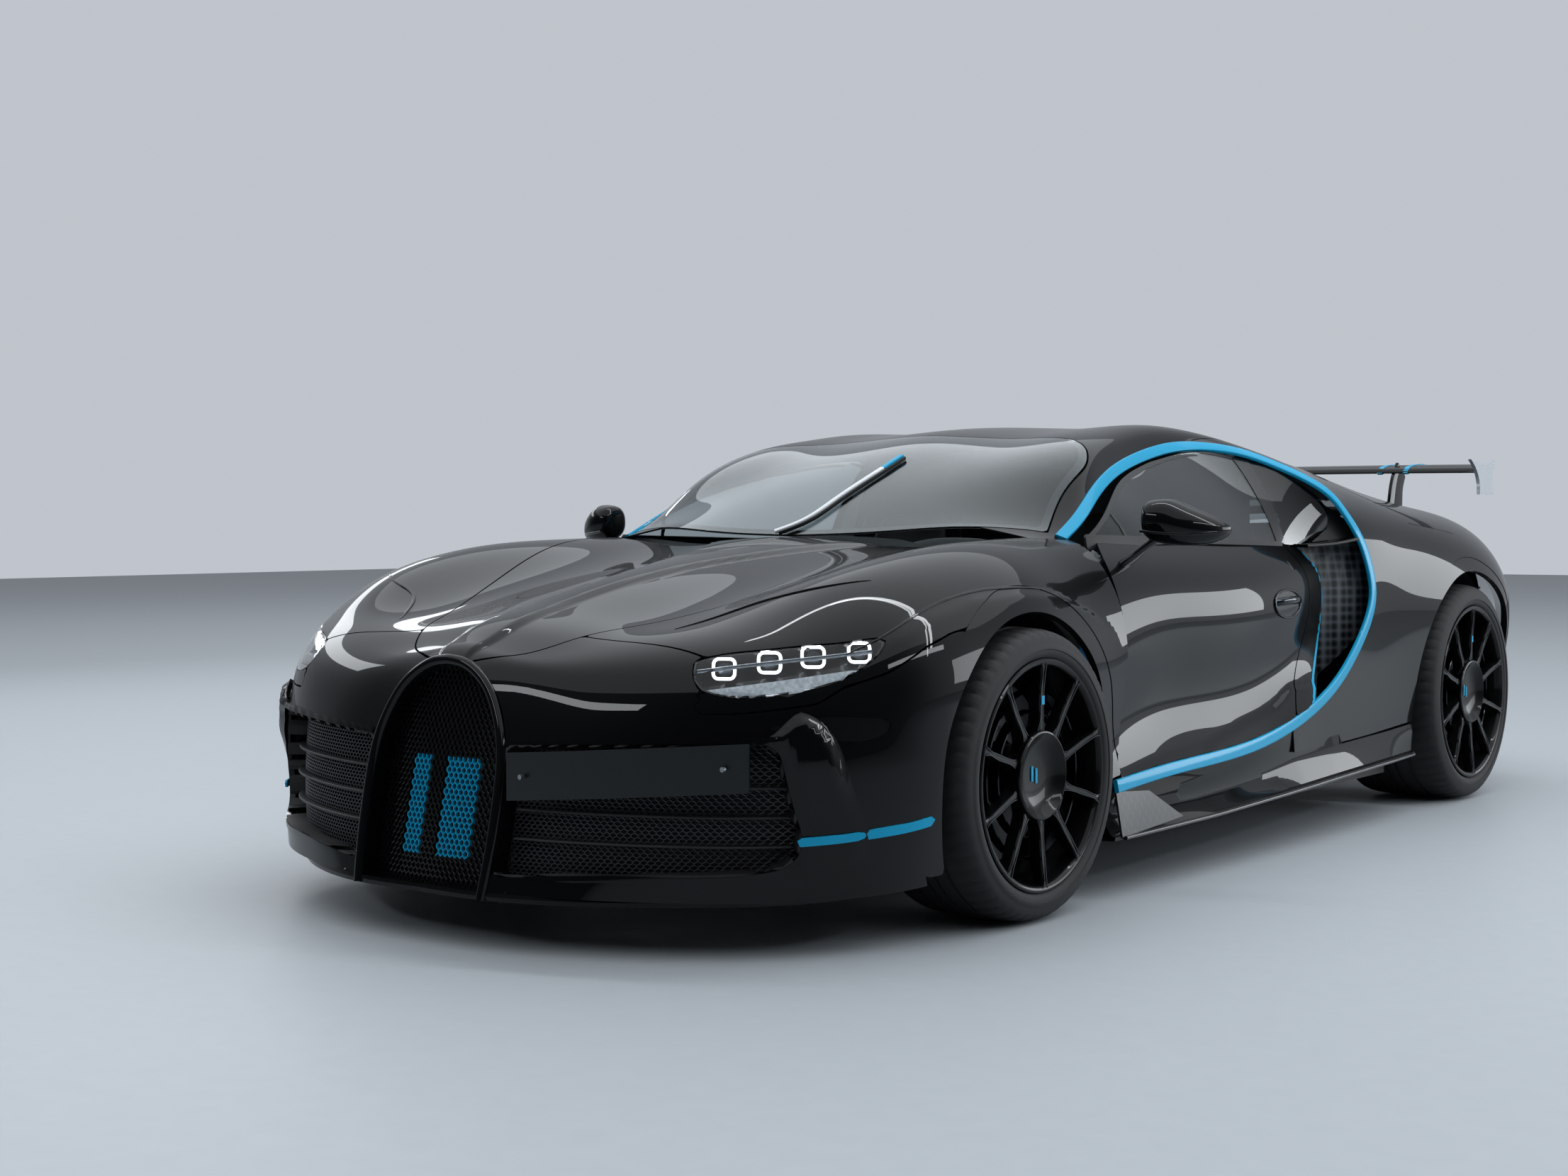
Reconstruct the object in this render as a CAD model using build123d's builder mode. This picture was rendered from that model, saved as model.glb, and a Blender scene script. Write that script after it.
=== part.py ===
"""A mid-engined two-seat hypercar with a horseshoe grille, a C-shaped side line and a fixed rear wing.

Frame: +Z up, nose towards -Y, the car's left side towards +X, millimetres.
Origin: on the ground, at the centre of the overall box.
Body tables give stations as distances behind the front axle.
"""

from build123d import *

import math
import os

# ---------------------------------------------------------------- driving sizes
LENGTH = 4546.0
WHEELBASE = 2711.0
NOSE_STATION = -992.0
FRONT_AXLE_Y = -LENGTH / 2 - NOSE_STATION
REAR_AXLE_Y = FRONT_AXLE_Y + WHEELBASE

GAP = 5.5  # shut line between painted panels
FLOOR_LOW = 118.0  # underside of the flat floor
FLOOR_HIGH = 148.0

SKIN = 28.0  # body panels, outer skin to inner liner
DOOR_SKIN = 88.0
GLASS = 7.0
LINE_HALF = 13.0  # half width of the light-blue side line
FAR = 1200.0  # beyond the car's side

# Wheels. Columns: name, side (+1 left), axle y, tyre centre x, tyre radius, tyre width, rim seat radius,
# brake disc radius.
WHEEL_TABLE = (
    ("front_left", 1, FRONT_AXLE_Y, 874.5, 339.5, 285.0, 262.0, 210.0),
    ("front_right", -1, FRONT_AXLE_Y, 874.5, 339.5, 285.0, 262.0, 210.0),
    ("rear_left", 1, REAR_AXLE_Y, 833.0, 355.5, 355.0, 275.0, 200.0),
    ("rear_right", -1, REAR_AXLE_Y, 833.0, 355.5, 355.0, 275.0, 200.0),
)
FRONT_HUB_Z = 339.5
REAR_HUB_Z = 355.5
FRONT_ARCH_R = 374.0
REAR_ARCH_R = 397.0
FRONT_LIP = 60.0  # width of the arch lips
REAR_LIP = 45.0
SPOKES = 10

# Nose and front wings. Columns: station, lean of the section (mm back per mm up from z 300), centre z,
# then x, z of: bonnet valley, wing crest, wing shoulder, flank, low flank, bottom edge.
FRONT_BODY = (
    (-957, 0.20, 612, 95, 598, 170, 540, 213, 440, 222, 320, 217, 215, 208, 125),
    (-940, 0.19, 628, 130, 612, 235, 562, 300, 470, 318, 330, 312, 215, 300, 125),
    (-900, 0.16, 645, 190, 625, 350, 588, 440, 508, 468, 350, 462, 220, 448, 125),
    (-780, 0.08, 685, 300, 660, 540, 640, 680, 570, 722, 400, 718, 235, 700, 125),
    (-620, 0.03, 720, 380, 692, 655, 700, 830, 625, 880, 450, 878, 255, 858, 125),
    (-430, 0.00, 760, 430, 733, 735, 782, 920, 680, 968, 500, 970, 290, 940, 130),
    (-220, 0.00, 800, 450, 776, 765, 838, 945, 730, 998, 535, 992, 325, 952, 135),
    (60, 0.00, 842, 470, 824, 775, 868, 945, 760, 1003, 550, 995, 335, 955, 145),
    (330, 0.00, 874, 490, 857, 782, 868, 912, 757, 970, 545, 962, 370, 966, 276),
    (620, 0.00, 882, 500, 872, 806, 865, 888, 790, 936, 615, 922, 430, 968, 290),
)

# Roof, quarters and tail. Columns: station, centre z, then x, z of: roof quarter point, crest, rail,
# shoulder, flank, low flank, bottom edge.
MAIN_BODY = (
    (350, 885, 380, 880, 640, 872, 730, 862, 860, 800, 960, 560, 955, 400, 962, 262),
    (510, 985, 370, 970, 655, 912, 752, 877, 860, 800, 950, 600, 945, 420, 968, 262),
    (700, 1085, 360, 1070, 672, 1020, 716, 962, 850, 830, 940, 640, 940, 440, 968, 262),
    (900, 1155, 360, 1142, 630, 1112, 668, 1040, 855, 840, 938, 650, 940, 450, 966, 262),
    (1100, 1190, 360, 1176, 600, 1150, 632, 1088, 858, 850, 935, 660, 940, 460, 962, 262),
    (1300, 1207, 360, 1195, 578, 1178, 612, 1122, 860, 860, 937, 670, 943, 470, 958, 262),
    (1500, 1212, 360, 1202, 570, 1185, 620, 1137, 862, 870, 940, 680, 946, 480, 955, 262),
    (1700, 1208, 380, 1195, 600, 1165, 702, 1107, 880, 890, 942, 690, 950, 490, 950, 262),
    (1850, 1198, 420, 1178, 640, 1132, 830, 1028, 900, 905, 946, 700, 952, 500, 950, 265),
    (2010, 1182, 450, 1155, 660, 1100, 800, 1024, 915, 900, 952, 700, 956, 500, 950, 270),
    (2300, 1155, 480, 1122, 670, 1050, 790, 995, 918, 895, 975, 708, 974, 475, 955, 285),
    (2711, 1090, 500, 1050, 660, 995, 775, 957, 912, 885, 1010, 705, 1003, 460, 960, 290),
    (3000, 1040, 500, 1005, 650, 968, 760, 940, 892, 865, 1000, 690, 990, 450, 950, 290),
    (3250, 995, 500, 965, 620, 942, 720, 915, 835, 838, 925, 670, 915, 440, 890, 300),
    (3450, 960, 480, 935, 570, 915, 650, 890, 755, 800, 845, 640, 835, 440, 810, 320),
    (3550, 940, 440, 915, 520, 898, 590, 872, 690, 785, 790, 630, 780, 450, 760, 340),
)

# Door skin. Columns: station, then x, z of: belt, shoulder, flank, low flank, bottom edge.
DOOR_BODY = (
    (380, 796, 868, 886, 785, 950, 600, 945, 420, 968, 276),
    (700, 815, 864, 885, 795, 930, 640, 912, 440, 968, 291),
    (1000, 825, 858, 888, 790, 930, 640, 905, 450, 964, 300),
    (1300, 830, 851, 887, 785, 925, 645, 902, 470, 958, 322),
    (1600, 828, 846, 874, 785, 900, 660, 892, 520, 952, 390),
    (1860, 822, 835, 850, 780, 860, 695, 862, 600, 900, 470),
)

# The C-shaped side line from the sill round behind the door: station, z along its middle in side view.
LINE_SIDE = (
    (380, 274), (900, 297), (1200, 312), (1450, 350), (1620, 395), (1790, 470), (1900, 550), (1970, 620),
    (2010, 700), (2000, 780), (1970, 860), (1930, 930), (1880, 995), (1820, 1045), (1740, 1090),
)
# Its arm along the roof, in plan: station, x.
LINE_PLAN = (
    (1880, 868), (1820, 815), (1740, 745), (1630, 685), (1500, 620), (1300, 612), (1100, 632), (900, 668),
    (750, 705), (620, 738), (520, 752),
)
# Over these the line is cut in plan: above LINE_JOINT_Z, and above LINE_PILLAR_Z ahead of the station.
LINE_JOINT_Z = 1062.0
LINE_PILLAR_Z = 873.0
LINE_JOINT_STATION = 1500.0

# Shut lines in side view, as station, z points.
DOOR_FRONT = ((595, 868), (538, 826), (505, 740), (498, 600), (488, 480), (455, 330), (440, 240))
DOOR_REAR = ((1668, 868), (1690, 790), (1702, 690), (1655, 578), (1565, 479), (1440, 330))
CHEEK_REAR = ((1750, 880), (1800, 790), (1832, 695), (1800, 590), (1700, 484), (1560, 330))
# Shut lines in plan, as station, x points.
BONNET_EDGE = ((-870, 118), (-600, 330), (-350, 470), (-100, 575), (180, 660), (290, 700), (400, 705))
BONNET_REAR = ((355, 380), (318, 0))
SPINE_EDGE = ((-830, 66), (-520, 55), (-108, 97), (180, 216), (300, 280))
SCREEN_EDGE = ((352, 0), (390, 380), (505, 712), (700, 640), (940, 556), (975, 400), (992, 0))

# Openings of the nose in front view, as x, z points of the left side.
HORSESHOE = ((0, 622), (80, 608), (158, 556), (205, 474), (222, 372), (221, 220), (208, 122))
LAMP = ((603, 625), (710, 640), (870, 662), (905, 662), (897, 619), (872, 590), (818, 567), (741, 556),
        (672, 560), (630, 580))
INTAKE = ((228, 440), (500, 452), (760, 456), (796, 440), (812, 380), (832, 240), (776, 190), (559, 180), (234, 160))


def y_of(station):
    """Row-frame y of a distance behind the front axle."""
    return FRONT_AXLE_Y + station


def outline(values):
    """Points of a body section, from the middle or the top edge out and down to the bottom edge."""
    middle = [(0.0, values[0])] if len(values) % 2 else []
    rest = values[len(values) % 2:]
    return middle + list(zip(rest[0::2], rest[1::2]))


def inset(points, depth):
    """The section moved inwards by depth, along the mean normal at each corner."""
    moved = []
    for i, (x, z) in enumerate(points):
        before = points[max(i - 1, 0)]
        after = points[min(i + 1, len(points) - 1)]
        dx, dz = after[0] - before[0], after[1] - before[1]
        size = math.hypot(dx, dz)
        moved.append((x + depth * dz / size, z - depth * dx / size))
    if points[0][0] == 0:
        moved[0] = (0.0, points[0][1] - depth)
    else:
        moved[0] = (points[0][0] - depth, points[0][1])
    moved[-1] = (points[-1][0] - depth, points[-1][1])
    return moved


def half_solid(rows, first_column, lean_column=None, depth=0.0, drop=0.0):
    """Left half of a body, solid to the middle, lofted straight between its stations.

    The outline is moved in by depth, and its bottom lies lower by drop.
    """
    with BuildPart() as body:
        for row in rows:
            lean = row[lean_column] if lean_column else 0.0
            stretch = math.hypot(1.0, lean)
            plane = Plane(
                origin=(0, y_of(row[0]), 300.0),
                x_dir=(1, 0, 0),
                z_dir=(0, -1 / stretch, lean / stretch),
            )
            points = outline(row[first_column:])
            if depth:
                points = inset(points, depth)
            if points[0][0] > 0:
                points = [(0.0, points[0][1])] + points
            x_end, z_end = points[-1]
            points[-1] = (x_end, z_end - drop)
            points.append((0.0, z_end - drop))
            with BuildSketch(plane):
                with BuildLine():
                    Polyline(*[(x, (z - 300.0) * stretch) for x, z in points], close=True)
                make_face()
        loft(ruled=True)
    return body.part


def half_shell(rows, depth, first_column, lean_column=None):
    """Left half of a body shell, depth thick, open below."""
    with BuildPart() as shell:
        add(half_solid(rows, first_column, lean_column))
        add(half_solid(rows, first_column, lean_column, depth, drop=60.0), mode=Mode.SUBTRACT)
    return shell.part


def side_prism(points, x_low, x_high):
    """Prism across the car over an outline of station, z points."""
    with BuildPart() as prism:
        with BuildSketch(Plane.YZ.offset(x_low)):
            with BuildLine():
                Polyline(*[(y_of(s), z) for s, z in points], close=True)
            make_face()
        extrude(amount=x_high - x_low)
    return prism.part


def plan_prism(points, z_low=0.0, z_high=1500.0, grow=0.0, mirrored=False):
    """Upright prism over an outline of station, x points, grown by an offset.

    A mirrored outline gives its left half only, from and to the car's middle.
    """
    if mirrored:
        points = tuple(points) + tuple((s, -x) for s, x in points[-2:0:-1])
    with BuildPart() as prism:
        with BuildSketch(Plane.XY.offset(z_low)):
            with BuildLine():
                Polyline(*[(x, y_of(s)) for s, x in points], close=True)
            make_face()
            if grow:
                offset(amount=grow, kind=Kind.INTERSECTION)
        extrude(amount=z_high - z_low)
    return prism.part


def face_prism(points, station_low, station_high, grow=0.0):
    """Prism along the car over an outline of x, z points, grown by an offset."""
    with BuildPart() as prism:
        with BuildSketch(Plane.XZ.offset(-y_of(station_low))):
            with BuildLine():
                Polyline(*points, close=True)
            make_face()
            if grow:
                offset(amount=grow, kind=Kind.INTERSECTION)
        extrude(amount=-(station_high - station_low))
    return prism.part


def moved_aside(points, aside):
    """Points of a line moved to its left by a distance, along the mean normal at each."""
    moved = []
    for i, (u, v) in enumerate(points):
        before = points[max(i - 1, 0)]
        after = points[min(i + 1, len(points) - 1)]
        du, dv = after[0] - before[0], after[1] - before[1]
        size = math.hypot(du, dv)
        moved.append((u + aside * dv / size, v - aside * du / size))
    return moved


def line_zone(grow):
    """Everything on the door's side of the left side line, the line itself moved out by grow.

    The line's arms along the sill and behind the door are cut in side view, and its arm along
    the roof and down the windscreen pillar in plan.
    """
    side = [(y_of(s), z) for s, z in moved_aside(LINE_SIDE, grow)]
    plan = [(x, y_of(s)) for s, x in moved_aside(LINE_PLAN, -grow)]
    with BuildPart() as over:
        add(block((300.0, 2200.0), (0.0, FAR), (LINE_JOINT_Z, 1500.0)))
        add(block((300.0, LINE_JOINT_STATION), (0.0, FAR), (LINE_PILLAR_Z, 1500.0)))
    with BuildPart() as roof_side:
        with BuildSketch(Plane.XY.offset(LINE_PILLAR_Z)):
            with BuildLine():
                Spline(*plan)
                Polyline(plan[-1], (FAR, plan[-1][1]), (FAR, plan[0][1]), plan[0])
            make_face()
        extrude(amount=600.0)
        add(over.part, mode=Mode.INTERSECT)
    with BuildPart() as zone:
        with BuildSketch(Plane.YZ):
            with BuildLine():
                Spline(*side)
                Polyline(side[-1], (side[0][0], side[-1][1]), side[0])
            make_face()
        extrude(amount=FAR)
        add(over.part, mode=Mode.SUBTRACT)
        add(roof_side.part)
    return zone.part


def cross_cylinder(y, z, radius, x_low, x_high):
    """Cylinder across the car, from x_low to x_high."""
    with BuildPart() as cylinder:
        with BuildSketch(Plane.YZ.offset(x_low)):
            with Locations((y, z)):
                Circle(radius)
        extrude(amount=x_high - x_low)
    return cylinder.part


def block(stations, xs, zs):
    """Box over a span of stations, x and z."""
    with BuildPart() as made:
        with BuildSketch(Plane.XY.offset(zs[0])):
            with Locations(((xs[0] + xs[1]) / 2, y_of((stations[0] + stations[1]) / 2))):
                Rectangle(xs[1] - xs[0], stations[1] - stations[0])
        extrude(amount=zs[1] - zs[0])
    return made.part


def rod(start, end, width, height):
    """Straight bar of rectangular section between two points of station, x, z."""
    a = Vector(start[1], y_of(start[0]), start[2])
    b = Vector(end[1], y_of(end[0]), end[2])
    along = (b - a).normalized()
    side = Vector(0, 0, 1).cross(along).normalized()
    with BuildPart() as made:
        with BuildSketch(Plane(origin=a, x_dir=side, z_dir=along)):
            Rectangle(width, height)
        extrude(amount=(b - a).length)
    return made.part


def cut(*tools):
    """Take tools away from the part being built."""
    for tool in tools:
        add(tool, mode=Mode.SUBTRACT)


def keep(*tools):
    """Keep of the part being built only what lies inside each tool."""
    for tool in tools:
        add(tool, mode=Mode.INTERSECT)


SLIVER = 2000.0  # mm3; crumbs that a cut leaves are smaller


def save(piece, name):
    """Label a finished piece and write it as its own STEP file."""
    solids = [s for s in piece.part.solids() if s.volume > SLIVER]
    whole = solids[0] if len(solids) == 1 else Compound(children=solids)
    whole.label = name
    export_step(whole, f"parts/{name}.step")
    print(f"{name}: {len(solids)} solids, {sum(s.volume for s in solids) / 1e6:.2f} litres")


def save_mirrored(piece, name):
    """Write the mirror image of a left piece as the right one."""
    with BuildPart() as other:
        mirror(piece.part, about=Plane.YZ)
    save(other, name)


# ---------------------------------------------------------------- shared bodies
os.makedirs("parts", exist_ok=True)

front_shell = half_shell(FRONT_BODY, SKIN, 2, 1)
main_shell = half_shell(MAIN_BODY, SKIN, 1)
front_core = half_solid(FRONT_BODY, 2, 1, SKIN + 1.0)
main_core = half_solid(MAIN_BODY, 1, None, SKIN + 1.0)

front_arch = cross_cylinder(FRONT_AXLE_Y, FRONT_HUB_Z, FRONT_ARCH_R, 940.0, FAR)
front_well = cross_cylinder(FRONT_AXLE_Y, FRONT_HUB_Z, FRONT_ARCH_R + 14.0, 560.0, 945.0)
rear_arch = cross_cylinder(REAR_AXLE_Y, REAR_HUB_Z, REAR_ARCH_R, 600.0, FAR)
wells = (front_arch, front_well, rear_arch)
front_lip_zone = cross_cylinder(FRONT_AXLE_Y, FRONT_HUB_Z, FRONT_ARCH_R + FRONT_LIP, 600.0, FAR)
rear_lip_zone = cross_cylinder(REAR_AXLE_Y, REAR_HUB_Z, REAR_ARCH_R + REAR_LIP, 640.0, FAR)

line_outer = line_zone(LINE_HALF + GAP)
line_edge = line_zone(LINE_HALF)
line_inside = line_zone(-LINE_HALF)
line_inner = line_zone(-LINE_HALF - GAP)

# ---------------------------------------------------------------- windscreen, roof
ROOF_EDGE = 600.0  # half width of the roof behind the doors
ROOF_END = 1846.0
DECK_EDGE = 540.0
TAIL_START = 3440.0

screen_hole = plan_prism(SCREEN_EDGE, 700.0, 1300.0, grow=GAP, mirrored=True)
with BuildPart() as windscreen:
    add(half_shell(MAIN_BODY, GLASS, 1))
    keep(plan_prism(SCREEN_EDGE, 700.0, 1300.0, mirrored=True))
    mirror(about=Plane.YZ)
save(windscreen, "windscreen")

with BuildPart() as roof:
    add(main_shell)
    keep(block((446.0, ROOF_END), (0.0, FAR), (874.0, 1300.0)))
    cut(block((1500.0, ROOF_END + GAP), (ROOF_EDGE, FAR), (800.0, 1300.0)), screen_hole, line_outer)
    mirror(about=Plane.YZ)
save(roof, "roof")

# ---------------------------------------------------------------- side line, quarters, deck
with BuildPart() as side_lines:
    add(main_shell)
    keep(line_edge, block((446.0, 2100.0), (500.0, FAR), (200.0, 1300.0)))
    cut(line_inside, block((400.0, 560.0), (500.0, FAR), (700.0, 874.0)), screen_hole)
    mirror(about=Plane.YZ)
save(side_lines, "side_lines")

with BuildPart() as quarter_left:
    add(main_shell)
    keep(block((1445.0, TAIL_START), (DECK_EDGE + GAP, FAR), (240.0, 1400.0)))
    cut(block((1400.0, ROOF_END + GAP), (0.0, ROOF_EDGE + GAP), (240.0, 1400.0)))
    cut(block((1400.0, 1505.0), (0.0, FAR), (800.0, 1400.0)), line_outer, rear_lip_zone)
save(quarter_left, "quarter_left")
save_mirrored(quarter_left, "quarter_right")

with BuildPart() as rear_lips:
    add(main_shell)
    keep(cross_cylinder(REAR_AXLE_Y, REAR_HUB_Z, REAR_ARCH_R + REAR_LIP - 1.0, 640.0, FAR))
    keep(block((1445.0, TAIL_START), (640.0, FAR), (262.0, 1200.0)))
    cut(rear_arch)
    mirror(about=Plane.YZ)
save(rear_lips, "rear_lips")

with BuildPart() as rear_deck:
    add(main_shell)
    keep(block((ROOF_END + GAP, TAIL_START), (0.0, DECK_EDGE), (600.0, 1400.0)))
    mirror(about=Plane.YZ)
save(rear_deck, "rear_deck")

# ---------------------------------------------------------------- doors and side glass
# Clearance under the door's front end, so that it swings over the side line: x, station, z it reaches to.
DOOR_RELIEF = ((936.0, 745.0, 313.0), (FAR, 600.0, 304.0))
HANDLE = (1498.0, 683.0, 54.0, 31.0)  # station, z, half length, half height of the handle cup

with BuildPart() as door_left:
    add(half_shell(DOOR_BODY, DOOR_SKIN, 1))
    keep(side_prism(DOOR_FRONT + DOOR_REAR[::-1], 500.0, FAR), line_inner)
    for x_high, end, z_high in DOOR_RELIEF:
        cut(block((430.0, end), (700.0, x_high), (200.0, z_high)))
    with BuildSketch(Plane.YZ.offset(893.0)):
        with Locations((y_of(HANDLE[0]), HANDLE[1])):
            Ellipse(HANDLE[2], HANDLE[3])
    extrude(amount=60.0, mode=Mode.SUBTRACT)
    with BuildSketch(Plane.YZ.offset(890.0)):
        with Locations((y_of(HANDLE[0]), HANDLE[1] + 8.0)):
            Rectangle(84.0, 14.0)
    extrude(amount=18.0)
save(door_left, "door_left")
save_mirrored(door_left, "door_right")

cheek_outline = tuple(moved_aside(DOOR_REAR, -GAP)) + CHEEK_REAR[::-1]
with BuildPart() as intake_cheeks:
    add(half_shell(DOOR_BODY, 40.0, 1))
    keep(side_prism(cheek_outline, 500.0, FAR), line_inner)
    mirror(about=Plane.YZ)
save(intake_cheeks, "intake_cheeks")

INTAKE_WALL = ((1705, 750), (2000, 885), (2000, 860), (1705, 725))
with BuildPart() as side_intakes:
    add(plan_prism(INTAKE_WALL, 250.0, 820.0))
    keep(line_inner)
    mirror(about=Plane.YZ)
save(side_intakes, "side_intakes")

# Side glass. Columns: station, belt x, belt z, rail x, rail z.
SIDE_GLASS = (
    (500, 796, 872, 752, 900),
    (700, 815, 868, 705, 1010),
    (900, 824, 864, 668, 1052),
    (1100, 828, 860, 632, 1100),
    (1300, 831, 856, 612, 1132),
    (1500, 830, 852, 620, 1147),
    (1700, 828, 845, 690, 1120),
    (1900, 830, 835, 780, 1040),
)
PANE_SPLIT = 1640.0  # station where the door's pane ends

with BuildPart() as side_glass:
    for station, x_low, z_low, x_high, z_high in SIDE_GLASS:
        with BuildSketch(Plane.XZ.offset(-y_of(station))):
            with BuildLine():
                Polyline(
                    (x_low, z_low + GAP), (x_high, z_high), (x_high - GLASS, z_high),
                    (x_low - GLASS, z_low + GAP), close=True,
                )
            make_face()
    loft(ruled=True)
    keep(line_inner)

with BuildPart() as door_glass_left:
    add(side_glass.part)
    keep(block((500.0, PANE_SPLIT), (500.0, 900.0), (800.0, 1200.0)))
save(door_glass_left, "door_glass_left")
save_mirrored(door_glass_left, "door_glass_right")

with BuildPart() as quarter_glass:
    add(side_glass.part)
    keep(block((PANE_SPLIT + GAP + 1.0, 1900.0), (500.0, 900.0), (800.0, 1200.0)))
    mirror(about=Plane.YZ)
save(quarter_glass, "quarter_glass")

# ---------------------------------------------------------------- mirrors
# Drop-shaped head. Columns: x, middle station, middle z, half length, half height.
MIRROR_HEAD = (
    (918, 655, 926, 30, 34), (950, 655, 922, 52, 52), (985, 664, 918, 58, 55), (1020, 680, 909, 58, 48),
    (1055, 703, 901, 50, 37), (1084, 732, 898, 34, 22), (1098, 750, 898, 16, 9),
)
with BuildPart() as mirror_left:
    for x, station, z, half_length, half_height in MIRROR_HEAD:
        with BuildSketch(Plane.YZ.offset(x)):
            with Locations((y_of(station), z)):
                Ellipse(half_length, half_height)
    loft(ruled=True)
    add(rod((632.0, 868.0, 810.0), (650.0, 942.0, 890.0), 44.0, 20.0))
    cut(door_left.part)
save(mirror_left, "mirror_left")
save_mirrored(mirror_left, "mirror_right")

# ---------------------------------------------------------------- horseshoe grille
GRILLE_STATION = -950.0
GRILLE_LEAN = 0.20
GRILLE_RIM = 20.0


def horseshoe(grow, front, back):
    """Horseshoe plate on the nose's slope, from front mm ahead of the grille plane to back mm behind it."""
    stretch = math.hypot(1.0, GRILLE_LEAN)
    normal = Vector(0, -1 / stretch, GRILLE_LEAN / stretch)
    middle = Vector(0, y_of(GRILLE_STATION), 300.0)
    left = [(x, (z - 300.0) * stretch) for x, z in HORSESHOE]
    with BuildPart() as plate:
        with BuildSketch(Plane(origin=middle + normal * front, x_dir=(1, 0, 0), z_dir=normal)):
            with BuildLine():
                Polyline(*(left + [(-x, z) for x, z in left[:0:-1]]), close=True)
            make_face()
            if grow:
                offset(amount=grow, kind=Kind.INTERSECTION)
        extrude(amount=-(front + back))
    return plate.part


grille_hole = horseshoe(0.0, 60.0, 120.0)
with BuildPart() as grille_surround:
    add(horseshoe(-3.0, 6.0, 40.0))
    cut(horseshoe(-3.0 - GRILLE_RIM, 20.0, 60.0))
save(grille_surround, "grille_surround")

CELL = 40.0  # pitch of the grille's bars
with BuildPart() as grille_lattice:
    for k in range(-5, 6):
        add(block((-1010.0, -850.0), (k * CELL - 2.0, k * CELL + 2.0), (100.0, 640.0)))
    for k in range(13):
        add(block((-1010.0, -850.0), (-230.0, 230.0), (122.0 + k * CELL, 126.0 + k * CELL)))
with BuildPart() as grille_mesh:
    add(horseshoe(-5.0 - GRILLE_RIM, -22.0, 44.0))
    keep(grille_lattice.part)
    add(horseshoe(-5.0 - GRILLE_RIM, -44.0, 50.0))
save(grille_mesh, "grille_mesh")

# ---------------------------------------------------------------- bonnet
bonnet_outline = ((-905, 0),) + BONNET_EDGE + BONNET_REAR
bonnet_hole = plan_prism(bonnet_outline, 480.0, grow=GAP, mirrored=True)
SPINE_RISE = 5.0  # height of the raised band along the bonnet's middle
with BuildPart() as spine:
    add(half_solid(FRONT_BODY, 2, 1, -SPINE_RISE))
    cut(front_core)
    keep(plan_prism(((-830, 0),) + SPINE_EDGE + ((300, 0),), 480.0, mirrored=True))
with BuildPart() as bonnet:
    add(front_shell)
    keep(plan_prism(bonnet_outline, 480.0, mirrored=True))
    add(spine.part)
    mirror(about=Plane.YZ)
    cut(grille_hole)
save(bonnet, "bonnet")

# ---------------------------------------------------------------- bumper, lamps, wings
BUMPER_END = -455.0
lamp_hole = face_prism(LAMP, -1010.0, -400.0, grow=GAP)
intake_zone = face_prism(INTAKE, -1010.0, -560.0)
nose_cutters = (bonnet_hole, screen_hole, front_lip_zone, front_well)

with BuildPart() as bumper:
    add(front_shell)
    keep(block((-1010.0, BUMPER_END), (0.0, FAR), (118.0, 900.0)))
    cut(*nose_cutters, lamp_hole, intake_zone)
    mirror(about=Plane.YZ)
    cut(grille_hole)
save(bumper, "bumper")

FENDER_PLAN = (
    (BUMPER_END + GAP, 400), (420, 712), (620, 700), (620, 1100), (BUMPER_END + GAP, 1100),
)
door_side = tuple(moved_aside(DOOR_FRONT, GAP)) + ((700, 200), (700, 900))
with BuildPart() as fender_left:
    add(front_shell)
    keep(plan_prism(FENDER_PLAN, 120.0))
    cut(*nose_cutters, lamp_hole, side_prism(door_side, 700.0, FAR))
    cut(block((380.0, 700.0), (700.0, FAR), (100.0, 296.0)))
save(fender_left, "fender_left")
save_mirrored(fender_left, "fender_right")

with BuildPart() as front_lips:
    add(front_shell)
    keep(cross_cylinder(FRONT_AXLE_Y, FRONT_HUB_Z, FRONT_ARCH_R + FRONT_LIP - 1.0, 600.0, FAR))
    keep(block((-500.0, 425.0), (640.0, FAR), (150.0, 900.0)))
    cut(front_arch, front_well, line_outer, bonnet_hole)
    mirror(about=Plane.YZ)
save(front_lips, "front_lips")

lamp_zone = face_prism(LAMP, -1000.0, -402.0)
with BuildPart() as headlamps:
    add(half_solid(FRONT_BODY, 2, 1, 3.0))
    cut(half_solid(FRONT_BODY, 2, 1, 9.0, 60.0), bonnet_hole)
    keep(lamp_zone)
    mirror(about=Plane.YZ)
save(headlamps, "headlamps")

with BuildPart() as lamp_bowls:
    add(half_solid(FRONT_BODY, 2, 1, 60.0))
    cut(half_solid(FRONT_BODY, 2, 1, 70.0, 60.0), bonnet_hole)
    keep(lamp_zone)
    mirror(about=Plane.YZ)
save(lamp_bowls, "lamp_bowls")

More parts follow.
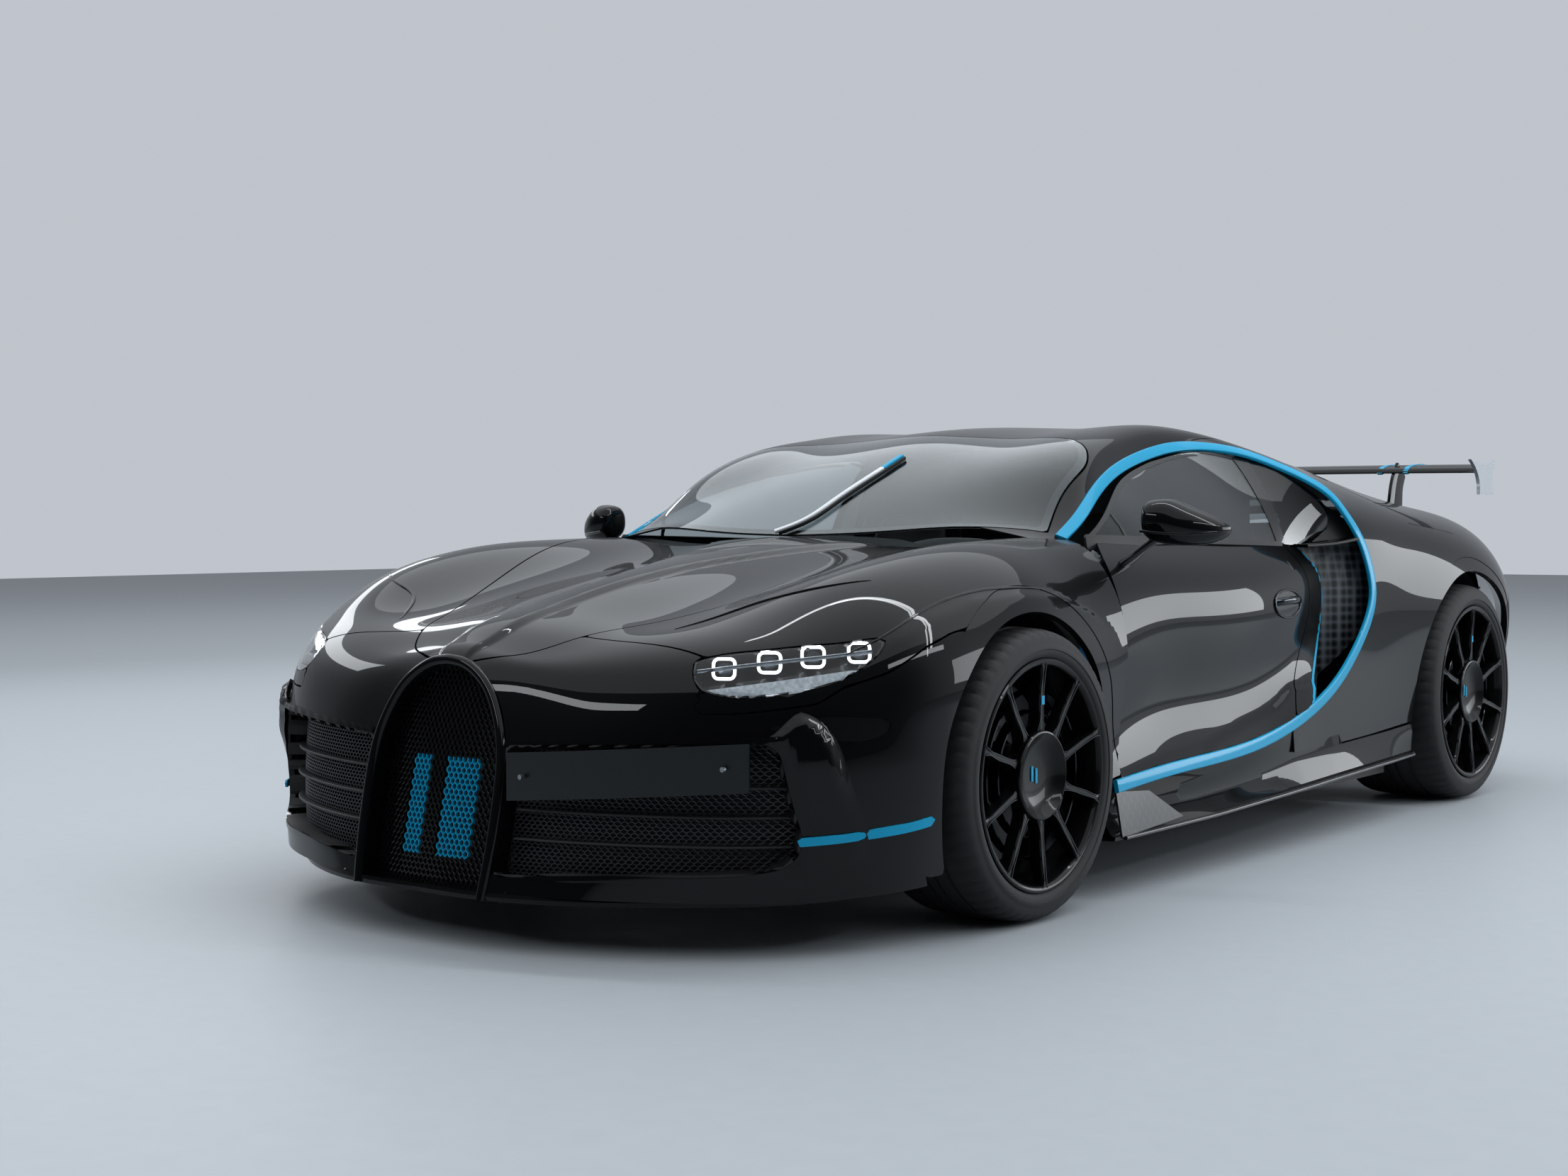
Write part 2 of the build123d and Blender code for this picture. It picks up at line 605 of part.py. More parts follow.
# Square lights in each lamp: station, x, z of the middle on the lamp's surface.
LIGHTS = ((-735, 667, 613), (-677, 745, 622), (-614, 813, 630), (-536, 872, 638))
LIGHT_FACING = Vector(0.33, -0.71, 0.63)
with BuildPart() as lamp_lights:
    for station, x, z in LIGHTS:
        centre = Vector(x, y_of(station), z) - LIGHT_FACING * 18.0
        with BuildSketch(Plane(origin=centre, x_dir=(0.91, 0.42, 0.0), z_dir=-LIGHT_FACING)):
            Rectangle(48.0, 42.0)
            Rectangle(34.0, 28.0, mode=Mode.SUBTRACT)
        extrude(amount=26.0)
        with BuildSketch(Plane(origin=centre - LIGHT_FACING * 20.0, x_dir=(0.91, 0.42, 0.0), z_dir=-LIGHT_FACING)):
            Rectangle(48.0, 42.0)
        extrude(amount=6.0)
    cut(half_solid(FRONT_BODY, 2, 1, 57.0))
    keep(half_solid(FRONT_BODY, 2, 1, 12.0), lamp_zone)
    mirror(about=Plane.YZ)
save(lamp_lights, "lamp_lights")

mesh_cutters = (front_well, front_arch, horseshoe(12.0, 60.0, 120.0))
with BuildPart() as intake_meshes:
    add(half_solid(FRONT_BODY, 2, 1, SKIN + 14.0))
    cut(half_solid(FRONT_BODY, 2, 1, SKIN + 22.0, 60.0))
    keep(intake_zone)
    cut(*mesh_cutters)
    mirror(about=Plane.YZ)
save(intake_meshes, "intake_meshes")

SLAT_LEVELS = (238.0, 300.0, 362.0)
with BuildPart() as intake_slats:
    add(half_solid(FRONT_BODY, 2, 1, SKIN - 8.0))
    cut(half_solid(FRONT_BODY, 2, 1, SKIN + 12.0, 60.0))
    keep(face_prism(INTAKE, -1010.0, -560.0, grow=-3.0))
    with BuildPart(mode=Mode.PRIVATE) as levels:
        for z in SLAT_LEVELS:
            add(block((-1010.0, -500.0), (0.0, FAR), (z - 4.0, z + 4.0)))
    keep(levels.part)
    cut(*mesh_cutters)
    mirror(about=Plane.YZ)
save(intake_slats, "intake_slats")

# Blank plate beside the horseshoe: station, x at its two ends, then its lower and upper z there.
PLATE_ENDS = ((-966, 252, 325, 428), (-784, 778, 362, 464))
with BuildPart() as number_plate:
    for station, x, z_low, z_high in PLATE_ENDS:
        with BuildSketch(Plane.YZ.offset(x)):
            with BuildLine():
                Polyline(
                    (y_of(station - 14), z_low), (y_of(station - 14), z_high), (y_of(station - 8), z_high),
                    (y_of(station - 8), z_low), close=True,
                )
            make_face()
    loft(ruled=True)
    cut(front_shell)
save(number_plate, "number_plate")

COWL = ((322, 0), (359, 380), (404, 702), (424, 735), (500, 700), (385, 372), (347, 0))
with BuildPart() as cowl:
    add(half_solid(FRONT_BODY, 2, 1, 8.0))
    cut(half_solid(FRONT_BODY, 2, 1, 14.0, 60.0), screen_hole, bonnet_hole)
    keep(plan_prism(COWL, 700.0, mirrored=True))
    cut(roof.part, fender_left.part)
    mirror(about=Plane.YZ)
save(cowl, "cowl")

# ---------------------------------------------------------------- splitter, floor, skirts
SPLITTER = (
    (-985, 0), (-982, 205), (-950, 330), (-890, 470), (-790, 620), (-680, 740),
    (-540, 830), (-420, 868), (-400, 800), (-400, 0),
)
FIN_SIDE = ((-984, 115), (-905, 115), (-905, 124), (-955, 124), (-980, 124))
with BuildPart() as splitter:
    add(plan_prism(SPLITTER, 96.0, 116.0, mirrored=True))
    for x in (235.0, 265.0):
        for side in (1, -1):
            add(side_prism(FIN_SIDE, side * x - 3.0, side * x + 3.0))
    cut(front_well, mirror(front_well, about=Plane.YZ, mode=Mode.PRIVATE))
save(splitter, "splitter")

FLOOR_PLAN = ((-396, 0), (-396, 560), (396, 560), (400, 868), (2300, 868), (2300, 600), (3150, 600), (3150, 0))
with BuildPart() as underfloor:
    add(plan_prism(FLOOR_PLAN, FLOOR_LOW, FLOOR_HIGH, mirrored=True))
    for well in wells:
        cut(well, mirror(well, about=Plane.YZ, mode=Mode.PRIVATE))
save(underfloor, "underfloor")

SKIRT = ((345, 158), (2290, 158), (2290, 256), (1440, 256), (1435, 288), (1150, 286), (450, 252), (345, 252))
SKIRT_WAIST = ((400, 200), (2290, 214), (2290, 250), (1440, 250), (1150, 244), (400, 222))
WINGLET = ((420, 250), (540, 244), (700, 170), (420, 160))
with BuildPart() as side_skirts:
    add(side_prism(SKIRT, 874.0, 970.0))
    cut(side_prism(SKIRT_WAIST, 940.0, FAR))
    add(side_prism(((390, 150), (2290, 150), (2290, 162), (390, 162)), 874.0, 988.0))
    add(side_prism(WINGLET, 966.0, 978.0))
    cut(*wells)
    mirror(about=Plane.YZ)
save(side_skirts, "side_skirts")

# ---------------------------------------------------------------- tub and frames
with BuildPart() as monocoque:
    add(block((430.0, 1700.0), (0.0, 790.0), (150.0, 400.0)))
    cut(block((470.0, 1640.0), (0.0, 690.0), (190.0, 420.0)))
    add(block((430.0, 470.0), (0.0, 690.0), (400.0, 790.0)))
    with BuildPart(mode=Mode.PRIVATE) as bulkhead:
        add(block((1640.0, 1700.0), (0.0, 690.0), (400.0, 1100.0)))
        keep(main_core)
    add(bulkhead.part)
    mirror(about=Plane.YZ)
save(monocoque, "monocoque")

LUGGAGE = ((-160.0, 250.0), (0.0, 300.0), (330.0, 900.0))
with BuildPart() as front_structure:
    add(block((-760.0, 428.0), (0.0, 330.0), (150.0, 640.0)))
    keep(front_core)
    add(block((340.0, 428.0), (0.0, 690.0), (150.0, 640.0)))
    cut(block(*LUGGAGE), block((-760.0, -200.0), (0.0, 260.0), (190.0, 600.0)))
    mirror(about=Plane.YZ)
save(front_structure, "front_structure")

with BuildPart() as rear_structure:
    add(block((1702.0, 3140.0), (306.0, 470.0), (170.0, 300.0)))
    add(block((1702.0, 1750.0), (0.0, 470.0), (170.0, 300.0)))
    add(block((2600.0, 3140.0), (0.0, 470.0), (170.0, 300.0)))
    add(block((2650.0, 2760.0), (340.0, 470.0), (300.0, 640.0)))
    mirror(about=Plane.YZ)
save(rear_structure, "rear_structure")

ENGINE_TOP = 780.0
with BuildPart() as engine:
    add(block((1760.0, 2480.0), (0.0, 300.0), (210.0, 640.0)))
    add(block((1800.0, 2440.0), (90.0, 290.0), (640.0, ENGINE_TOP)))
    add(block((1820.0, 2420.0), (0.0, 60.0), (640.0, ENGINE_TOP - 30.0)))
    mirror(about=Plane.YZ)
save(engine, "engine")

# ---------------------------------------------------------------- cabin
SEAT_X = 345.0
SEAT_HALF = 240.0
SEAT_SIDE = (
    (860, 250), (870, 330), (1240, 300), (1330, 620), (1400, 900), (1470, 960),
    (1500, 930), (1440, 640), (1370, 300), (1300, 210), (900, 200),
)
BOLSTER_SIDE = (
    (900, 300), (920, 385), (1190, 372), (1250, 470), (1300, 760), (1390, 790), (1420, 700),
    (1360, 400), (1290, 260), (910, 240),
)
for name, middle in (("seat_left", SEAT_X), ("seat_right", -SEAT_X)):
    with BuildPart() as seat:
        add(side_prism(SEAT_SIDE, middle - SEAT_HALF + 40.0, middle + SEAT_HALF - 40.0))
        for low in (-SEAT_HALF, SEAT_HALF - 70.0):
            add(side_prism(BOLSTER_SIDE, middle + low, middle + low + 70.0))
    save(seat, name)

DASH_SIDE = ((520, 560), (520, 800), (640, 835), (770, 790), (780, 700), (700, 580))
with BuildPart() as dashboard:
    add(side_prism(DASH_SIDE, 0.0, 680.0))
    add(block((700.0, 1500.0), (0.0, 75.0), (192.0, 420.0)))
    add(block((560.0, 701.0), (0.0, 75.0), (192.0, 600.0)))
    mirror(about=Plane.YZ)
save(dashboard, "dashboard")

WHEEL_HUB = (845.0, SEAT_X, 700.0)
COLUMN_LEAN = 24.0
column_dir = Vector(0, math.cos(math.radians(COLUMN_LEAN)), math.sin(math.radians(COLUMN_LEAN)))
hub_point = Vector(WHEEL_HUB[1], y_of(WHEEL_HUB[0]), WHEEL_HUB[2])
with BuildPart() as steering_wheel:
    with BuildSketch(Plane(origin=hub_point - column_dir * 14.0, x_dir=(1, 0, 0), z_dir=column_dir)):
        Circle(178.0)
        Circle(150.0, mode=Mode.SUBTRACT)
        Rectangle(310.0, 34.0)
        Circle(58.0)
    extrude(amount=28.0)
    with BuildSketch(Plane(origin=hub_point - column_dir * 54.0, x_dir=(1, 0, 0), z_dir=column_dir)):
        Circle(28.0)
    extrude(amount=50.0)
save(steering_wheel, "steering_wheel")

# ---------------------------------------------------------------- tail
with BuildPart() as rear_fascia:
    add(main_shell)
    keep(block((TAIL_START + 6.0, 3560.0), (0.0, FAR), (300.0, 1300.0)))
    mirror(about=Plane.YZ)
save(rear_fascia, "rear_fascia")

with BuildPart() as rear_grille:
    add(main_core)
    keep(block((TAIL_START + 6.0, TAIL_START + 36.0), (0.0, FAR), (330.0, 900.0)))
    for k in range(9):
        z = 352.0 + k * 60.0
        with BuildPart(mode=Mode.PRIVATE) as rib:
            add(block((TAIL_START + 36.0, TAIL_START + 46.0), (0.0, FAR), (z - 3.0, z + 3.0)))
            keep(main_core)
        add(rib.part)
    cut(block((3400.0, 3560.0), (0.0, 300.0), (330.0, 490.0)))
    cut(block((3480.0, 3560.0), (0.0, FAR), (730.0, 775.0)))
    mirror(about=Plane.YZ)
save(rear_grille, "rear_grille")

with BuildPart() as tail_light:
    add(block((3490.0, 3512.0), (0.0, 690.0), (742.0, 762.0)))
    mirror(about=Plane.YZ)
save(tail_light, "tail_light")

PIPES = ((-150.0, 62.0), (-50.0, 45.0), (50.0, 45.0), (150.0, 62.0))  # x, radius
PIPE_Z = 410.0
with BuildPart() as exhaust:
    for x, radius in PIPES:
        with BuildSketch(Plane.XZ.offset(-y_of(3380.0))):
            with Locations((x, PIPE_Z)):
                Circle(radius)
                Circle(radius - 6.0, mode=Mode.SUBTRACT)
        extrude(amount=-170.0)
    with BuildSketch(Plane.XZ.offset(-y_of(3240.0))):
        with Locations((0.0, PIPE_Z)):
            Rectangle(420.0, 130.0)
    extrude(amount=-140.0)
save(exhaust, "exhaust")

DIFFUSER = ((3160, 118), (3160, 148), (3520, 296), (3554, 296), (3554, 262), (3240, 118))
DIFFUSER_FIN = ((3170, 124), (3554, 150), (3554, 290), (3500, 285), (3180, 140))
with BuildPart() as diffuser:
    add(side_prism(DIFFUSER, 0.0, 690.0))
    for x in (150.0, 330.0, 510.0, 676.0):
        add(side_prism(DIFFUSER_FIN, x - 6.0, x + 6.0))
    mirror(about=Plane.YZ)
save(diffuser, "diffuser")

# Wing in side view, then its boomerang end plates and stays.
WING = ((3078, 1092), (3100, 1110), (3160, 1121), (3258, 1120), (3258, 1114), (3160, 1103), (3105, 1087))
WING_HALF = 868.0
END_PLATE = (
    (3034, 1128), (3074, 1090), (3088, 1050), (3078, 1008), (3206, 1008), (3220, 1055), (3238, 1095),
    (3268, 1128), (3150, 1117),
)
STAY = ((3035, 925), (3050, 990), (3058, 1040), (3096, 1098), (3205, 1108), (3178, 1060), (3164, 1010), (3160, 925))
with BuildPart() as rear_wing:
    add(side_prism(STAY, 564.0, 580.0))
    cut(half_solid(MAIN_BODY, 1))
    add(side_prism(WING, 0.0, WING_HALF))
    add(side_prism(END_PLATE, WING_HALF - 1.0, WING_HALF + 12.0))
    mirror(about=Plane.YZ)
save(rear_wing, "rear_wing")


# ---------------------------------------------------------------- wheels, tyres, hubs
def turned(points, side, y, z):
    """Solid turned about a wheel's axle; points are x, radius."""
    with BuildPart() as made:
        with BuildSketch(Plane.XZ.offset(-y)):
            with BuildLine():
                Polyline(*[(side * x, z + r) for x, r in points], close=True)
            make_face()
        revolve(axis=Axis((0, y, z), (1, 0, 0)))
    return made.part


for name, side, y, x_mid, tyre_r, width, seat_r, disc_r in WHEEL_TABLE:
    face, back = x_mid + width / 2, x_mid - width / 2
    with BuildPart() as tyre:
        add(turned(
            ((back + 22, seat_r), (back, seat_r + 34), (back + 18, tyre_r - 8), (back + 42, tyre_r),
             (face - 42, tyre_r), (face - 18, tyre_r - 8), (face, seat_r + 34), (face - 22, seat_r)),
            side, y, tyre_r,
        ))
    save(tyre, f"tyre_{name}")
    with BuildPart() as wheel:
        add(turned(
            ((back + 6, seat_r + 8), (back + 6, seat_r - 10), (face - 6, seat_r - 10), (face - 6, seat_r + 8),
             (face - 14, seat_r + 8), (face - 14, seat_r), (back + 14, seat_r), (back + 14, seat_r + 8)),
            side, y, tyre_r,
        ))
        add(turned(
            ((face - 170, 30.1), (face - 170, 70), (face - 40, 84), (face - 20, 103), (face - 9, 103), (face - 9, 30.1)),
            side, y, tyre_r,
        ))
        add(turned(((face - 170, 60), (face - 170, disc_r), (face - 134, disc_r), (face - 134, 60)), side, y, tyre_r))
        with BuildSketch(Plane.YZ.offset(side * (face - 26))):
            with Locations((y, tyre_r)):
                with PolarLocations((seat_r - 5 + 60) / 2, SPOKES):
                    Rectangle(seat_r - 5 - 60, 18.0)
        extrude(amount=-side * 34.0)
    save(wheel, f"wheel_{name}")

CALIPER_SPAN = 34.0  # half angle of a caliper about the axle, degrees


def caliper(side, y, face, hub_z, disc_r, facing):
    """Caliper over the disc's edge, open to the disc by 6 mm a side."""
    reach = disc_r + 60.0
    wedge = reach * math.tan(math.radians(CALIPER_SPAN))
    with BuildPart() as sector:
        with BuildSketch(Plane.YZ.offset(side * (face - 210) if side > 0 else side * (face - 100))):
            with BuildLine():
                Polyline((y, hub_z), (y + facing * reach, hub_z - wedge), (y + facing * reach, hub_z + wedge), close=True)
            make_face()
        extrude(amount=110.0)
    with BuildPart() as made:
        add(turned(
            ((face - 200, disc_r - 70), (face - 200, disc_r + 28), (face - 108, disc_r + 28), (face - 108, disc_r - 70)),
            side, y, hub_z,
        ))
        cut(turned(
            ((face - 176, 0), (face - 176, disc_r + 7), (face - 128, disc_r + 7), (face - 128, 0)), side, y, hub_z,
        ))
        keep(sector.part)
    return made.part


def upright(side, y, face, hub_z):
    """Wheel carrier inboard of the disc, with its stub axle."""
    with BuildPart() as made:
        with BuildSketch(Plane.YZ.offset(side * (face - 250))):
            with Locations((y, hub_z)):
                Rectangle(110.0, 320.0)
                Rectangle(330.0, 90.0)
        extrude(amount=side * 66.0)
        with BuildSketch(Plane.YZ.offset(side * (face - 190))):
            with Locations((y, hub_z)):
                Circle(30.0)
        extrude(amount=side * 150.0)
    return made.part


front_face = WHEEL_TABLE[0][3] + WHEEL_TABLE[0][5] / 2
rear_face = WHEEL_TABLE[2][3] + WHEEL_TABLE[2][5] / 2
for name, side in (("left", 1), ("right", -1)):
    with BuildPart() as knuckle:
        add(upright(side, FRONT_AXLE_Y, front_face, FRONT_HUB_Z))
        add(caliper(side, FRONT_AXLE_Y, front_face, FRONT_HUB_Z, WHEEL_TABLE[0][7], 1))
    save(knuckle, f"knuckle_{name}")

with BuildPart() as rear_hubs:
    add(upright(1, REAR_AXLE_Y, rear_face, REAR_HUB_Z))
    add(caliper(1, REAR_AXLE_Y, rear_face, REAR_HUB_Z, WHEEL_TABLE[2][7], -1))
    mirror(about=Plane.YZ)
save(rear_hubs, "rear_hubs")

# Wishbones. Columns: axle station, inner x, outer x, inner z, outer z, half spread at the frame.
FRONT_ARMS = ((0.0, 331.0, 742.0, 235.0, 225.0, 130.0), (0.0, 331.0, 742.0, 470.0, 455.0, 120.0))
REAR_ARMS = ((WHEELBASE, 472.0, 752.0, 240.0, 235.0, 150.0), (WHEELBASE, 472.0, 752.0, 460.0, 470.0, 120.0))
for name, table in (("suspension_front", FRONT_ARMS), ("suspension_rear", REAR_ARMS)):
    with BuildPart() as arms:
        for station, x_in, x_out, z_in, z_out, spread in table:
            for way in (-1, 1):
                add(rod((station + way * spread, x_in, z_in), (station + way * 14, x_out, z_out), 24.0, 20.0))
        inner = table[0][1]
        cut(block((table[0][0] - 300.0, table[0][0] + 300.0), (0.0, inner), (100.0, 700.0)))
        mirror(about=Plane.YZ)
        if name == "suspension_rear":
            cut(rear_hubs.part)
    save(arms, name)
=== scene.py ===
"""Looks of a low two-seat hypercar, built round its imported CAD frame.

Frame: metres, +Z up, nose towards -Y, the car's left side towards +X, origin on the ground in the middle.
Body tables are in millimetres; their stations are distances behind the front axle.
"""

import logging
import math
from dataclasses import dataclass, field
from enum import Enum
from typing import Callable, Optional, Sequence

import bmesh
import bpy
import numpy as np
from mathutils import Matrix, Vector


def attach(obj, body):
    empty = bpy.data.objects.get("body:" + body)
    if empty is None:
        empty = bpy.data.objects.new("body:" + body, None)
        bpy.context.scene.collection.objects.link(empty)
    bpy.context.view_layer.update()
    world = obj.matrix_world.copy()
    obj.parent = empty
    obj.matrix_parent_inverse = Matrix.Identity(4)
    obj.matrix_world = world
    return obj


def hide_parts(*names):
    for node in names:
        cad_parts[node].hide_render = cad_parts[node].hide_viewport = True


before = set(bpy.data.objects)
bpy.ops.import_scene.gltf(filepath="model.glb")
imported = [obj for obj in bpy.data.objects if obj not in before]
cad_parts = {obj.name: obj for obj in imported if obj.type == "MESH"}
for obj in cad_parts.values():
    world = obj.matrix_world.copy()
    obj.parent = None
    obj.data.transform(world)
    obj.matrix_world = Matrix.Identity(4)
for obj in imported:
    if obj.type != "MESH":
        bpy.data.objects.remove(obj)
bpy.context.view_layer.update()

log = logging.getLogger("hypercar")
Array = np.ndarray

# ------------------------------------------------------------------ driving dimensions, millimetres
LENGTH = 4546.0
NOSE_STATION = -992.0
FRONT_AXLE_Y = -LENGTH / 2 - NOSE_STATION
WHEELBASE = 2711.0
MM = 0.001
FRONT_HUB_Z = 339.5
REAR_HUB_Z = 355.5
FRONT_ARCH_R = 374.0
REAR_ARCH_R = 397.0
SHUT_GAP = 2.2  # half a shut line between painted panels
BODY = "car"

# Nose and front wings. Columns: station, lean of the section (mm back per mm up from z 300), centre z,
# then x, z of: bonnet valley, wing crest, wing shoulder, flank, low flank, bottom edge.
FRONT_BODY = (
    (-957, 0.20, 612, 95, 598, 170, 540, 213, 440, 222, 320, 217, 215, 208, 125),
    (-940, 0.19, 628, 130, 612, 235, 562, 300, 470, 318, 330, 312, 215, 300, 125),
    (-900, 0.16, 645, 190, 625, 350, 588, 440, 508, 468, 350, 462, 220, 448, 125),
    (-780, 0.08, 685, 300, 660, 540, 640, 680, 570, 722, 400, 718, 235, 700, 125),
    (-620, 0.03, 720, 380, 692, 655, 700, 830, 625, 880, 450, 878, 255, 858, 125),
    (-430, 0.00, 760, 430, 733, 735, 782, 920, 680, 968, 500, 970, 290, 940, 130),
    (-220, 0.00, 800, 450, 776, 765, 838, 945, 730, 998, 535, 992, 325, 952, 135),
    (60, 0.00, 842, 470, 824, 775, 868, 945, 760, 1003, 550, 995, 335, 955, 145),
    (330, 0.00, 874, 490, 857, 782, 868, 912, 757, 970, 545, 962, 370, 966, 276),
    (620, 0.00, 882, 500, 872, 806, 865, 888, 790, 936, 615, 922, 430, 968, 290),
)

# Roof, quarters and tail. Columns: station, centre z, then x, z of: roof quarter point, crest, rail,
# shoulder, flank, low flank, bottom edge.
MAIN_BODY = (
    (350, 885, 380, 880, 640, 872, 730, 862, 860, 800, 960, 560, 955, 400, 962, 262),
    (510, 985, 370, 970, 655, 912, 752, 877, 860, 800, 950, 600, 945, 420, 968, 262),
    (700, 1085, 360, 1070, 672, 1020, 716, 962, 850, 830, 940, 640, 940, 440, 968, 262),
    (900, 1155, 360, 1142, 630, 1112, 668, 1040, 855, 840, 938, 650, 940, 450, 966, 262),
    (1100, 1190, 360, 1176, 600, 1150, 632, 1088, 858, 850, 935, 660, 940, 460, 962, 262),
    (1300, 1207, 360, 1195, 578, 1178, 612, 1122, 860, 860, 937, 670, 943, 470, 958, 262),
    (1500, 1212, 360, 1202, 570, 1185, 620, 1137, 862, 870, 940, 680, 946, 480, 955, 262),
    (1700, 1208, 380, 1195, 600, 1165, 702, 1107, 880, 890, 942, 690, 950, 490, 950, 262),
    (1850, 1198, 420, 1178, 640, 1132, 830, 1028, 900, 905, 946, 700, 952, 500, 950, 265),
    (2010, 1182, 450, 1155, 660, 1100, 800, 1024, 915, 900, 952, 700, 956, 500, 950, 270),
    (2300, 1155, 480, 1122, 670, 1050, 790, 995, 918, 895, 975, 708, 974, 475, 955, 285),
    (2711, 1090, 500, 1050, 660, 995, 775, 957, 912, 885, 1010, 705, 1003, 460, 960, 290),
    (3000, 1040, 500, 1005, 650, 968, 760, 940, 892, 865, 1000, 690, 990, 450, 950, 290),
    (3250, 995, 500, 965, 620, 942, 720, 915, 835, 838, 925, 670, 915, 440, 890, 300),
    (3450, 960, 480, 935, 570, 915, 650, 890, 755, 800, 845, 640, 835, 440, 810, 320),
    (3550, 940, 440, 915, 520, 898, 590, 872, 690, 785, 790, 630, 780, 450, 760, 340),
)

# Door skin. Columns: station, then x, z of: belt, shoulder, flank, low flank, bottom edge.
DOOR_BODY = (
    (380, 796, 868, 886, 785, 950, 600, 945, 420, 968, 276),
    (700, 815, 864, 885, 795, 930, 640, 912, 440, 968, 291),
    (1000, 825, 858, 888, 790, 930, 640, 905, 450, 964, 300),
    (1300, 830, 851, 887, 785, 925, 645, 902, 470, 958, 322),
    (1600, 828, 846, 874, 785, 900, 660, 892, 520, 952, 390),
    (1860, 822, 835, 850, 780, 860, 695, 862, 600, 900, 470),
)

# The light-blue C-shaped side line. Columns: station, x, z along its middle.
SIDE_LINE = (
    (400, 970, 275), (640, 970, 290), (900, 966, 297), (1200, 960, 312), (1450, 955, 350),
    (1620, 952, 395), (1790, 950, 470), (1900, 950, 550), (1970, 950, 620), (2010, 948, 700),
    (2000, 940, 780), (1970, 925, 860), (1930, 900, 930), (1880, 868, 995), (1820, 815, 1045),
    (1740, 745, 1090), (1630, 685, 1124), (1500, 620, 1137), (1300, 612, 1122), (1100, 632, 1088),
    (900, 668, 1040), (750, 705, 985), (620, 738, 925), (510, 752, 877),
)

# Shut lines in side view. Columns: station, z.
DOOR_FRONT = ((593, 872), (540, 826), (508, 754), (502, 683), (500, 594), (490, 486), (470, 398), (430, 311),
              (415, 262))
DOOR_REAR = ((1628, 880), (1650, 846), (1690, 784), (1702, 700), (1655, 578), (1565, 479), (1482, 395),
             (1440, 345), (1400, 262))
CHEEK_REAR = ((1735, 880), (1752, 838), (1802, 780), (1832, 695), (1802, 590), (1704, 490), (1602, 410),
              (1545, 365), (1440, 262))
# Shut lines in plan. Columns: station, x.
BONNET_SIDE = ((-905, 0), (-890, 60), (-845, 165), (-700, 285), (-500, 390), (-250, 500), (0, 600),
               (200, 665), (392, 705))
SCREEN_BASE = ((505, 712), (390, 380), (352, 0))
SCREEN_SIDE = ((505, 712), (640, 672), (800, 655), (860, 622), (925, 520), (965, 350), (985, 150), (990, 0))


# ------------------------------------------------------------------ mathematics of the surfaces
def at(station: float | Array) -> float | Array:
    """Row-frame y, in metres, of a distance behind the front axle in millimetres."""
    return (FRONT_AXLE_Y + station) * MM


def spline(knots: Array, values: Array, wanted: Array) -> Array:
    """Natural cubic spline through rows of values.

    The second derivatives at the knots solve the usual three-diagonal system, zero at both ends; between
    knots the curve is the cubic that they and the values give. Beyond the ends it runs on straight.

    Args:
        knots: rising parameters, shape (n,).
        values: rows to pass through, shape (n, ...).
        wanted: parameters to evaluate, shape (m,).

    Returns:
        The rows at the wanted parameters, shape (m, ...).
    """
    knots = np.asarray(knots, float)
    rows = np.asarray(values, float).reshape(len(knots), -1)
    h = np.diff(knots)
    system = np.eye(len(knots))
    right = np.zeros_like(rows)
    inner = np.arange(1, len(knots) - 1)
    system[inner, inner - 1] = h[:-1]
    system[inner, inner] = 2 * (h[:-1] + h[1:])
    system[inner, inner + 1] = h[1:]
    slope = np.diff(rows, axis=0) / h[:, None]
    right[inner] = 6 * np.diff(slope, axis=0)
    curve = np.linalg.solve(system, right)
    wanted = np.asarray(wanted, float)
    held = np.clip(wanted, knots[0], knots[-1])
    k = np.clip(np.searchsorted(knots, held, side="right") - 1, 0, len(h) - 1)
    left = ((knots[k + 1] - held) / h[k])[:, None]
    rest = 1 - left
    bend = ((left**3 - left) * curve[k] + (rest**3 - rest) * curve[k + 1]) * (h[k] ** 2 / 6)[:, None]
    got = left * rows[k] + rest * rows[k + 1] + bend
    first = slope[0] - h[0] * curve[1] / 6
    last = slope[-1] + h[-1] * curve[-2] / 6
    got = got + np.minimum(wanted - knots[0], 0)[:, None] * first + np.maximum(wanted - knots[-1],
                                                                               0)[:, None] * last
    return got.reshape((len(wanted),) + np.shape(values)[1:])


def chord(points: Array) -> Array:
    """Running length along rows of points, starting at zero."""
    steps = np.linalg.norm(np.diff(points, axis=0), axis=-1)
    return np.concatenate([[0.0], np.cumsum(steps)])


def smooth_path(points: Sequence[Sequence[float]], count: int) -> Array:
    """Evenly spaced points of the natural spline through the given points, by running length.

    Args:
        points: rows to pass through.
        count: how many points to return.

    Returns:
        Array of shape (count, columns).
    """
    rows = np.asarray(points, float)
    fine = spline(chord(rows), rows, np.linspace(0, chord(rows)[-1], count * 8))
    length = chord(fine)
    return np.stack([np.interp(np.linspace(0, length[-1], count), length, c) for c in fine.T], 1)


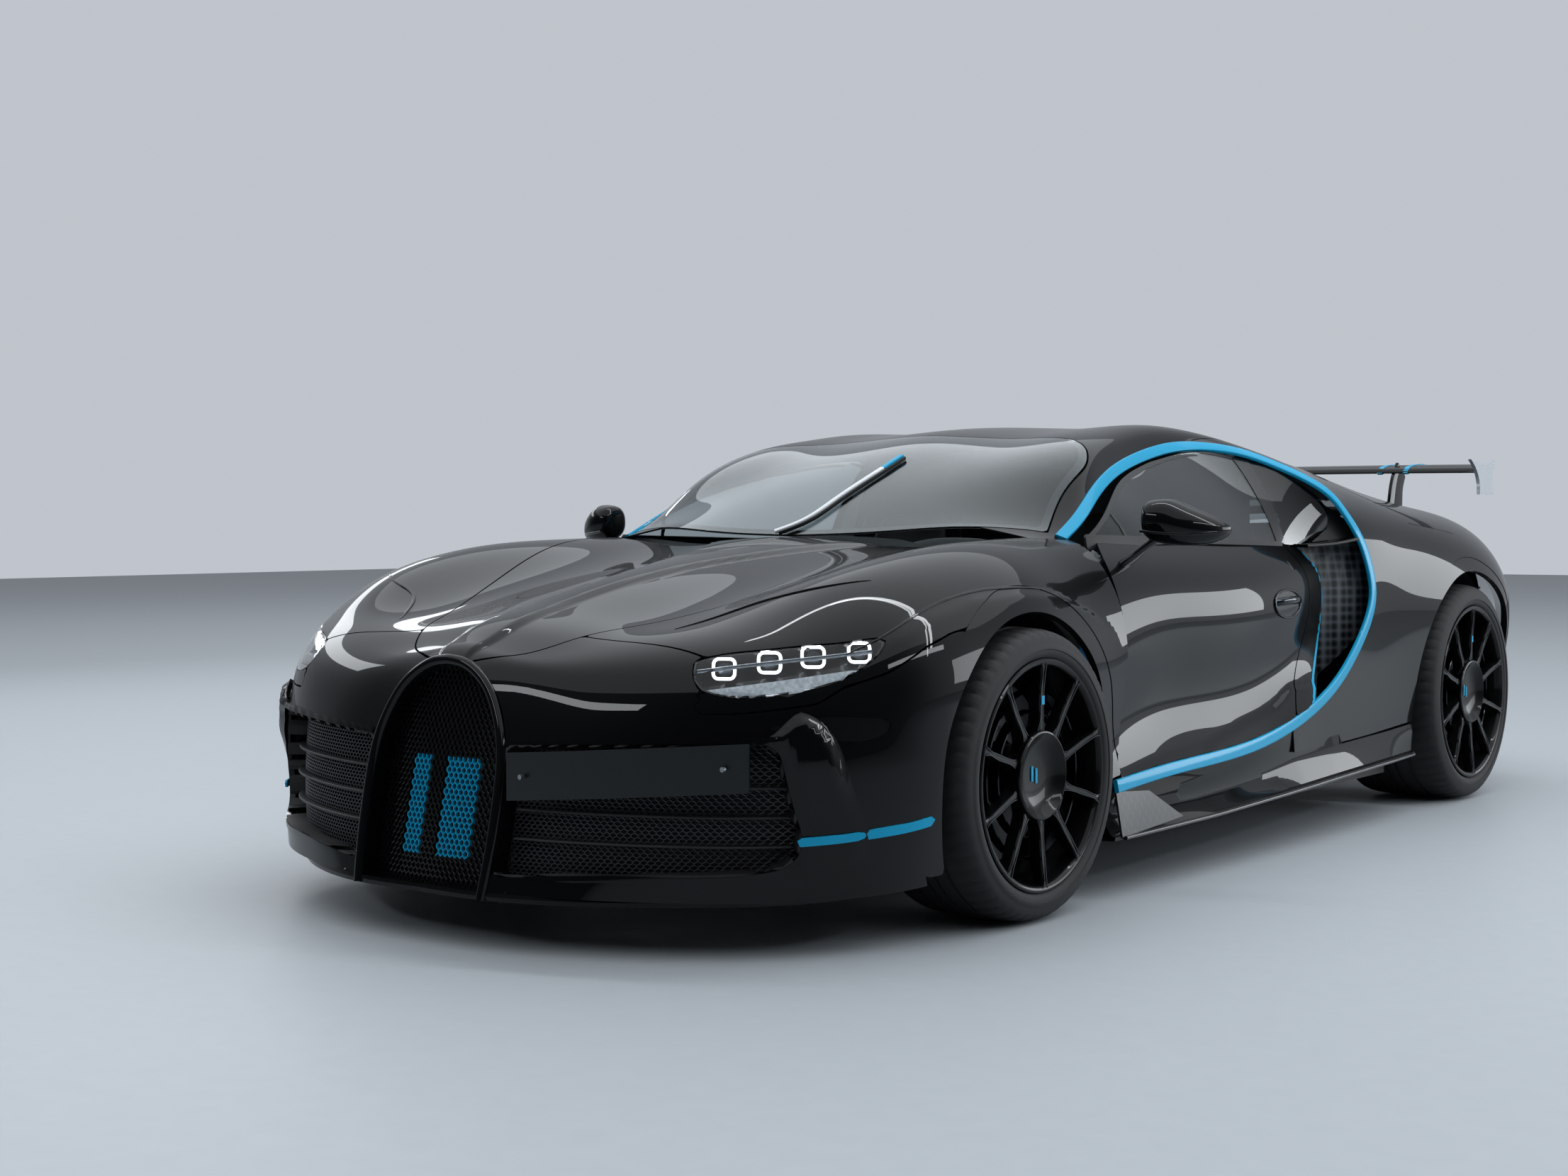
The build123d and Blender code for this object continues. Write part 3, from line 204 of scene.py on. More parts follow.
def closed_distance(outline: Array, u: Array, v: Array) -> Array:
    """Signed distance to a closed outline, above zero inside.

    The size is the least distance to any straight piece of the outline; the sign comes from how many pieces
    a line drawn from the point in the u direction crosses.

    Args:
        outline: corners in order, shape (n, 2).
        u: first coordinate of the points.
        v: second coordinate of the points.

    Returns:
        Distances, in the shape of u.
    """
    a = np.asarray(outline, float)
    b = np.roll(a, -1, axis=0)
    p = np.stack([np.ravel(u), np.ravel(v)], 1)
    best = np.full(len(p), np.inf)
    crossings = np.zeros(len(p), bool)
    for (au, av), (bu, bv) in zip(a, b):
        du, dv = bu - au, bv - av
        size = max(du * du + dv * dv, 1e-18)
        along = np.clip(((p[:, 0] - au) * du + (p[:, 1] - av) * dv) / size, 0, 1)
        best = np.minimum(best, (p[:, 0] - au - along * du) ** 2 + (p[:, 1] - av - along * dv) ** 2)
        if av != bv:
            spans = (av > p[:, 1]) != (bv > p[:, 1])
            crossings ^= spans & (p[:, 0] < au + (p[:, 1] - av) * du / dv)
    return (np.sqrt(best) * np.where(crossings, 1, -1)).reshape(np.shape(u))


def mirrored_outline(points: Array) -> Array:
    """An outline in station, x, closed with its mirror image in x."""
    points = np.asarray(points, float)
    other = points[::-1] * [1, -1]
    return np.concatenate([points, other[np.abs(other[:, 1]) > 1e-9]])


@dataclass
class Patch:
    """A grid of surface points with their unit normals, both of shape (rows, columns, 3), in metres."""

    points: Array
    normals: Array

    @property
    def station(self) -> Array:
        """Distance behind the front axle of each point, millimetres."""
        return self.points[..., 1] / MM - FRONT_AXLE_Y

    @property
    def x(self) -> Array:
        """Distance from the middle plane of each point, millimetres, plus on the left."""
        return self.points[..., 0] / MM

    @property
    def z(self) -> Array:
        """Height of each point, millimetres."""
        return self.points[..., 2] / MM

    def moved(self, out: float) -> "Patch":
        """The same patch moved out along its normals by so many millimetres."""
        return Patch(self.points + self.normals * out * MM, self.normals)


def smoothstep(value: Array) -> Array:
    """Smooth rise from 0 at 0 to 1 at 1, level outside."""
    held = np.clip(value, 0, 1)
    return held * held * (3 - 2 * held)


def embossed(patch: Patch, height: Array) -> Patch:
    """A patch raised along its normals by a height in millimetres at each point, with new normals."""
    points = patch.points + patch.normals * height[..., None] * MM
    return Patch(points, grid_normals(points))


def grid_normals(points: Array) -> Array:
    """Unit normals of a grid: the cross product of its two direction differences."""
    across = np.gradient(points, axis=1)
    along = np.gradient(points, axis=0)
    normal = np.cross(along, across)
    size = np.linalg.norm(normal, axis=-1, keepdims=True)
    return normal / np.maximum(size, 1e-12)


@dataclass(frozen=True)
class Skin:
    """A body surface: cubic splines along the car through each guide, and round each section through them.

    Attributes:
        rows: stations with x, z pairs from the middle or the top edge down to the bottom edge.
        leaning: whether the second column is the section's lean.
        full: whether the surface spans both sides, its middle height being the first value after the lean.
    """

    rows: tuple
    leaning: bool = False
    full: bool = True

    def patch(self, first: float, last: float, step: float, across: float) -> Patch:
        """Works the surface out on a grid.

        Args:
            first: first station, millimetres.
            last: last station, millimetres.
            step: distance between grid rows, measured where the body runs out fastest, millimetres.
            across: distance between grid points round a section, millimetres.

        Returns:
            The grid, its columns running from the left bottom edge over the top to the right one, or from
            the left bottom edge up to the top edge.
        """
        table = np.asarray(self.rows, float)
        fine = np.linspace(first, last, 1500)
        guides = spline(table[:, 0], table[:, 1:], fine)[:, 1 + self.leaning :]
        reach = np.diff(guides[:, : guides.shape[1] // 2 * 2], axis=0).reshape(len(fine) - 1, -1, 2)
        run = np.sqrt(np.diff(fine) ** 2 + (reach**2).sum(-1).max(1))
        length = np.concatenate([[0.0], np.cumsum(run)])
        stations = np.interp(np.linspace(0, length[-1], int(length[-1] / step) + 2), length, fine)
        rows = spline(table[:, 0], table[:, 1:], stations)
        lean = rows[:, 0] if self.leaning else np.zeros(len(stations))
        values = rows[:, 1:] if self.leaning else rows
        if self.full:
            xs = np.concatenate([np.zeros((len(stations), 1)), values[:, 1::2]], 1)
            zs = np.concatenate([values[:, :1], values[:, 2::2]], 1)
            xs = np.concatenate([xs[:, ::-1], -xs[:, 1:]], 1)
            zs = np.concatenate([zs[:, ::-1], zs[:, 1:]], 1)
        else:
            xs, zs = values[:, 0::2][:, ::-1], values[:, 1::2][:, ::-1]
        mean = chord(np.stack([xs.mean(0), zs.mean(0)], 1))
        counts = np.maximum(np.round(np.diff(mean) / across), 2).astype(int)
        t = np.concatenate([k + np.arange(n) / n for k, n in enumerate(counts)] + [[len(counts)]])
        knot = np.concatenate(
            [np.zeros((len(stations), 1)),
             np.cumsum(np.hypot(np.diff(xs, axis=1), np.diff(zs, axis=1)) ** 0.75, axis=1)],
            axis=1,
        )
        section = np.stack([
            spline(k, np.stack([x, z], 1), np.interp(t, np.arange(len(k)), k)) for k, x,
            z in zip(knot, xs, zs)
        ])
        y = stations[:, None] + lean[:, None] * (section[..., 1] - 300.0)
        points = np.stack([section[..., 0], FRONT_AXLE_Y + y, section[..., 1]], -1) * MM
        return Patch(points, grid_normals(points))


# Which corners and edge crossings of a grid cell make the kept face, for each pattern of kept corners.
# Corners go a (i, j), b (i+1, j), c (i+1, j+1), d (i, j+1); 4 to 7 are the crossings on ab, bc, cd, da.
def cell_faces() -> dict[int, tuple[int, ...]]:
    """Face outlines for the fifteen patterns of kept corners: kept corners and crossings, in turn."""
    table = {}
    for pattern in range(1, 16):
        kept = [(pattern >> k) & 1 for k in range(4)]
        face: list[int] = []
        for k in range(4):
            if kept[k]:
                face.append(k)
            if kept[k] != kept[(k + 1) % 4]:
                face.append(4 + k)
        table[pattern] = tuple(face)
    return table


CELL_FACES = cell_faces()


@dataclass
class Sheet:
    """A piece of surface: vertices, their normals, and faces grouped by how many corners they have."""

    vertices: Array
    normals: Array
    faces: list[Array]

    def mirrored(self) -> "Sheet":
        """The sheet on the car's other side, its faces turned over so that they still point out."""
        flip = np.array([-1.0, 1.0, 1.0])
        return Sheet(self.vertices * flip, self.normals * flip, [f[:, ::-1] for f in self.faces])

    def joined(self, other: "Sheet") -> "Sheet":
        """Both sheets in one."""
        shift = len(self.vertices)
        return Sheet(
            np.concatenate([self.vertices, other.vertices]),
            np.concatenate([self.normals, other.normals]),
            self.faces + [f + shift for f in other.faces],
        )


def trim(patch: Patch, keep: Array) -> Sheet:
    """Cuts a grid along the line where the kept distance is zero.

    Each cell keeps the polygon of its kept corners and of the points where its edges cross zero, found by
    straight interpolation, so the cut is as smooth as the distance.

    Args:
        patch: the grid.
        keep: distance of each grid point, above zero where the surface stays.

    Returns:
        The kept sheet.
    """
    rows, columns = keep.shape
    keep = np.where(np.abs(keep) < 1e-6, 1e-6, keep)
    number = np.arange(rows * columns).reshape(rows, columns)
    points = patch.points.reshape(-1, 3)
    normals = patch.normals.reshape(-1, 3)
    value = keep.ravel()

    def crossing(one: Array, two: Array) -> tuple[Array, Array]:
        """Points and normals where the edges between two sets of grid points cross zero."""
        with np.errstate(divide="ignore", invalid="ignore"):
            share = value[one] / (value[one] - value[two])
        share = np.clip(np.nan_to_num(share), 0.0, 1.0)[:, None]
        between = [values[one] + share * (values[two] - values[one]) for values in (points, normals)]
        return between[0], between[1]

    down_a, down_b = number[:-1, :].ravel(), number[1:, :].ravel()
    over_a, over_b = number[:, :-1].ravel(), number[:, 1:].ravel()
    p1, n1 = crossing(down_a, down_b)
    p2, n2 = crossing(over_a, over_b)
    all_points = np.concatenate([points, p1, p2])
    all_normals = np.concatenate([normals, n1, n2])
    down = rows * columns + np.arange((rows - 1) * columns).reshape(rows - 1, columns)
    over = rows * columns + len(down_a) + np.arange(rows * (columns - 1)).reshape(rows, columns - 1)
    slots = np.stack([
        number[:-1, :-1], number[1:, :-1], number[1:, 1:], number[:-1, 1:],
        down[:, :-1], over[1:, :], down[:, 1:], over[:-1, :],
    ], -1).reshape(-1, 8)
    inside = keep > 0
    pattern = (
        inside[:-1, :-1] * 1 + inside[1:, :-1] * 2 + inside[1:, 1:] * 4 + inside[:-1, 1:] * 8
    ).ravel()
    faces = [slots[pattern == k][:, list(face)] for k, face in CELL_FACES.items() if (pattern == k).any()]
    used = np.unique(np.concatenate([f.ravel() for f in faces]))
    renumber = np.zeros(len(all_points), int)
    renumber[used] = np.arange(len(used))
    sheet_normals = all_normals[used]
    sheet_normals /= np.maximum(np.linalg.norm(sheet_normals, axis=1, keepdims=True), 1e-12)
    sheet = Sheet(all_points[used], sheet_normals, [renumber[f] for f in faces])
    biggest = max(sheet.faces, key=len)
    corner = sheet.vertices[biggest[:, :3]]
    facing = np.cross(corner[:, 1] - corner[:, 0], corner[:, 2] - corner[:, 0])
    if (facing * sheet.normals[biggest[:, 0]]).sum() < 0:
        sheet.faces = [f[:, ::-1] for f in sheet.faces]
    return sheet


def rim_edges(faces: list[Array]) -> Array:
    """Directed edges that only one face has, in the direction in which that face runs."""
    edges = np.concatenate([np.stack([f, np.roll(f, -1, axis=1)], -1).reshape(-1, 2) for f in faces])
    edges = edges[edges[:, 0] != edges[:, 1]]
    low, high = edges.min(1), edges.max(1)
    key = low.astype(np.int64) * (int(edges.max()) + 1) + high
    _, index, counts = np.unique(key, return_index=True, return_counts=True)
    return edges[index[counts == 1]]


def thickened(sheet: Sheet, depth: float) -> tuple[Sheet, Array]:
    """A closed panel: the sheet, the same sheet moved in along its normals, and a rim between them.

    Args:
        sheet: outer surface.
        depth: thickness, millimetres.

    Returns:
        The closed panel, and for each of its faces whether it belongs to the rim.
    """
    count = len(sheet.vertices)
    inner = sheet.vertices - sheet.normals * depth * MM
    edges = rim_edges(sheet.faces)
    rim = np.stack([edges[:, 1], edges[:, 0], edges[:, 0] + count, edges[:, 1] + count], 1)
    back = [f[:, ::-1] + count for f in sheet.faces]
    panel = Sheet(
        np.concatenate([sheet.vertices, inner]),
        np.concatenate([sheet.normals, -sheet.normals]),
        sheet.faces + back + [rim],
    )
    flags = np.concatenate([np.zeros(2 * sum(len(f) for f in sheet.faces), bool), np.ones(len(rim), bool)])
    return panel, flags


def linear(colour: str, alpha: float = 1.0) -> tuple[float, float, float, float]:
    """Turns an sRGB hex colour, such as "1E9FDD", into the linear values that shaders take."""
    parts = [int(colour[k : k + 2], 16) / 255 for k in (0, 2, 4)]
    values = [c / 12.92 if c <= 0.04045 else ((c + 0.055) / 1.055) ** 2.4 for c in parts]
    return values[0], values[1], values[2], alpha


def add_node(tree: bpy.types.NodeTree, kind: str, links: Optional[dict] = None,
             **settings: object) -> bpy.types.Node:
    """Adds a shader node.

    Args:
        tree: the material's node tree.
        kind: the node's type, such as "ShaderNodeTexNoise".
        links: input name or number to the output that feeds it.
        settings: node properties by name, or input values as a dict under "values".

    Returns:
        The node.
    """
    node = tree.nodes.new(kind)
    values = settings.pop("values", {})
    for name, value in settings.items():
        setattr(node, name, value)
    for name, value in values.items():
        node.inputs[name].default_value = value
    for name, output in (links or {}).items():
        tree.links.new(output, node.inputs[name])
    return node


class Pattern(Enum):
    """What the eye sees close up on a finish."""

    PLAIN = "plain"
    FLAKE = "flake"
    TWILL = "twill"
    GRAIN = "grain"
    BRUSHED = "brushed"
    CAST = "cast"
    HOLES = "holes"


@dataclass(frozen=True)
class Finish:
    """A surface finish: what it is made of and how it was worked.

    Attributes:
        name: the material's name.
        colour: sRGB hex of the base.
        second: sRGB hex that the pattern mixes in, or the same colour.
        metallic: 1 for bare metal, 0 otherwise.
        roughness: of the base layer.
        coat: weight of the clear coat.
        coat_roughness: how soft the clear coat's gloss is.
        pattern: what shows close up.
        pitch_mm: size of the pattern's repeat.
        bump_mm: height of the pattern.
        transmission: 1 for clear glass or plastic.
        ior: index of refraction.
        glow: strength of the light that it gives off.
        sheen: weight of fibre sheen.
        specular: how strongly the base layer itself mirrors, 0.5 being usual.
    """

    name: str
    colour: str
    second: str = ""
    metallic: float = 0.0
    roughness: float = 0.4
    coat: float = 0.0
    coat_roughness: float = 0.03
    pattern: Pattern = Pattern.PLAIN
    pitch_mm: float = 4.0
    bump_mm: float = 0.0
    transmission: float = 0.0
    ior: float = 1.5
    glow: float = 0.0
    sheen: float = 0.0
    specular: float = 0.5

    def pattern_value(self, tree: bpy.types.NodeTree) -> bpy.types.NodeSocket:
        """Builds the pattern's height from object coordinates.

        Args:
            tree: the material's node tree.

        Returns:
            The socket with the height, 0 to 1.
        """
        place = add_node(tree, "ShaderNodeTexCoord").outputs["Object"]
        scale = 1000.0 / self.pitch_mm
        if self.pattern is Pattern.TWILL:
            waves = [
                add_node(
                    tree, "ShaderNodeTexWave", {"Vector": place}, wave_type="BANDS",
                    bands_direction=direction,
                    wave_profile="SIN", values={"Scale": scale / 6.283, "Distortion": 0.0},
                ).outputs["Fac"]
                for direction in ("DIAGONAL", "Y")
            ]
            return add_node(tree, "ShaderNodeMath", {0: waves[0], 1: waves[1]},
                            operation="MULTIPLY").outputs[0]
        if self.pattern is Pattern.BRUSHED:
            stretched = add_node(
                tree, "ShaderNodeMapping", {"Vector": place}, values={"Scale": (1.0, 0.04, 1.0)}
            ).outputs[0]
            return add_node(
                tree, "ShaderNodeTexNoise", {"Vector": stretched}, values={"Scale": scale, "Detail": 3.0}
            ).outputs["Fac"]
        if self.pattern is Pattern.HOLES:
            return add_node(
                tree, "ShaderNodeTexVoronoi", {"Vector": place}, feature="F1",
                values={"Scale": scale, "Randomness": 0.0}
            ).outputs["Distance"]
        if self.pattern is Pattern.GRAIN:
            return add_node(
                tree, "ShaderNodeTexVoronoi", {"Vector": place}, feature="DISTANCE_TO_EDGE",
                values={"Scale": scale}
            ).outputs["Distance"]
        detail = 2.0 if self.pattern is Pattern.FLAKE else 6.0
        return add_node(
            tree, "ShaderNodeTexNoise", {"Vector": place}, values={"Scale": scale, "Detail": detail}
        ).outputs["Fac"]

    def material(self) -> bpy.types.Material:
        """The finish as a Blender material, made once and shared."""
        found = bpy.data.materials.get(self.name)
        if found:
            return found
        made = bpy.data.materials.new(self.name)
        made.use_nodes = True
        tree = made.node_tree
        shader = tree.nodes["Principled BSDF"]
        values = {
            "Base Color": linear(self.colour), "Metallic": self.metallic, "Roughness": self.roughness,
            "Coat Weight": self.coat, "Coat Roughness": self.coat_roughness, "IOR": self.ior,
            "Transmission Weight": self.transmission, "Sheen Weight": self.sheen,
            "Specular IOR Level": self.specular,
        }
        if self.glow:
            values |= {"Emission Color": linear(self.colour), "Emission Strength": self.glow}
        for name, value in values.items():
            shader.inputs[name].default_value = value
        if self.pattern is not Pattern.PLAIN:
            height = self.pattern_value(tree)
            if self.second:
                ramp = add_node(tree, "ShaderNodeValToRGB", {"Fac": height})
                ramp.color_ramp.elements[0].color = linear(self.colour)
                ramp.color_ramp.elements[1].color = linear(self.second)
                ramp.color_ramp.elements[0].position = 0.3
                ramp.color_ramp.elements[1].position = 0.75
                tree.links.new(ramp.outputs["Color"], shader.inputs["Base Color"])
            if self.bump_mm:
                bump = add_node(
                    tree, "ShaderNodeBump", {"Height": height},
                    values={"Strength": 1.0, "Distance": self.bump_mm * MM},
                )
                tree.links.new(bump.outputs["Normal"], shader.inputs["Normal"])
        made.diffuse_color = linear(self.colour)
        return made


# Two-layer car paint: near-black base with fine flake under a clear lacquer, so it mirrors the room.
PAINT = Finish("black_lacquer", "030405", "07090B", roughness=0.4, coat=0.5, coat_roughness=0.01,
               pattern=Pattern.FLAKE, pitch_mm=1.2, specular=0.03)
# Light-blue lacquer on aluminium trim, softer in gloss than the body.
BLUE = Finish("blue_lacquer", "0A92BC", "0C9ECA", roughness=0.35, coat=0.25, coat_roughness=0.06,
              pattern=Pattern.FLAKE, pitch_mm=1.2, specular=0.1)
# Twill-woven carbon fibre under a satin resin: dark threads that catch light in turn.
CARBON = Finish("satin_carbon", "0D0E10", "202327", roughness=0.3, coat=0.5, coat_roughness=0.2,
                pattern=Pattern.TWILL, pitch_mm=8.0, bump_mm=0.05)
# Moulded black ABS with a fine spark-eroded grain, which dulls it.
ABS = Finish("black_abs", "0C0D0E", "141517", roughness=0.55, pattern=Pattern.CAST, pitch_mm=1.5,
             bump_mm=0.03)
# Gloss-black moulded plastic, slightly softer than the paint.
GLOSS_ABS = Finish("gloss_black_abs", "060708", "0B0C0E", roughness=0.3, coat=0.7, coat_roughness=0.04,
                   pattern=Pattern.CAST, pitch_mm=3.0, specular=0.1)
# Tinted laminated glass: clear, faintly grey-green.
GLASS = Finish("tinted_glass", "B9C4C6", roughness=0.0, transmission=1.0, ior=1.45)
# Dark privacy glass behind the doors.
DARK_GLASS = Finish("dark_glass", "4A5052", roughness=0.0, transmission=1.0, ior=1.45)
# Clear polycarbonate lamp cover.
LENS = Finish("lamp_cover", "F2F5F6", roughness=0.0, transmission=1.0, ior=1.3)
# Lit white LED light guide.
LED = Finish("white_light_guide", "F4F8FF", roughness=0.4, glow=3.2)
# Red light guide, unlit but bright.
RED = Finish("red_light_guide", "B01018", "8E0A12", roughness=0.25, coat=1.0, pattern=Pattern.CAST,
             pitch_mm=5.0, glow=0.25)
# Vapour-metallised reflector inside the lamps.
REFLECTOR = Finish("metallised_reflector", "B9BEC4", "8F959C", metallic=1.0, roughness=0.18,
                   pattern=Pattern.CAST, pitch_mm=9.0)
# Gloss-black painted forged aluminium, for the wheels.
WHEEL_BLACK = Finish("gloss_black_forging", "040506", "08090A", roughness=0.35, coat=0.28,
                     coat_roughness=0.03, pattern=Pattern.CAST, pitch_mm=3.0, specular=0.1)
# Cured tyre rubber: near-black, dull, with the faint grain of its mould.
RUBBER = Finish("tyre_rubber", "0E0F11", "17181B", roughness=0.72, pattern=Pattern.CAST, pitch_mm=2.5,
                bump_mm=0.08)
# Carbon-ceramic disc: grey, matt, speckled.
CERAMIC = Finish("ceramic_disc", "3A3C3E", "55585B", roughness=0.5, metallic=0.3, pattern=Pattern.CAST,
                 pitch_mm=2.5, bump_mm=0.03)
# Die-cast aluminium, shot-blasted.
CASTING = Finish("blasted_casting", "6F7377", "83878B", metallic=1.0, roughness=0.5, pattern=Pattern.CAST,
                 pitch_mm=1.4, bump_mm=0.05)
# Anthracite moulded plastic of the bumper meshes.
STONE = Finish("anthracite_abs", "26282B", "303338", roughness=0.4, pattern=Pattern.CAST, pitch_mm=2.0,
               bump_mm=0.02)
# Punched sheet behind the doors: dark grey of its own, made paler as painted light for the duct's deep shade,
# with painted shade in the holes as dark dots in shallow dimples.
PUNCHED_SHEET_PAINTED_LIGHT = Finish("punched_sheet_painted_light", "08090A", "5A6066", roughness=0.4, pattern=Pattern.HOLES, pitch_mm=26.0,
                    bump_mm=0.6)
# Matt dark green-black acrylic of the blank plate.
PLATE = Finish("dark_acrylic", "070B0D", "0A1012", roughness=0.35, pattern=Pattern.CAST, pitch_mm=6.0)
# Extruded aluminium, brushed along its length.
BRUSHED = Finish("brushed_aluminium", "8A8E93", "A4A8AD", metallic=1.0, roughness=0.32,
                 pattern=Pattern.BRUSHED, pitch_mm=1.2, bump_mm=0.02)
# Satin silver-grey lacquer of the wing's end plates.
SATIN = Finish("satin_silver", "8E959C", "989FA6", roughness=0.4, coat=0.6, coat_roughness=0.1,
               pattern=Pattern.CAST, pitch_mm=4.0)
# Pale satin lacquer of the wiper, partly painted reflection: its near-white colour stands in for the white
# reflection along the arm.
PALE_PAINTED_REFLECTION = Finish("pale_lacquer_painted_reflection", "D2D6DA", "DADDE0", roughness=0.35, coat=0.5, coat_roughness=0.1,
              pattern=Pattern.CAST, pitch_mm=4.0)
# Black chrome of the door handles, the spokes' edges and the arcs between them.
BLACK_CHROME = Finish("black_chrome", "34373A", "3B3E42", metallic=1.0, roughness=0.12, pattern=Pattern.CAST,
                      pitch_mm=6.0)
# Titanium pipe, brushed and browned by heat.
TITANIUM = Finish("brushed_titanium", "6C6259", "8B8177", metallic=1.0, roughness=0.28,
                  pattern=Pattern.BRUSHED, pitch_mm=1.2, bump_mm=0.02)
# Black nappa leather, fine natural grain.
LEATHER = Finish("black_leather", "1B1C20", "26272C", roughness=0.5, pattern=Pattern.GRAIN, pitch_mm=3.2,
                 bump_mm=0.12, sheen=0.05)
# Blue stitched leather inserts.
BLUE_LEATHER = Finish("blue_leather", "1584C4", "1C92D4", roughness=0.5, pattern=Pattern.GRAIN, pitch_mm=3.2,
                      bump_mm=0.12, sheen=0.05)
# Suede-like microfibre on the dashboard: dull, with a soft sheen.
MICROFIBRE = Finish("dark_microfibre", "1A1B1E", "232428", roughness=0.9, pattern=Pattern.CAST, pitch_mm=1.8,
                    bump_mm=0.05, sheen=0.4)


# ------------------------------------------------------------------ making pieces
def make_object(name: str, sheet: Sheet, finish: Finish, flat: Optional[Array] = None) -> bpy.types.Object:
    """Puts a sheet into a Blender mesh with its own worked-out normals.

    Args:
        name: the piece's name.
        sheet: vertices, normals and faces.
        finish: its material.
        flat: for each face, whether it is shaded flat, in the order of the sheet's groups.

    Returns:
        The object, at the origin.
    """
    mesh = bpy.data.meshes.new(name)
    sizes = np.concatenate([np.full(len(f), f.shape[1]) for f in sheet.faces])
    loops = np.concatenate([f.ravel() for f in sheet.faces])
    mesh.vertices.add(len(sheet.vertices))
    mesh.vertices.foreach_set("co", sheet.vertices.astype(np.float32).ravel())
    mesh.loops.add(len(loops))
    mesh.loops.foreach_set("vertex_index", loops.astype(np.int32))
    mesh.polygons.add(len(sizes))
    starts = np.concatenate([[0], np.cumsum(sizes)[:-1]])
    mesh.polygons.foreach_set("loop_start", starts.astype(np.int32))
    mesh.polygons.foreach_set("use_smooth", ~flat if flat is not None else np.ones(len(sizes), bool))
    mesh.update(calc_edges=True)
    corner = sheet.normals[loops].copy()
    if flat is not None:
        corner[np.repeat(flat, sizes)] = 0.0
    mesh.normals_split_custom_set(corner.astype(np.float32))
    mesh.materials.append(finish.material())
    piece = bpy.data.objects.new(name, mesh)
    bpy.context.scene.collection.objects.link(piece)
    return piece


def place(piece: bpy.types.Object, body: str, slot: str, *nodes: str) -> bpy.types.Object:
    """Attaches a finished piece to the body that it rides on, hides the CAD nodes that it stands for and logs
    it.
    """
    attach(piece, body)
    if nodes:
        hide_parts(*nodes)
    log.info("%s: %d faces on %s", piece.name, len(piece.data.polygons), body)
    return piece


def panel(name: str, sheet: Sheet, depth: float, finish: Finish, body: str, slot: str,
          *nodes: str) -> bpy.types.Object:
    closed, rim = thickened(sheet, depth)
    return place(make_object(name, closed, finish, rim), body, slot, *nodes)


def grid_faces(rows: int, columns: int, wrap_rows: bool = False, wrap_columns: bool = False) -> Array:
    """Quads of a grid of vertices numbered row by row, closed round in either direction if asked."""
    i = np.arange(rows if wrap_rows else rows - 1)[:, None]
    j = np.arange(columns if wrap_columns else columns - 1)[None, :]
    a = i * columns + j
    b = ((i + 1) % rows) * columns + j
    c = ((i + 1) % rows) * columns + (j + 1) % columns
    d = i * columns + (j + 1) % columns
    return np.stack([a, b, c, d], -1).reshape(-1, 4)


def grid_object(
    name: str, points: Array, finish: Finish, wrap_rows: bool = False, wrap_columns: bool = False,
    caps: bool = False, smooth: bool = True,
) -> bpy.types.Object:
    """Makes a mesh from a grid of points, in metres.

    Args:
        name: the piece's name.
        points: shape (rows, columns, 3).
        finish: its material.
        wrap_rows: joins the last row to the first.
        wrap_columns: joins the last column to the first.
        caps: closes the first and the last row with one face each.
        smooth: shades it smooth, with sharp edges where faces meet at over 35 degrees.

    Returns:
        The object, with its faces turned outwards.
    """
    rows, columns = points.shape[:2]
    faces = [tuple(f) for f in grid_faces(rows, columns, wrap_rows, wrap_columns).tolist()]
    if caps:
        faces += [tuple(range(columns)), tuple(range(columns * rows - 1, columns * (rows - 1) - 1, -1))]
    mesh = bpy.data.meshes.new(name)
    mesh.from_pydata(points.reshape(-1, 3).tolist(), [], faces)
    return finished_object(name, mesh, finish, smooth)


def finished_object(name: str, mesh: bpy.types.Mesh, finish: Finish, smooth: bool = True) -> bpy.types.Object:
    """Merges a mesh's doubles, turns its faces outwards, shades it and gives it its material."""
    work = bmesh.new()
    work.from_mesh(mesh)
    bmesh.ops.remove_doubles(work, verts=work.verts, dist=1e-6)
    bmesh.ops.recalc_face_normals(work, faces=work.faces)
    work.to_mesh(mesh)
    work.free()
    mesh.polygons.foreach_set("use_smooth", np.full(len(mesh.polygons), smooth))
    if smooth:
        mesh.set_sharp_from_angle(angle=math.radians(35))
    mesh.materials.append(finish.material())
    piece = bpy.data.objects.new(name, mesh)
    bpy.context.scene.collection.objects.link(piece)
    return piece


# ------------------------------------------------------------------ shared body geometry
LINE_HALF = 12.5
BONNET_END = ((392, 705), (355, 380), (318, 0))
# Front view outlines of the left side. Columns: x, z.
LAMP = ((603, 627), (645, 640), (710, 649), (800, 660), (870, 669), (903, 669), (908, 652), (897, 619),
        (872, 590),
        (818, 567), (741, 556), (672, 560), (630, 580))
OPENING = ((226, 440), (340, 446), (500, 452), (640, 456), (740, 458), (790, 450), (806, 411), (826, 316),
           (832, 235),
           (815, 205), (776, 190), (559, 180), (234, 160))
HORSESHOE = ((0, 622), (44, 617), (84, 604), (120, 583), (152, 553), (180, 512), (200, 468), (214, 420),
             (220, 360),
             (221, 290), (219, 210), (208, 122))
BUMPER_SPLIT = ((-760, 520), (-640, 540), (-590, 572), (-498, 601), (-401, 651), (-318, 678), (-245, 690),
                (-100, 700))
# The bonnet's raised band. Columns: station, half width.
SPINE_EDGE = ((-905, 52), (-830, 66), (-520, 57), (-300, 72), (-108, 100), (40, 148), (180, 216), (340, 320))
# Crease over the front wheel in side view. Columns: station, z.
WING_CREASE = ((-620, 640), (-483, 674), (-354, 727), (-196, 762), (-20, 772), (160, 760), (330, 712),
               (470, 640))
LIP = 60.0


def line_curve(count: int = 420) -> Array:
    """Points of the side line's middle: station, x, z in millimetres."""
    return smooth_path(SIDE_LINE, count)


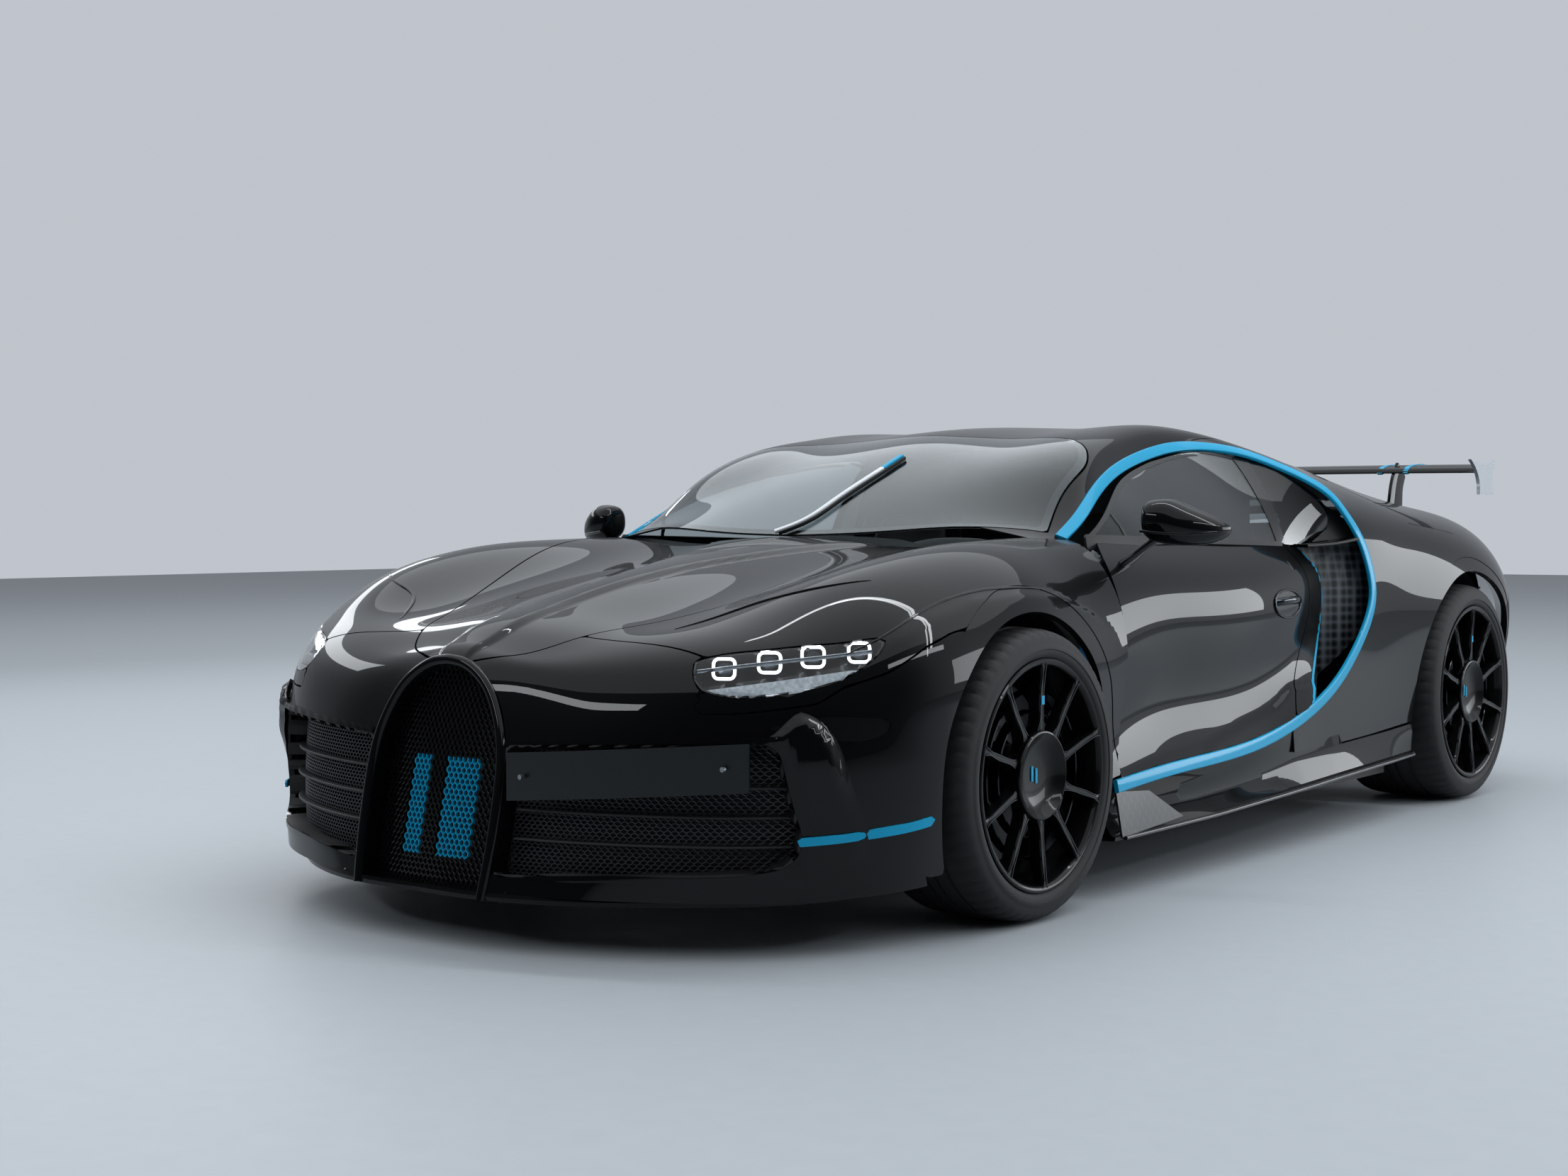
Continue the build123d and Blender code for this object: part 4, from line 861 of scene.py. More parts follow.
def beside_line(patch: Patch) -> Array:
    """Distance in side view to the side line's middle, above zero on the door's side of it."""
    curve = line_curve()[:, [0, 2]]
    return closed_distance(np.concatenate([curve, [[400, 870]]]), patch.station, patch.z)


def inside_line(patch: Patch) -> Array:
    """Distance to the side line, above zero on the door's side of it.

    The size is the distance in space to the line's middle. The side comes from the side view where the
    surface stands and from the plan where it lies flat.

    Args:
        patch: surface points of either side of the car.

    Returns:
        Distances in millimetres.
    """
    curve = line_curve()
    points = np.stack([patch.station.ravel(), np.abs(patch.x).ravel(), patch.z.ravel()], 1)
    least = np.full(len(points), np.inf)
    for part in np.array_split(np.arange(len(points)), max(len(points) // 20000, 1)):
        gap = ((points[part, None, :] - curve[None, ::2, :]) ** 2).sum(-1)
        least[part] = gap.min(1)
    size = np.sqrt(least)
    side = closed_distance(
        np.concatenate([curve[:, [0, 2]], [[400, 870]]]), points[:, 0], points[:, 2]
    ) > 0
    top = curve[curve[:, 2] > 930][:, :2]
    plan = closed_distance(
        np.concatenate([top, [[505, 760], [505, 1400], [2300, 1400], [2300, top[0, 1]]]]), points[:, 0],
        points[:, 1]
    ) > 0
    flat = (patch.normals[..., 2].ravel() > 0.72) & (points[:, 2] > 930)
    return (size * np.where(np.where(flat, plan, side), 1, -1)).reshape(patch.station.shape)


@dataclass
class BodySurfaces:
    """The three body surfaces and the distances from which every panel is cut.

    Attributes:
        along: grid step along the car, millimetres.
        across: grid step round a section, millimetres.
    """

    along: float = 15.5
    across: float = 12.0
    front: Patch = field(init=False)
    main: Patch = field(init=False)
    door: Patch = field(init=False)
    main_line: Array = field(init=False)
    door_line: Array = field(init=False)
    bonnet_edge: Array = field(init=False)

    def __post_init__(self) -> None:
        """Samples the three skins, adds their creases and finds the distances to the shared edges."""
        front = Skin(FRONT_BODY, leaning=True).patch(-957, 620, self.along, self.across)
        self.front = embossed(front, self.spine(front) + self.flare(front))
        self.main = Skin(MAIN_BODY).patch(440, 3550, self.along, self.across)
        door = Skin(DOOR_BODY, full=False).patch(380, 1860, self.along, self.across)
        crease = np.interp(door.station, [460, 884, 1368, 1500], [312, 330, 404, 450])
        self.door = embossed(door, 6.0 * smoothstep((crease - door.z) / 22))
        self.main_line = inside_line(self.main)
        self.door_line = inside_line(self.door)
        plan = np.concatenate([smooth_path(BONNET_SIDE, 60), BONNET_END[1:]])
        self.bonnet_edge = closed_distance(mirrored_outline(plan), self.front.station, self.front.x)

    def spine(self, patch: Patch) -> Array:
        """Height of the raised band along the bonnet's middle, which widens towards the screen."""
        edge = np.asarray(SPINE_EDGE, float)
        half = spline(edge[:, 0], edge[:, 1:],
                      np.clip(patch.station.ravel(), -900, 340)).reshape(patch.x.shape)
        band = np.interp(patch.station, [-600, 0, 340], [20, 30, 90])
        top = smoothstep((half - np.abs(patch.x)) / band)
        return 9.0 * top * smoothstep((patch.station + 905) / 60) * smoothstep((patch.normals[...,
                                                                                              2] - 0.5) / 0.3)

    def flare(self, patch: Patch) -> Array:
        """Height of the flared wing outside the crease from the lamp over the wheel to the pillar."""
        crease = np.asarray(WING_CREASE, float)
        level = np.interp(patch.station, crease[:, 0], crease[:, 1])
        side = smoothstep((level - patch.z) / 26) * smoothstep((np.abs(patch.x) - 640) / 120)
        ends = smoothstep((patch.station + 560) / 160) * smoothstep((470 - patch.station) / 200)
        low = smoothstep((patch.z - 420) / 200)
        return 8.0 * side * ends * low

    def lamp(self, patch: Patch) -> Array:
        """Distance to the lamp's outline in front view, above zero inside it."""
        outline = smooth_path(LAMP + (LAMP[0],), 90)
        return np.minimum(closed_distance(outline, np.abs(patch.x), patch.z), -380 - patch.station)

    def opening(self, patch: Patch) -> Array:
        """Distance to the bumper opening in front view, above zero inside it."""
        outline = np.concatenate([smooth_path(OPENING, 90), [(214, 180), (214, 430)]])
        return np.minimum(closed_distance(outline, np.abs(patch.x), patch.z), -560 - patch.station)

    def horseshoe(self, patch: Patch) -> Array:
        """Distance to the horseshoe in front view, above zero inside it."""
        return np.minimum(in_horseshoe(patch.x, patch.z), -830 - patch.station)

    def front_wheel(self, patch: Patch) -> Array:
        """Distance in side view from the front axle's middle."""
        return np.hypot(patch.station, patch.z - FRONT_HUB_Z)

    def rear_wheel(self, patch: Patch) -> Array:
        """Distance in side view from the rear axle's middle."""
        return np.hypot(patch.station - WHEELBASE, patch.z - REAR_HUB_Z)

    def split(self, patch: Patch) -> Array:
        """Distance ahead of and below the shut line between bumper and wing."""
        rows = np.asarray(BUMPER_SPLIT, float)
        height = np.interp(patch.station, rows[:, 0], rows[:, 1])
        low = np.where(patch.station > -150, -400.0, height - patch.z)
        front = -735 - patch.station
        return np.where(np.abs(patch.x) < 640, front, low)

    def arch(self, patch: Patch, lip: float) -> Array:
        """Distance outside both wheel arches, their lips included."""
        flank = np.abs(patch.x) > 560
        front = np.where(flank, self.front_wheel(patch) - FRONT_ARCH_R - lip, 400.0)
        rear = np.where(flank, self.rear_wheel(patch) - REAR_ARCH_R - lip * 0.75, 400.0)
        return np.minimum(front, rear)

    def door_gap(self, patch: Patch) -> Array:
        """Distance inside the door's outline in side view."""
        outline = np.concatenate([smooth_path(DOOR_FRONT, 60), smooth_path(DOOR_REAR[::-1], 60)])
        return closed_distance(outline, patch.station, patch.z)

    def cheek_gap(self, patch: Patch) -> Array:
        """Distance inside the outline of the cheek behind the door."""
        outline = np.concatenate([smooth_path(DOOR_REAR, 60), smooth_path(CHEEK_REAR[::-1], 60)])
        return closed_distance(outline, patch.station, patch.z)


def least(*distances: Array) -> Array:
    """Distance inside all of several regions at once."""
    return np.minimum.reduce(distances)


@dataclass
class Shell:
    """The painted and satin body panels.

    Attributes:
        surfaces: the shared body surfaces.
        skin: panel thickness, millimetres.
    """

    surfaces: BodySurfaces
    skin: float = 5.0

    def build(self) -> None:
        """Cuts and declares every body panel."""
        self.nose()
        self.roof()
        self.tail()
        self.doors()

    def nose(self) -> None:
        """Bonnet, bumper, wings, arch lips and the black cowl under the screen."""
        s, f = self.surfaces, self.surfaces.front
        gap = SHUT_GAP
        horseshoe, lamp, opening = s.horseshoe(f), s.lamp(f), s.opening(f)
        split, edge = s.split(f), s.bonnet_edge
        door = np.concatenate([smooth_path(DOOR_FRONT, 60), [(900, 262), (900, 872)]])
        behind = -closed_distance(door, f.station, f.z)
        behind = np.where(np.abs(f.x) > 700, behind, 400.0)
        panel("bonnet", trim(f, least(edge - gap, -horseshoe - 2)), self.skin, PAINT, "bonnet_body",
              "paint_black",
              "bonnet")
        bumper = least(split - gap, -edge - gap, -horseshoe - 2, -lamp - 2, -opening, s.arch(f, LIP) - 1)
        panel("bumper", trim(f, bumper), self.skin, PAINT, BODY, "paint_black", "bumper")
        for name, side in (("left", 1), ("right", -1)):
            wing = least(
                -split - gap, -edge - gap, -lamp - 2, s.arch(f, LIP) - 1, behind - gap, side * f.x,
                np.where(f.station > 380, s_line(f) - LINE_HALF, 400.0), cowl_line(f) * -1 - gap,
            )
            panel(f"wing_{name}", trim(f, wing), self.skin, PAINT, BODY, "paint_black", f"fender_{name}")
            lip = least(LIP - (s.front_wheel(f) - FRONT_ARCH_R), s.front_wheel(f) - FRONT_ARCH_R - 1,
                        side * f.x - 560, 470 - f.station, f.z - 150)
            panel(f"front_lip_{name}", trim(f.moved(-1.5), lip), 16.0, PAINT, BODY, "paint_black",
                  "front_lips")
        panel("cowl_panel", trim(f.moved(-6), least(cowl_line(f), 520 - f.station)), self.skin, ABS, BODY,
              "black_trim", "cowl")

    def roof(self) -> None:
        """Windscreen with its black border, and the roof with both pillars."""
        s, m = self.surfaces, self.surfaces.main
        screen = screen_distance(m)
        glass = Skin(MAIN_BODY).patch(345, 1000, 14, 13)
        panel("windscreen", trim(glass, screen_distance(glass) - 3), 5.0, GLASS, BODY, "glazing",
              "windscreen")
        border = least(screen_distance(glass) - 3, 24 - screen_distance(glass))
        panel("screen_border", trim(glass.moved(-5.5), border), 1.0, GLOSS_ABS, BODY, "black_trim")
        rear = np.where(m.station > 1500, np.minimum(600 - np.abs(m.x), 1846 - m.station), 400.0)
        top = least(-screen - 2, -s.main_line - LINE_HALF, m.z - 868, rear)
        panel("roof", trim(m, top), self.skin, PAINT, BODY, "paint_black", "roof")

    def tail(self) -> None:
        """Quarters, rear arch lips, engine deck and the tail's frame."""
        s, m = self.surfaces, self.surfaces.main
        outer = np.where(m.station < 1846, np.abs(m.x) - 600, np.abs(m.x) - 541)
        upper = line_curve()[:, [0, 2]]
        upper = upper[upper[:, 1] > 1000][::-1]
        above = np.where((m.station < 1700) & (m.z > 700),
                         m.z - np.interp(m.station, upper[:, 0], upper[:, 1]) + 4, 400.0)
        for name, side in (("left", 1), ("right", -1)):
            quarter = least(
                m.station - 1449, 3441 - m.station, -s.main_line - LINE_HALF, s.arch(m, LIP) - 1,
                outer - SHUT_GAP,
                side * m.x, above,
            )
            panel(f"quarter_{name}", trim(m, quarter), self.skin, PAINT, BODY, "paint_black",
                  f"quarter_{name}")
            lip = least(LIP * 0.75 - (s.rear_wheel(m) - REAR_ARCH_R), s.rear_wheel(m) - REAR_ARCH_R - 1,
                        side * m.x - 560, 3190 - m.station, m.z - 262)
            panel(f"rear_lip_{name}", trim(m.moved(-1.5), lip), 16.0, PAINT, BODY, "paint_black", "rear_lips")
        deck = least(m.station - 1851, 3441 - m.station, 539 - np.abs(m.x))
        panel("rear_deck", trim(m, deck), self.skin, PAINT, BODY, "paint_black", "rear_deck")
        frame_ring = least(m.station - 3446, 3549 - m.station, m.z - 300)
        panel("rear_frame", trim(m, frame_ring), 20.0, CARBON, BODY, "carbon_trim", "rear_fascia")

    def doors(self) -> None:
        """Door skins, and the cheeks behind them with their blue edges."""
        s, d = self.surfaces, self.surfaces.door
        inside = s.door_line - LINE_HALF - 2
        door = trim(d, least(s.door_gap(d) - SHUT_GAP, inside))
        cheek = trim(d, least(s.cheek_gap(d) - SHUT_GAP, inside))
        edge = s.cheek_gap(d)
        rear = smooth_path(CHEEK_REAR, 80)
        near = np.sqrt(((np.stack([d.station, d.z], -1)[..., None, :] - rear) ** 2).sum(-1)).min(-1)
        blue = trim(d.moved(1.2), least(8 - near, inside, edge + 2))
        for name, body in (("left", "door_left_body"), ("right", "door_right_body")):
            turn = (lambda sheet: sheet) if name == "left" else Sheet.mirrored
            panel(f"door_{name}", turn(door), 45.0, PAINT, body, "paint_black", f"door_{name}")
            panel(f"cheek_{name}", turn(cheek), 8.0, PAINT, BODY, "paint_black", "intake_cheeks")
            panel(f"cheek_edge_{name}", turn(blue), 8.0, BLUE, BODY, "accent_blue")


def s_line(patch: Patch) -> Array:
    """Distance above the side line's lower arm, for the wing's low rear corner."""
    curve = line_curve()
    low = curve[curve[:, 0] < 900][:120]
    return patch.z - np.interp(patch.station, low[:, 0], low[:, 2])


def screen_distance(patch: Patch) -> Array:
    """Distance inside the windscreen's outline in plan."""
    half = np.concatenate([smooth_path(SCREEN_BASE[::-1], 30), smooth_path(SCREEN_SIDE, 60)[1:]])
    return closed_distance(mirrored_outline(half), patch.station, patch.x)


def cowl_line(patch: Patch) -> Array:
    """Distance inside the cowl, between the bonnet's rear edge and the screen, out to the pillar feet."""
    outline = [(322, 0), (359, 380), (396, 702), (420, 735), (520, 735), (520, 0)]
    return closed_distance(mirrored_outline(np.asarray(outline, float)), patch.station, patch.x)


# ------------------------------------------------------------------ swept and turned forms
def placed(rows: Sequence[Sequence[float]] | Array) -> Array:
    """Rows of station, x, z in millimetres as points in metres."""
    rows = np.asarray(rows, float)
    return np.stack([rows[..., 1], FRONT_AXLE_Y + rows[..., 0], rows[..., 2]], -1) * MM


def unit(vectors: Array) -> Array:
    """Vectors of length one."""
    return vectors / np.maximum(np.linalg.norm(vectors, axis=-1, keepdims=True), 1e-12)


def rounded(width: float, height: float, radius: float, steps: int = 3) -> Array:
    """Outline of a rounded rectangle about its middle, in metres from millimetres, shape (n, 2)."""
    turn = np.linspace(0, math.pi / 2, steps + 1)
    corners = []
    for k, (sx, sz) in enumerate(((1, 1), (-1, 1), (-1, -1), (1, -1))):
        angle = turn + k * math.pi / 2
        corners.append(np.stack([
            sx * (width / 2 - radius) + radius * np.cos(angle),
            sz * (height / 2 - radius) + radius * np.sin(angle),
        ], 1))
    return np.concatenate(corners) * MM


def ellipse(width: float, height: float, count: int = 16) -> Array:
    """Outline of an ellipse about its middle, in metres from millimetres."""
    angle = np.arange(count) * 2 * math.pi / count
    return np.stack([np.cos(angle) * width / 2, np.sin(angle) * height / 2], 1) * MM


def swept(path: Array, lift: Array, section: Array, wide: Array | float = 1.0,
          high: Array | float = 1.0) -> Array:
    """Grid of a section carried along a path.

    Args:
        path: points in metres, shape (n, 3).
        lift: roughly the section's second direction at each point, or one for all.
        section: outline, shape (m, 2), metres.
        wide: scale of the section's first direction along the path.
        high: scale of the second direction.

    Returns:
        Points of shape (n, m, 3).
    """
    along = unit(np.gradient(path, axis=0))
    lift = np.broadcast_to(np.asarray(lift, float), path.shape)
    side = unit(np.cross(along, lift))
    lift = np.cross(side, along)
    wide = np.broadcast_to(np.asarray(wide, float), (len(path),))[:, None, None]
    high = np.broadcast_to(np.asarray(high, float), (len(path),))[:, None, None]
    return path[:, None] + side[:, None] * section[None, :, :1] * wide + lift[:, None] * section[None, :,
                                                                                                 1:] * high


def bar(name: str, rows: Sequence[Sequence[float]], section: Array, finish: Finish,
        lift: Sequence[float] = (0, 0, 1),
        count: int = 2, wide: Array | float = 1.0, high: Array | float = 1.0) -> bpy.types.Object:
    """A capped bar along the spline through rows of station, x, z, resampled to count points."""
    rows = np.asarray(rows, float)
    path = placed(smooth_path(rows, count) if count > len(rows) else rows)
    return grid_object(name, swept(path, lift, section, wide, high), finish, wrap_columns=True, caps=True)


def lying(name: str, patch: Patch, rows: Sequence[Sequence[float]], section: Array, finish: Finish,
          high: float = 0.0, tapered: bool = True) -> bpy.types.Object:
    """A strip that lies on a surface.

    Args:
        name: the piece's name.
        patch: the surface.
        rows: station, x and z of points near it.
        section: the strip's outline, metres.
        finish: its material.
        high: how far its middle stands off, millimetres.
        tapered: whether its ends run out to a point.

    Returns:
        The strip.
    """
    points = placed(smooth_path(rows, 40))
    flat, normals = patch.points.reshape(-1, 3), patch.normals.reshape(-1, 3)
    near = ((points[:, None, :] - flat[None, :, :]) ** 2).sum(-1).argmin(1)
    lift = normals[near]
    rest = points - ((points - flat[near]) * lift).sum(1, keepdims=True) * lift + lift * high * MM
    scale = np.sin(np.linspace(0.08, math.pi - 0.08, 40)) ** 0.5 if tapered else np.ones(40)
    return grid_object(name, swept(rest, lift, section, scale, scale), finish, wrap_columns=True, caps=True)


def joined(name: str, pieces: Sequence[bpy.types.Object]) -> bpy.types.Object:
    """Several pieces as one object, keeping their materials and shading."""
    work = bmesh.new()
    materials: list[bpy.types.Material] = []
    for piece in pieces:
        before = len(work.faces)
        work.from_mesh(piece.data)
        work.faces.ensure_lookup_table()
        own = piece.data.materials[0]
        if own not in materials:
            materials.append(own)
        for face in work.faces[before:]:
            face.material_index = materials.index(own)
    mesh = bpy.data.meshes.new(name)
    work.to_mesh(mesh)
    work.free()
    for material in materials:
        mesh.materials.append(material)
    for piece in pieces:
        bpy.data.objects.remove(piece)
    made = bpy.data.objects.new(name, mesh)
    bpy.context.scene.collection.objects.link(made)
    return made


def mirror_copy(piece: bpy.types.Object, name: str) -> bpy.types.Object:
    """A separate mirror image of a piece on the car's other side."""
    mesh = piece.data.copy()
    mesh.name = name
    count = len(mesh.vertices)
    flat = np.empty(count * 3, np.float32)
    mesh.vertices.foreach_get("co", flat)
    flat[0::3] *= -1
    mesh.vertices.foreach_set("co", flat)
    mesh.flip_normals()
    mesh.update()
    made = bpy.data.objects.new(name, mesh)
    bpy.context.scene.collection.objects.link(made)
    return made


def both(piece: bpy.types.Object, name: str) -> bpy.types.Object:
    """A piece and its mirror image as one object."""
    return joined(name, [piece, mirror_copy(piece, name + "_far")])


def turned(profile: Sequence[Sequence[float]], side: int, y: float, z: float, count: int,
           swell: Optional[Callable[[Array, Array, Array], Array]] = None) -> Array:
    """Grid of a profile turned about an axle across the car.

    Args:
        profile: x, radius rows in millimetres, x measured on the left side.
        side: +1 for the left, -1 for the right.
        y: the axle's y, millimetres.
        z: the axle's height.
        count: points round.
        swell: optional change of radius, from x, radius and angle in radians.

    Returns:
        Points of shape (count, profile points, 3), in metres.
    """
    rows = np.asarray(profile, float)
    angle = np.arange(count) * 2 * math.pi / count
    x = np.broadcast_to(rows[None, :, 0], (count, len(rows)))
    r = np.broadcast_to(rows[None, :, 1], (count, len(rows)))
    a = np.broadcast_to(angle[:, None], x.shape)
    if swell is not None:
        r = r + swell(x, r, a)
    return np.stack([side * x, y + r * np.cos(a), z + r * np.sin(a)], -1) * MM


# ------------------------------------------------------------------ sub-assemblies
@dataclass
class SideLine:
    """The light-blue C-shaped trim: a round-edged strip from the sill, behind the door and along the roof.

    Attributes:
        surfaces: the body surfaces that it lies on.
        width: of the strip, millimetres.
        height: of the strip's section.
    """

    surfaces: BodySurfaces
    width: float = 33.0
    height: float = 12.0

    def build(self) -> None:
        """Sweeps the strip along the line and mirrors it."""
        path = placed(line_curve(190))
        flat = self.surfaces.main.points.reshape(-1, 3)
        normals = self.surfaces.main.normals.reshape(-1, 3)
        near = ((path[:, None, :] - flat[None, ::3, :]) ** 2).sum(-1).argmin(1)
        lift = normals[::3][near]
        lift[path[:, 1] < at(470)] = (1.0, 0.0, 0.15)
        for _ in range(30):
            lift[1:-1] = (lift[:-2] + lift[1:-1] + lift[2:]) / 3
        outward = unit(np.cross(np.gradient(path, axis=0), lift))
        path = path + outward * (self.width / 2 - LINE_HALF) * MM
        section = rounded(self.width, self.height, 3.5)
        piece = grid_object("line_half", swept(path, unit(lift), section), BLUE, wrap_columns=True, caps=True)
        place(both(piece, "side_line"), BODY, "accent_blue", "side_lines")


# Side glass between its belt and the roof rail. Columns: station, belt x, z, rail x, z.
SIDE_GLASS = (
    (500, 796, 872, 745, 905), (700, 813, 868, 708, 1000), (900, 822, 864, 664, 1052),
    (1100, 827, 858, 628, 1098),
    (1300, 830, 854, 609, 1130), (1500, 829, 850, 617, 1146), (1700, 827, 843, 715, 1105),
    (1900, 828, 832, 850, 1030),
)


@dataclass
class Glasshouse:
    """Door glass, quarter glass and the black trims between them.

    Attributes:
        surfaces: the body surfaces; not used.
        bulge: how far the glass bows out at mid height, millimetres.
        glass: its thickness.
    """

    surfaces: BodySurfaces
    bulge: float = 16.0
    glass: float = 4.5

    def patch(self) -> Patch:
        """The whole side glass as one grid, bowed between belt and rail by a parabola."""
        table = np.asarray(SIDE_GLASS, float)
        stations = np.linspace(500, 1900, 110)
        rows = spline(table[:, 0], table[:, 1:], stations)
        t = np.linspace(-0.25, 1.04, 31)[None, :]
        x = rows[:, 0:1] + (rows[:, 2:3] - rows[:, 0:1]) * t
        z = rows[:, 1:2] + (rows[:, 3:4] - rows[:, 1:2]) * t
        lean = unit(np.stack([rows[:, 3] - rows[:, 1], rows[:, 0] - rows[:, 2]], 1))
        bow = 4 * self.bulge * t * (1 - t)
        points = placed(np.stack([
            np.broadcast_to(stations[:, None], x.shape), x + bow * lean[:, :1], z + bow * lean[:, 1:],
        ], -1))
        return Patch(points, grid_normals(points))

    def build(self) -> None:
        """Cuts the panes and adds belt strip, pillar and divider."""
        pane = self.patch()
        line = beside_line(pane) - LINE_HALF - 3
        belt = pane.z - np.interp(pane.station, [500, 1640, 1900], [879, 852, 839])
        front, rear = 1640 - pane.station, pane.station - 1647
        for name, body, turn in (("left", "door_left_body", False), ("right", "door_right_body", True)):
            def put(label: str, sheet: Sheet, depth: float, finish: Finish, rider: str, slot: str,
                    *nodes: str) -> None:
                """Makes one piece of this side of the car."""
                panel(f"{label}_{name}", sheet.mirrored() if turn else sheet, depth, finish, rider, slot,
                      *nodes)

            put("door_glass", trim(pane, least(line, belt, front)), self.glass, GLASS, body, "glazing",
                f"door_glass_{name}")
            put("quarter_glass", trim(pane, least(line, belt, rear)), self.glass, DARK_GLASS, BODY, "glazing",
                "quarter_glass")
            put("pillar_trim",
                trim(pane.moved(1.5), least(line, belt, 1660 - pane.station, pane.station - 1606)), 2.0,
                GLOSS_ABS, body, "black_trim")
            rim = least(9 - line, line + 2, belt, np.maximum(front, -400.0))
            put("glass_seal", trim(pane.moved(1.0), rim), 5.0, ABS, BODY, "black_trim")
            low = np.interp(pane.station, [600, 800, 1000], [30, 16, 7])
            sill = least(belt + low, 9 - belt, front, pane.station - 545)
            put("belt_strip", trim(pane.moved(3.0), sill), 6.0, ABS, body, "black_trim")
            divider = 7 - np.abs(pane.station - np.interp(pane.z, [870, 1010], [742, 690]))
            put("glass_divider", trim(pane.moved(1.2), least(divider, belt, line)), 6.0, ABS, body,
                "black_trim")


@dataclass
class Wiper:
    """The single pale wiper with its blue tip that lies up the windscreen."""

    def build(self) -> None:
        """Builds the arm, the rubber blade beside it and the tip."""
        glass = Skin(MAIN_BODY).patch(345, 1000, 14, 13)
        low = ((352, -52, 889), (400, 10, 918), (485, 48, 970), (605, 84, 1037), (650, 94, 1060))
        tip = ((650, 94, 1060), (690, 98, 1078), (731, 101, 1096))
        # The arm's near-white colour is partly painted reflection.
        place(lying("wiper_arm", glass, low, rounded(15, 9, 3), PALE_PAINTED_REFLECTION, 12.0, False), BODY, "bright_trim")
        place(lying("wiper_tip", glass, tip, rounded(17, 9, 3), BLUE, 12.0, False), BODY, "accent_blue")
        edge = [(s, x + 11, z) for s, x, z in low + tip[1:]]
        place(lying("wiper_blade", glass, edge, rounded(6, 10, 2), RUBBER, 6.0, False), BODY, "black_trim")


